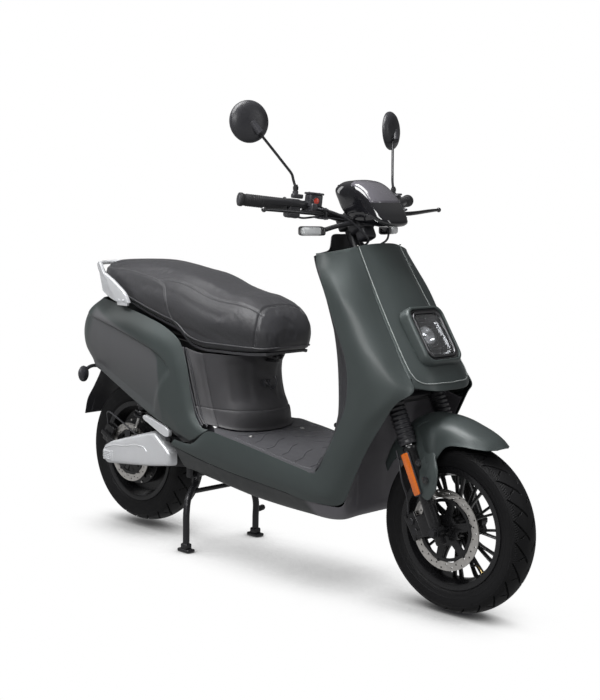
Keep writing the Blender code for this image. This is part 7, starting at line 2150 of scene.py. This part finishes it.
def bar_cables(end):
    """Hose and loom from the bar to the steering head."""
    side, mid, hold, off = end.side, end.mid, end.hold, end.off
    piece("bar_hose_" + end.word, tube([
        off(hold, 0.040, -0.010, -0.001), off(hold, 0.060, -0.045, -0.006),
        (0.322, side * 0.064, 1.020), (0.336, side * 0.040, 0.990),
        along(0.790, 0.030, side * 0.026), along(0.700, 0.036, side * 0.024)],
        0.0030, sides=12), SATIN, "steering")
    piece("switch_loom_" + end.word, tube([
        off(mid, 0, 0, -0.022), off(mid, 0, -0.020, -0.030), off(hold, 0, -0.030, -0.024),
        (0.246, side * 0.074, 1.044), (0.258, side * 0.026, 1.038)],
        0.0028, sides=12), SATIN, "steering")


for side, word in RIGHT_LEFT:
    end = bar_end(side, word)
    lever_pivot = Vector((LEVER_PIVOT.x, side * LEVER_PIVOT.y, LEVER_PIVOT.z))
    grip(end)
    switches(end)
    master_cylinder(end, lever_pivot)
    brake_lever(end, lever_pivot)
    mirror(end)
    bar_cables(end)


# --------------------------------------------------------------- front signals
def front_signal(side, word):
    """Case, ribbed lens and bright bars, swept back towards the outside."""
    turn = Matrix.Rotation(side * 0.42, 3, "Z")
    centre = Vector((0.2370, side * 0.1610, 1.0110))
    ahead, out = turn @ Vector((1, 0, 0)), turn @ Vector((0, side, 0))
    piece("signal_case_" + word, [
        block(centre - ahead * 0.0075, (0.0265, 0.0720, 0.0260), turn, 0.008, 5),
        block(centre - out * 0.0270 + ahead * 0.004, (0.026, 0.016, 0.0235), turn, 0.006)],
        GLOSS, "steering", "front_signal_bar", 40)
    piece("signal_lens_" + word, block(centre + ahead * 0.0085 + out * 0.0070,
                                       (0.0245, 0.0560, 0.0225), turn, 0.0075, 5),
          GLASS_RIB, "steering", sharp=40)
    bars = [block(centre + ahead * 0.0020 + out * 0.0070, (0.006, 0.050, 0.0175), turn, 0.002)]
    bars += [block(centre + ahead * 0.0062 + out * (0.0070 + 0.0075 * k),
                   (0.0030, 0.0030, 0.0165), turn, 0.0008) for k in range(-2, 3)]
    piece("signal_bulb_" + word, bars, CHROME, "steering")


piece("signal_bar_tube", [
    tube(full_row([(0.266, 0.094, 1.0250), (0.250, 0.1360, 1.0120)]), 0.0065, sides=24),
    rod((0.2660, 0, 1.025), (0.2790, 0, 1.0370), 0.0060, segments=24)],
    SATIN, "steering", "front_signal_bar")
for side, word in RIGHT_LEFT:
    front_signal(side, word)

# ------------------------------------------------------------------------ seat
# x, top, bottom, half width at the base, half width at the shoulder; from the rear forward
SEAT_STATIONS = np.array([
    (-0.802, 0.864, 0.812, 0.040, 0.045), (-0.780, 0.877, 0.795, 0.078, 0.082),
    (-0.730, 0.882, 0.785, 0.112, 0.116), (-0.660, 0.886, 0.772, 0.134, 0.136),
    (-0.590, 0.888, 0.758, 0.142, 0.142), (-0.500, 0.880, 0.731, 0.144, 0.145),
    (-0.420, 0.869, 0.709, 0.144, 0.147), (-0.350, 0.860, 0.690, 0.145, 0.149),
    (-0.300, 0.848, 0.655, 0.146, 0.151), (-0.240, 0.829, 0.641, 0.147, 0.152),
    (-0.170, 0.812, 0.641, 0.145, 0.150), (-0.100, 0.803, 0.641, 0.137, 0.143),
    (-0.045, 0.782, 0.642, 0.122, 0.130), (-0.008, 0.748, 0.644, 0.100, 0.108),
    (0.016, 0.712, 0.652, 0.066, 0.074)])
seat_x, seat_top, seat_bottom = SEAT_STATIONS[:, 0], SEAT_STATIONS[:, 1], SEAT_STATIONS[:, 2]
seat_curves = [catmull(np.stack([seat_x, column, 0 * seat_x], 1), 400)
               for column in SEAT_STATIONS.T[1:]]
fine_x = np.interp(np.linspace(0, 1, 150), np.linspace(0, 1, len(seat_x)), seat_x)


def seat_ring(x):
    """The seat's section at x: 40 points from the middle of the top down the left, and back."""
    top, bottom, base, shoulder = [float(np.interp(x, c[:, 0], c[:, 1])) for c in seat_curves]
    # room for the cover to swell
    top, bottom, base, shoulder = top - 0.003, bottom + 0.001, base - 0.003, shoulder - 0.003
    h = top - bottom
    half = [(0.0, top), (0.30 * shoulder, top - 0.008 * h), (0.58 * shoulder, top - 0.045 * h),
            (0.80 * shoulder, top - 0.13 * h), (0.93 * shoulder, top - 0.25 * h),
            (0.99 * shoulder, top - 0.40 * h), (shoulder, top - 0.58 * h),
            (0.985 * base, bottom + 0.16 * h), (0.978 * base, bottom + 0.045 * h),
            (0.930 * base, bottom)]
    ring = [Vector((x, y, z)) for y, z, _ in catmull([(y, z, 0.0) for y, z in half], 40)]
    return ring + [Vector((x, -p.y, p.z)) for p in reversed(ring[1:])]


def simulate_cushion(mesh):
    """Lets the cover swell over its foam: one short cloth simulation, its movement capped."""
    start = baked(mesh, [("REMESH", dict(mode="VOXEL", voxel_size=0.0060))])
    # the voxel grid leaves steps: relax them away before the cover is stretched
    bm = bmesh.new()
    bm.from_mesh(start)
    for _ in range(10):
        bmesh.ops.smooth_vert(bm, verts=bm.verts, factor=0.5, use_axis_x=True, use_axis_y=True,
                              use_axis_z=True)
    bm.to_mesh(start)
    bm.free()
    before = vectors_of(start.vertices, "co")
    work = linked("cushion_cloth", start)
    group = work.vertex_groups.new(name="held")
    low = np.interp(before[:, 0], seat_x, seat_bottom)
    group.add([int(i) for i in np.nonzero(before[:, 2] < low + 0.014)[0]], 1.0, "REPLACE")
    cloth = work.modifiers.new("cloth", "CLOTH")
    settings = cloth.settings
    settings.quality = 5
    settings.mass = 0.3
    settings.tension_stiffness = settings.compression_stiffness = 18.0
    settings.shear_stiffness = 6.0
    settings.bending_stiffness = 1.2
    settings.use_pressure = True
    settings.uniform_pressure_force = 4.0
    settings.vertex_group_mass = "held"
    settings.effector_weights.gravity = 0.0
    cloth.collision_settings.use_collision = False
    cloth.point_cache.frame_start, cloth.point_cache.frame_end = 1, 20
    for frame in range(1, 21):
        scene.frame_set(frame)
    out = evaluated(work)
    scene.frame_set(1)
    move = vectors_of(out.vertices, "co") - before
    size = np.linalg.norm(move, axis=1, keepdims=True)
    move *= np.minimum(1.0, 0.0040 / np.maximum(size, 1e-9))
    move[~np.isfinite(move).all(axis=1)] = 0.0
    out.vertices.foreach_set("co", (before + move).ravel())
    out.update()
    return out


cushion = simulate_cushion(loft([seat_ring(x) for x in fine_x]))
cushion = baked(cushion, [("SUBSURF", dict(levels=1, render_levels=1))])


def on_seat(tree, p, height=0.0):
    """The nearest place on the cushion, raised by a height, and the normal out of it."""
    hit, normal, _, _ = tree.find_nearest(Vector(p))
    centre = Vector((p[0], 0.0, np.interp(p[0], seat_x, (seat_top + seat_bottom) / 2)))
    if normal.dot(hit - centre) < 0:
        normal = -normal
    return hit + normal * height, normal


# upper edge seam on the left from the rear, dropping down the side at the step
SIDE_SEAM = [(-0.795, 0.030, 0.872), (-0.780, 0.066, 0.867), (-0.735, 0.103, 0.866),
             (-0.665, 0.126, 0.867), (-0.607, 0.134, 0.869), (-0.527, 0.137, 0.861),
             (-0.455, 0.139, 0.846), (-0.420, 0.140, 0.826), (-0.400, 0.142, 0.790),
             (-0.381, 0.145, 0.733), (-0.362, 0.146, 0.690)]
# edge seam of the lower front seat, on the left
FRONT_SEAM = [(-0.455, 0.139, 0.846), (-0.400, 0.128, 0.846), (-0.340, 0.122, 0.838),
              (-0.280, 0.121, 0.820), (-0.210, 0.120, 0.800), (-0.140, 0.112, 0.790),
              (-0.085, 0.104, 0.780), (-0.045, 0.094, 0.768), (-0.024, 0.090, 0.762)]
# left half of the seam round the nose, from the base up to the middle
NOSE_SEAM = [(-0.034, 0.116, 0.646), (-0.029, 0.118, 0.668), (-0.022, 0.112, 0.730),
             (-0.022, 0.100, 0.762), (-0.030, 0.070, 0.783), (-0.036, 0.035, 0.789),
             (-0.038, 0.0, 0.790)]
smooth_tree = surface_tree(cushion)
seam_curves = [catmull(flipped(points, side), 90)
               for points in (SIDE_SEAM, FRONT_SEAM) for side in SIDES]
seam_curves.append(catmull(NOSE_SEAM + flipped(NOSE_SEAM[:-1], -1)[::-1], 150))
groove_paths = [[on_seat(smooth_tree, p)[0] for p in curve] for curve in seam_curves]


def press_seams(mesh, paths):
    """Presses a narrow groove along each path, with a slight rise beside it."""
    points = [p for path in paths for p in path]
    near = KDTree(len(points))
    for i, p in enumerate(points):
        near.insert(p, i)
    near.balance()
    places = vectors_of(mesh.vertices, "co")
    out = vectors_of(mesh.vertex_normals, "vector")
    for i in range(len(places)):
        _, _, distance = near.find(places[i])
        if distance < 0.020:
            groove = 0.0022 * math.exp(-(distance / 0.0042) ** 2)
            rise = 0.0006 * math.exp(-((distance - 0.0095) / 0.0045) ** 2)
            places[i] -= out[i] * (groove - rise)
    mesh.vertices.foreach_set("co", places.ravel())
    mesh.update()


press_seams(cushion, groove_paths)
seat_tree = surface_tree(cushion)
piece("cushion_cover", cushion, [VINYL, VINYL_SMOOTH], "seat", "seat_cushion", 60)
# the nose panel is a smoother cloth: faces ahead of its seam take the second material
for polygon in cushion.polygons:
    centre = polygon.center
    limit = np.interp(centre.z, [0.646, 0.668, 0.730, 0.762, 0.790],
                      [-0.034, -0.029, -0.022, -0.024, -0.037])
    if centre.x > limit + 0.001:
        polygon.material_index = 1
piece("seat_seam_cords", [
    tube([on_seat(seat_tree, p, 0.0003)[0] for p in path], 0.0010, sides=8, smooth=False)
    for path in groove_paths], THREAD, "seat")


def stitches(path):
    """Small blocks beside a seam, about every 6.2 mm."""
    points = np.array([list(p) for p in path])
    run = np.r_[0, np.cumsum(np.linalg.norm(np.diff(points, axis=0), axis=1))]

    def at(distance):
        return Vector([np.interp(distance, run, points[:, j]) for j in range(3)])

    made = []
    count = int(run[-1] / 0.0062)
    for k in range(1, count):
        distance = run[-1] * k / count
        p = at(distance)
        tangent = (at(min(run[-1], distance + 0.0015)) - p).normalized()
        surface, normal = on_seat(seat_tree, p)
        beside = normal.cross(tangent).normalized()
        place, normal = on_seat(seat_tree, surface + beside * 0.0048, 0.0002)
        tangent = (tangent - normal * tangent.dot(normal)).normalized()
        turn = Matrix((tangent, normal.cross(tangent), normal)).transposed()
        made.append(block(place, (0.0034, 0.0007, 0.0006), turn))
    return made


piece("seat_stitches", [mesh for path in groove_paths for mesh in stitches(path)], THREAD, "seat")

# piping: a cord round the lower edge of the cover
piping = [seat_ring(x)[36] - UP * 0.0005 for x in fine_x[2:-1:2]]
piece("seat_piping", tube(piping + flipped(piping[::-1], -1), 0.0028, sides=12, cyclic=True,
                          smooth=False), VINYL_SMOOTH, "seat")

# moulded base pan with its rim, hinge ears, latch loop and bumpers
pan_rings = []
for x, _, bottom, base, _ in SEAT_STATIONS[1:-1]:
    w = base * 0.88
    pan_rings.append(full_row([
        (x, w - 0.014, bottom - 0.0072), (x, w - 0.008, bottom - 0.0095),
        (x, w - 0.001, bottom - 0.0085), (x, w + 0.0006, bottom - 0.0030),
        (x, w, bottom - 0.0004)])[::-1])
# start each ring at the upper left edge and go round underneath to the right
pan_parts = [fix_normals(grid_mesh(smooth_lengthwise(pan_rings, 80), wrap_v=True, cap=True))]
for side in SIDES:
    pan_parts.append(cut(
        cross_rod(SEAT_HINGE, side * 0.0085, side * 0.0135, 0.0085, segments=40, bevel=0.0008),
        cross_rod(SEAT_HINGE, -0.03, 0.03, 0.0040)))
    pan_parts.append(block(SEAT_HINGE + Vector((0, side * 0.011, 0.0105)), (0.015, 0.005, 0.010),
                           bevel=0.001))
pan_parts.append(tube([(-0.640, y, z) for y, z in (
    (-0.016, 0.756), (-0.016, 0.744), (-0.010, 0.7385), (0.010, 0.7385), (0.016, 0.744),
    (0.016, 0.756))], 0.0032, sides=14))
BUMPER = [(0.0, -0.0045), (0.0065, -0.0040), (0.0078, -0.0025), (0.0080, 0.002), (0.0, 0.002)]
for x, y in ((-0.700, 0.080), (-0.520, 0.100), (-0.330, 0.106), (-0.150, 0.108)):
    z = float(np.interp(x, seat_x, seat_bottom)) - 0.0075
    pan_parts += [turned(BUMPER, (x, side * y, z), (0, 0, 1), 28) for side in SIDES]
piece("seat_pan", pan_parts, VINYL_SMOOTH, "seat", "seat_base", 40, slot="black_plastic")

# luggage hook
HOOK_EYE = mirror_profile([(0.0022, -0.0068), (0.0052, -0.0070), (0.0060, -0.0062)])
HOOK_PATH = ((-0.0860, -0.002), (-0.0660, -0.012), (-0.0560, -0.006), (-0.0500, 0.012),
             (-0.0560, 0.026))  # x, rise over the pivot
piece("hook_body", [turned(HOOK_EYE, (-0.0905, 0, HOOK_Z), steps=40),
                    tube([(x, 0, HOOK_Z + rise) for x, rise in HOOK_PATH], 0.0040, sides=20)],
      SATIN, "hook", "luggage_hook")

# ------------------------------------------------------------ stage and lights
floor_bm = bmesh.new()
bmesh.ops.create_grid(floor_bm, x_segments=8, y_segments=8, size=14.0)
floor_mesh = bpy.data.meshes.new("floor")
floor_bm.to_mesh(floor_mesh)
floor_bm.free()
floor_obj = linked("floor", floor_mesh)
floor_mesh.materials.append(STAGE_FLOOR)
floor_obj.location = (0, 0, -0.0005)


def area(name, location, target, size, size_y, power):
    data = bpy.data.lights.new(name, "AREA")
    data.shape = "RECTANGLE"
    data.size, data.size_y = size, size_y
    data.energy = power
    data.color = (1, 1, 1)
    obj = linked(name, data)
    obj.location = location
    aim = Vector(target) - Vector(location)
    obj.rotation_euler = aim.to_track_quat("-Z", "Y").to_euler()
    return obj


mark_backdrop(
    floor_obj,
    area("top_soft", location=(-0.3, -1.1, 3.4), target=(-0.1, 0, 0.5), size=1.6, size_y=2.6,
         power=150),
    area("front_strip", location=(3.4, 0.9, 1.9), target=(0.3, 0, 0.7), size=0.7, size_y=2.2,
         power=13),
    area("side_strip", location=(1.6, -3.6, 2.6), target=(0.0, 0, 0.5), size=2.6, size_y=0.7,
         power=66),
    area("rear_kick", location=(-3.0, -1.4, 2.2), target=(-0.4, 0, 0.7), size=0.8, size_y=1.8,
         power=12))

# white to the camera; to everything else a soft sky, darkest just above the horizon
SKY_STOPS = [(0.38, (0.80, 0.80, 0.80)), (0.49, (0.60, 0.60, 0.606)), (0.53, (0.16, 0.16, 0.1616)),
             (0.66, (0.14, 0.14, 0.1414)), (0.80, (0.34, 0.34, 0.3434)), (1.0, (0.62, 0.62, 0.63))]


def studio_world():
    world = bpy.data.worlds.new("studio")
    scene.world = world
    world.use_nodes = True
    tree = world.node_tree
    tree.nodes.clear()
    output = node(tree, "OutputWorld")
    mix = node(tree, "MixShader")
    seen = node(tree, "LightPath")
    white = node(tree, "Background", Color=(1, 1, 1, 1), Strength=1.0)
    soft = node(tree, "Background", Strength=0.62)
    direction = node(tree, "TexCoord")
    split = node(tree, "SeparateXYZ")
    ramp = ramp_node(tree, SKY_STOPS)
    tree.links.new(direction.outputs["Generated"], split.inputs[0])
    height = math_node(tree, "MULTIPLY_ADD", split.outputs["Z"], 0.5, 0.5)
    tree.links.new(height.outputs[0], ramp.inputs[0])
    tree.links.new(ramp.outputs[0], soft.inputs["Color"])
    tree.links.new(seen.outputs["Is Camera Ray"], mix.inputs[0])
    tree.links.new(soft.outputs[0], mix.inputs[1])
    tree.links.new(white.outputs[0], mix.inputs[2])
    tree.links.new(mix.outputs[0], output.inputs["Surface"])


studio_world()

# ---------------------------------------------------------------------- camera
CAMERA_PLACE = (2.8059, -2.8763, 1.1297)
AZIMUTH, ELEVATION, ROLL = [math.radians(angle) for angle in (44.3338, 7.6178, 1.1142)]
cam_data = bpy.data.cameras.new("camera")
# the frame is taller than wide, and the lens is set against its longer side
cam_data.sensor_width = 36.0
cam_data.sensor_fit = "AUTO"
cam_data.lens = 69.8129743
cam_data.shift_x = 0.01766357
cam_data.shift_y = 0.02646514
cam_data.clip_start, cam_data.clip_end = 0.05, 60.0
camera = linked("camera", cam_data)
back = Vector((math.sin(AZIMUTH) * math.cos(ELEVATION),
               -math.cos(AZIMUTH) * math.cos(ELEVATION), math.sin(ELEVATION)))
level = Vector((math.cos(AZIMUTH), math.sin(AZIMUTH), 0))
upright = back.cross(level)
cam_right = level * math.cos(ROLL) + upright * math.sin(ROLL)
cam_up = -level * math.sin(ROLL) + upright * math.cos(ROLL)
camera.matrix_world = (Matrix.Translation(CAMERA_PLACE)
                       @ Matrix((cam_right, cam_up, back)).transposed().to_4x4())
scene.camera = camera
scene.view_settings.view_transform = "Standard"

# ------------------------------------------------------------------------ size
size_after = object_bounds()


def plain(value):
    """A value as lists, dictionaries, strings and floats, ready for JSON."""
    if isinstance(value, dict):
        return {key: plain(item) for key, item in value.items()}
    if isinstance(value, (list, tuple, Vector, np.ndarray)):
        return [plain(item) for item in value]
    return float(value) if not isinstance(value, str) else value


{"before": plain(CAD_BOX), "after": plain(size_after)}
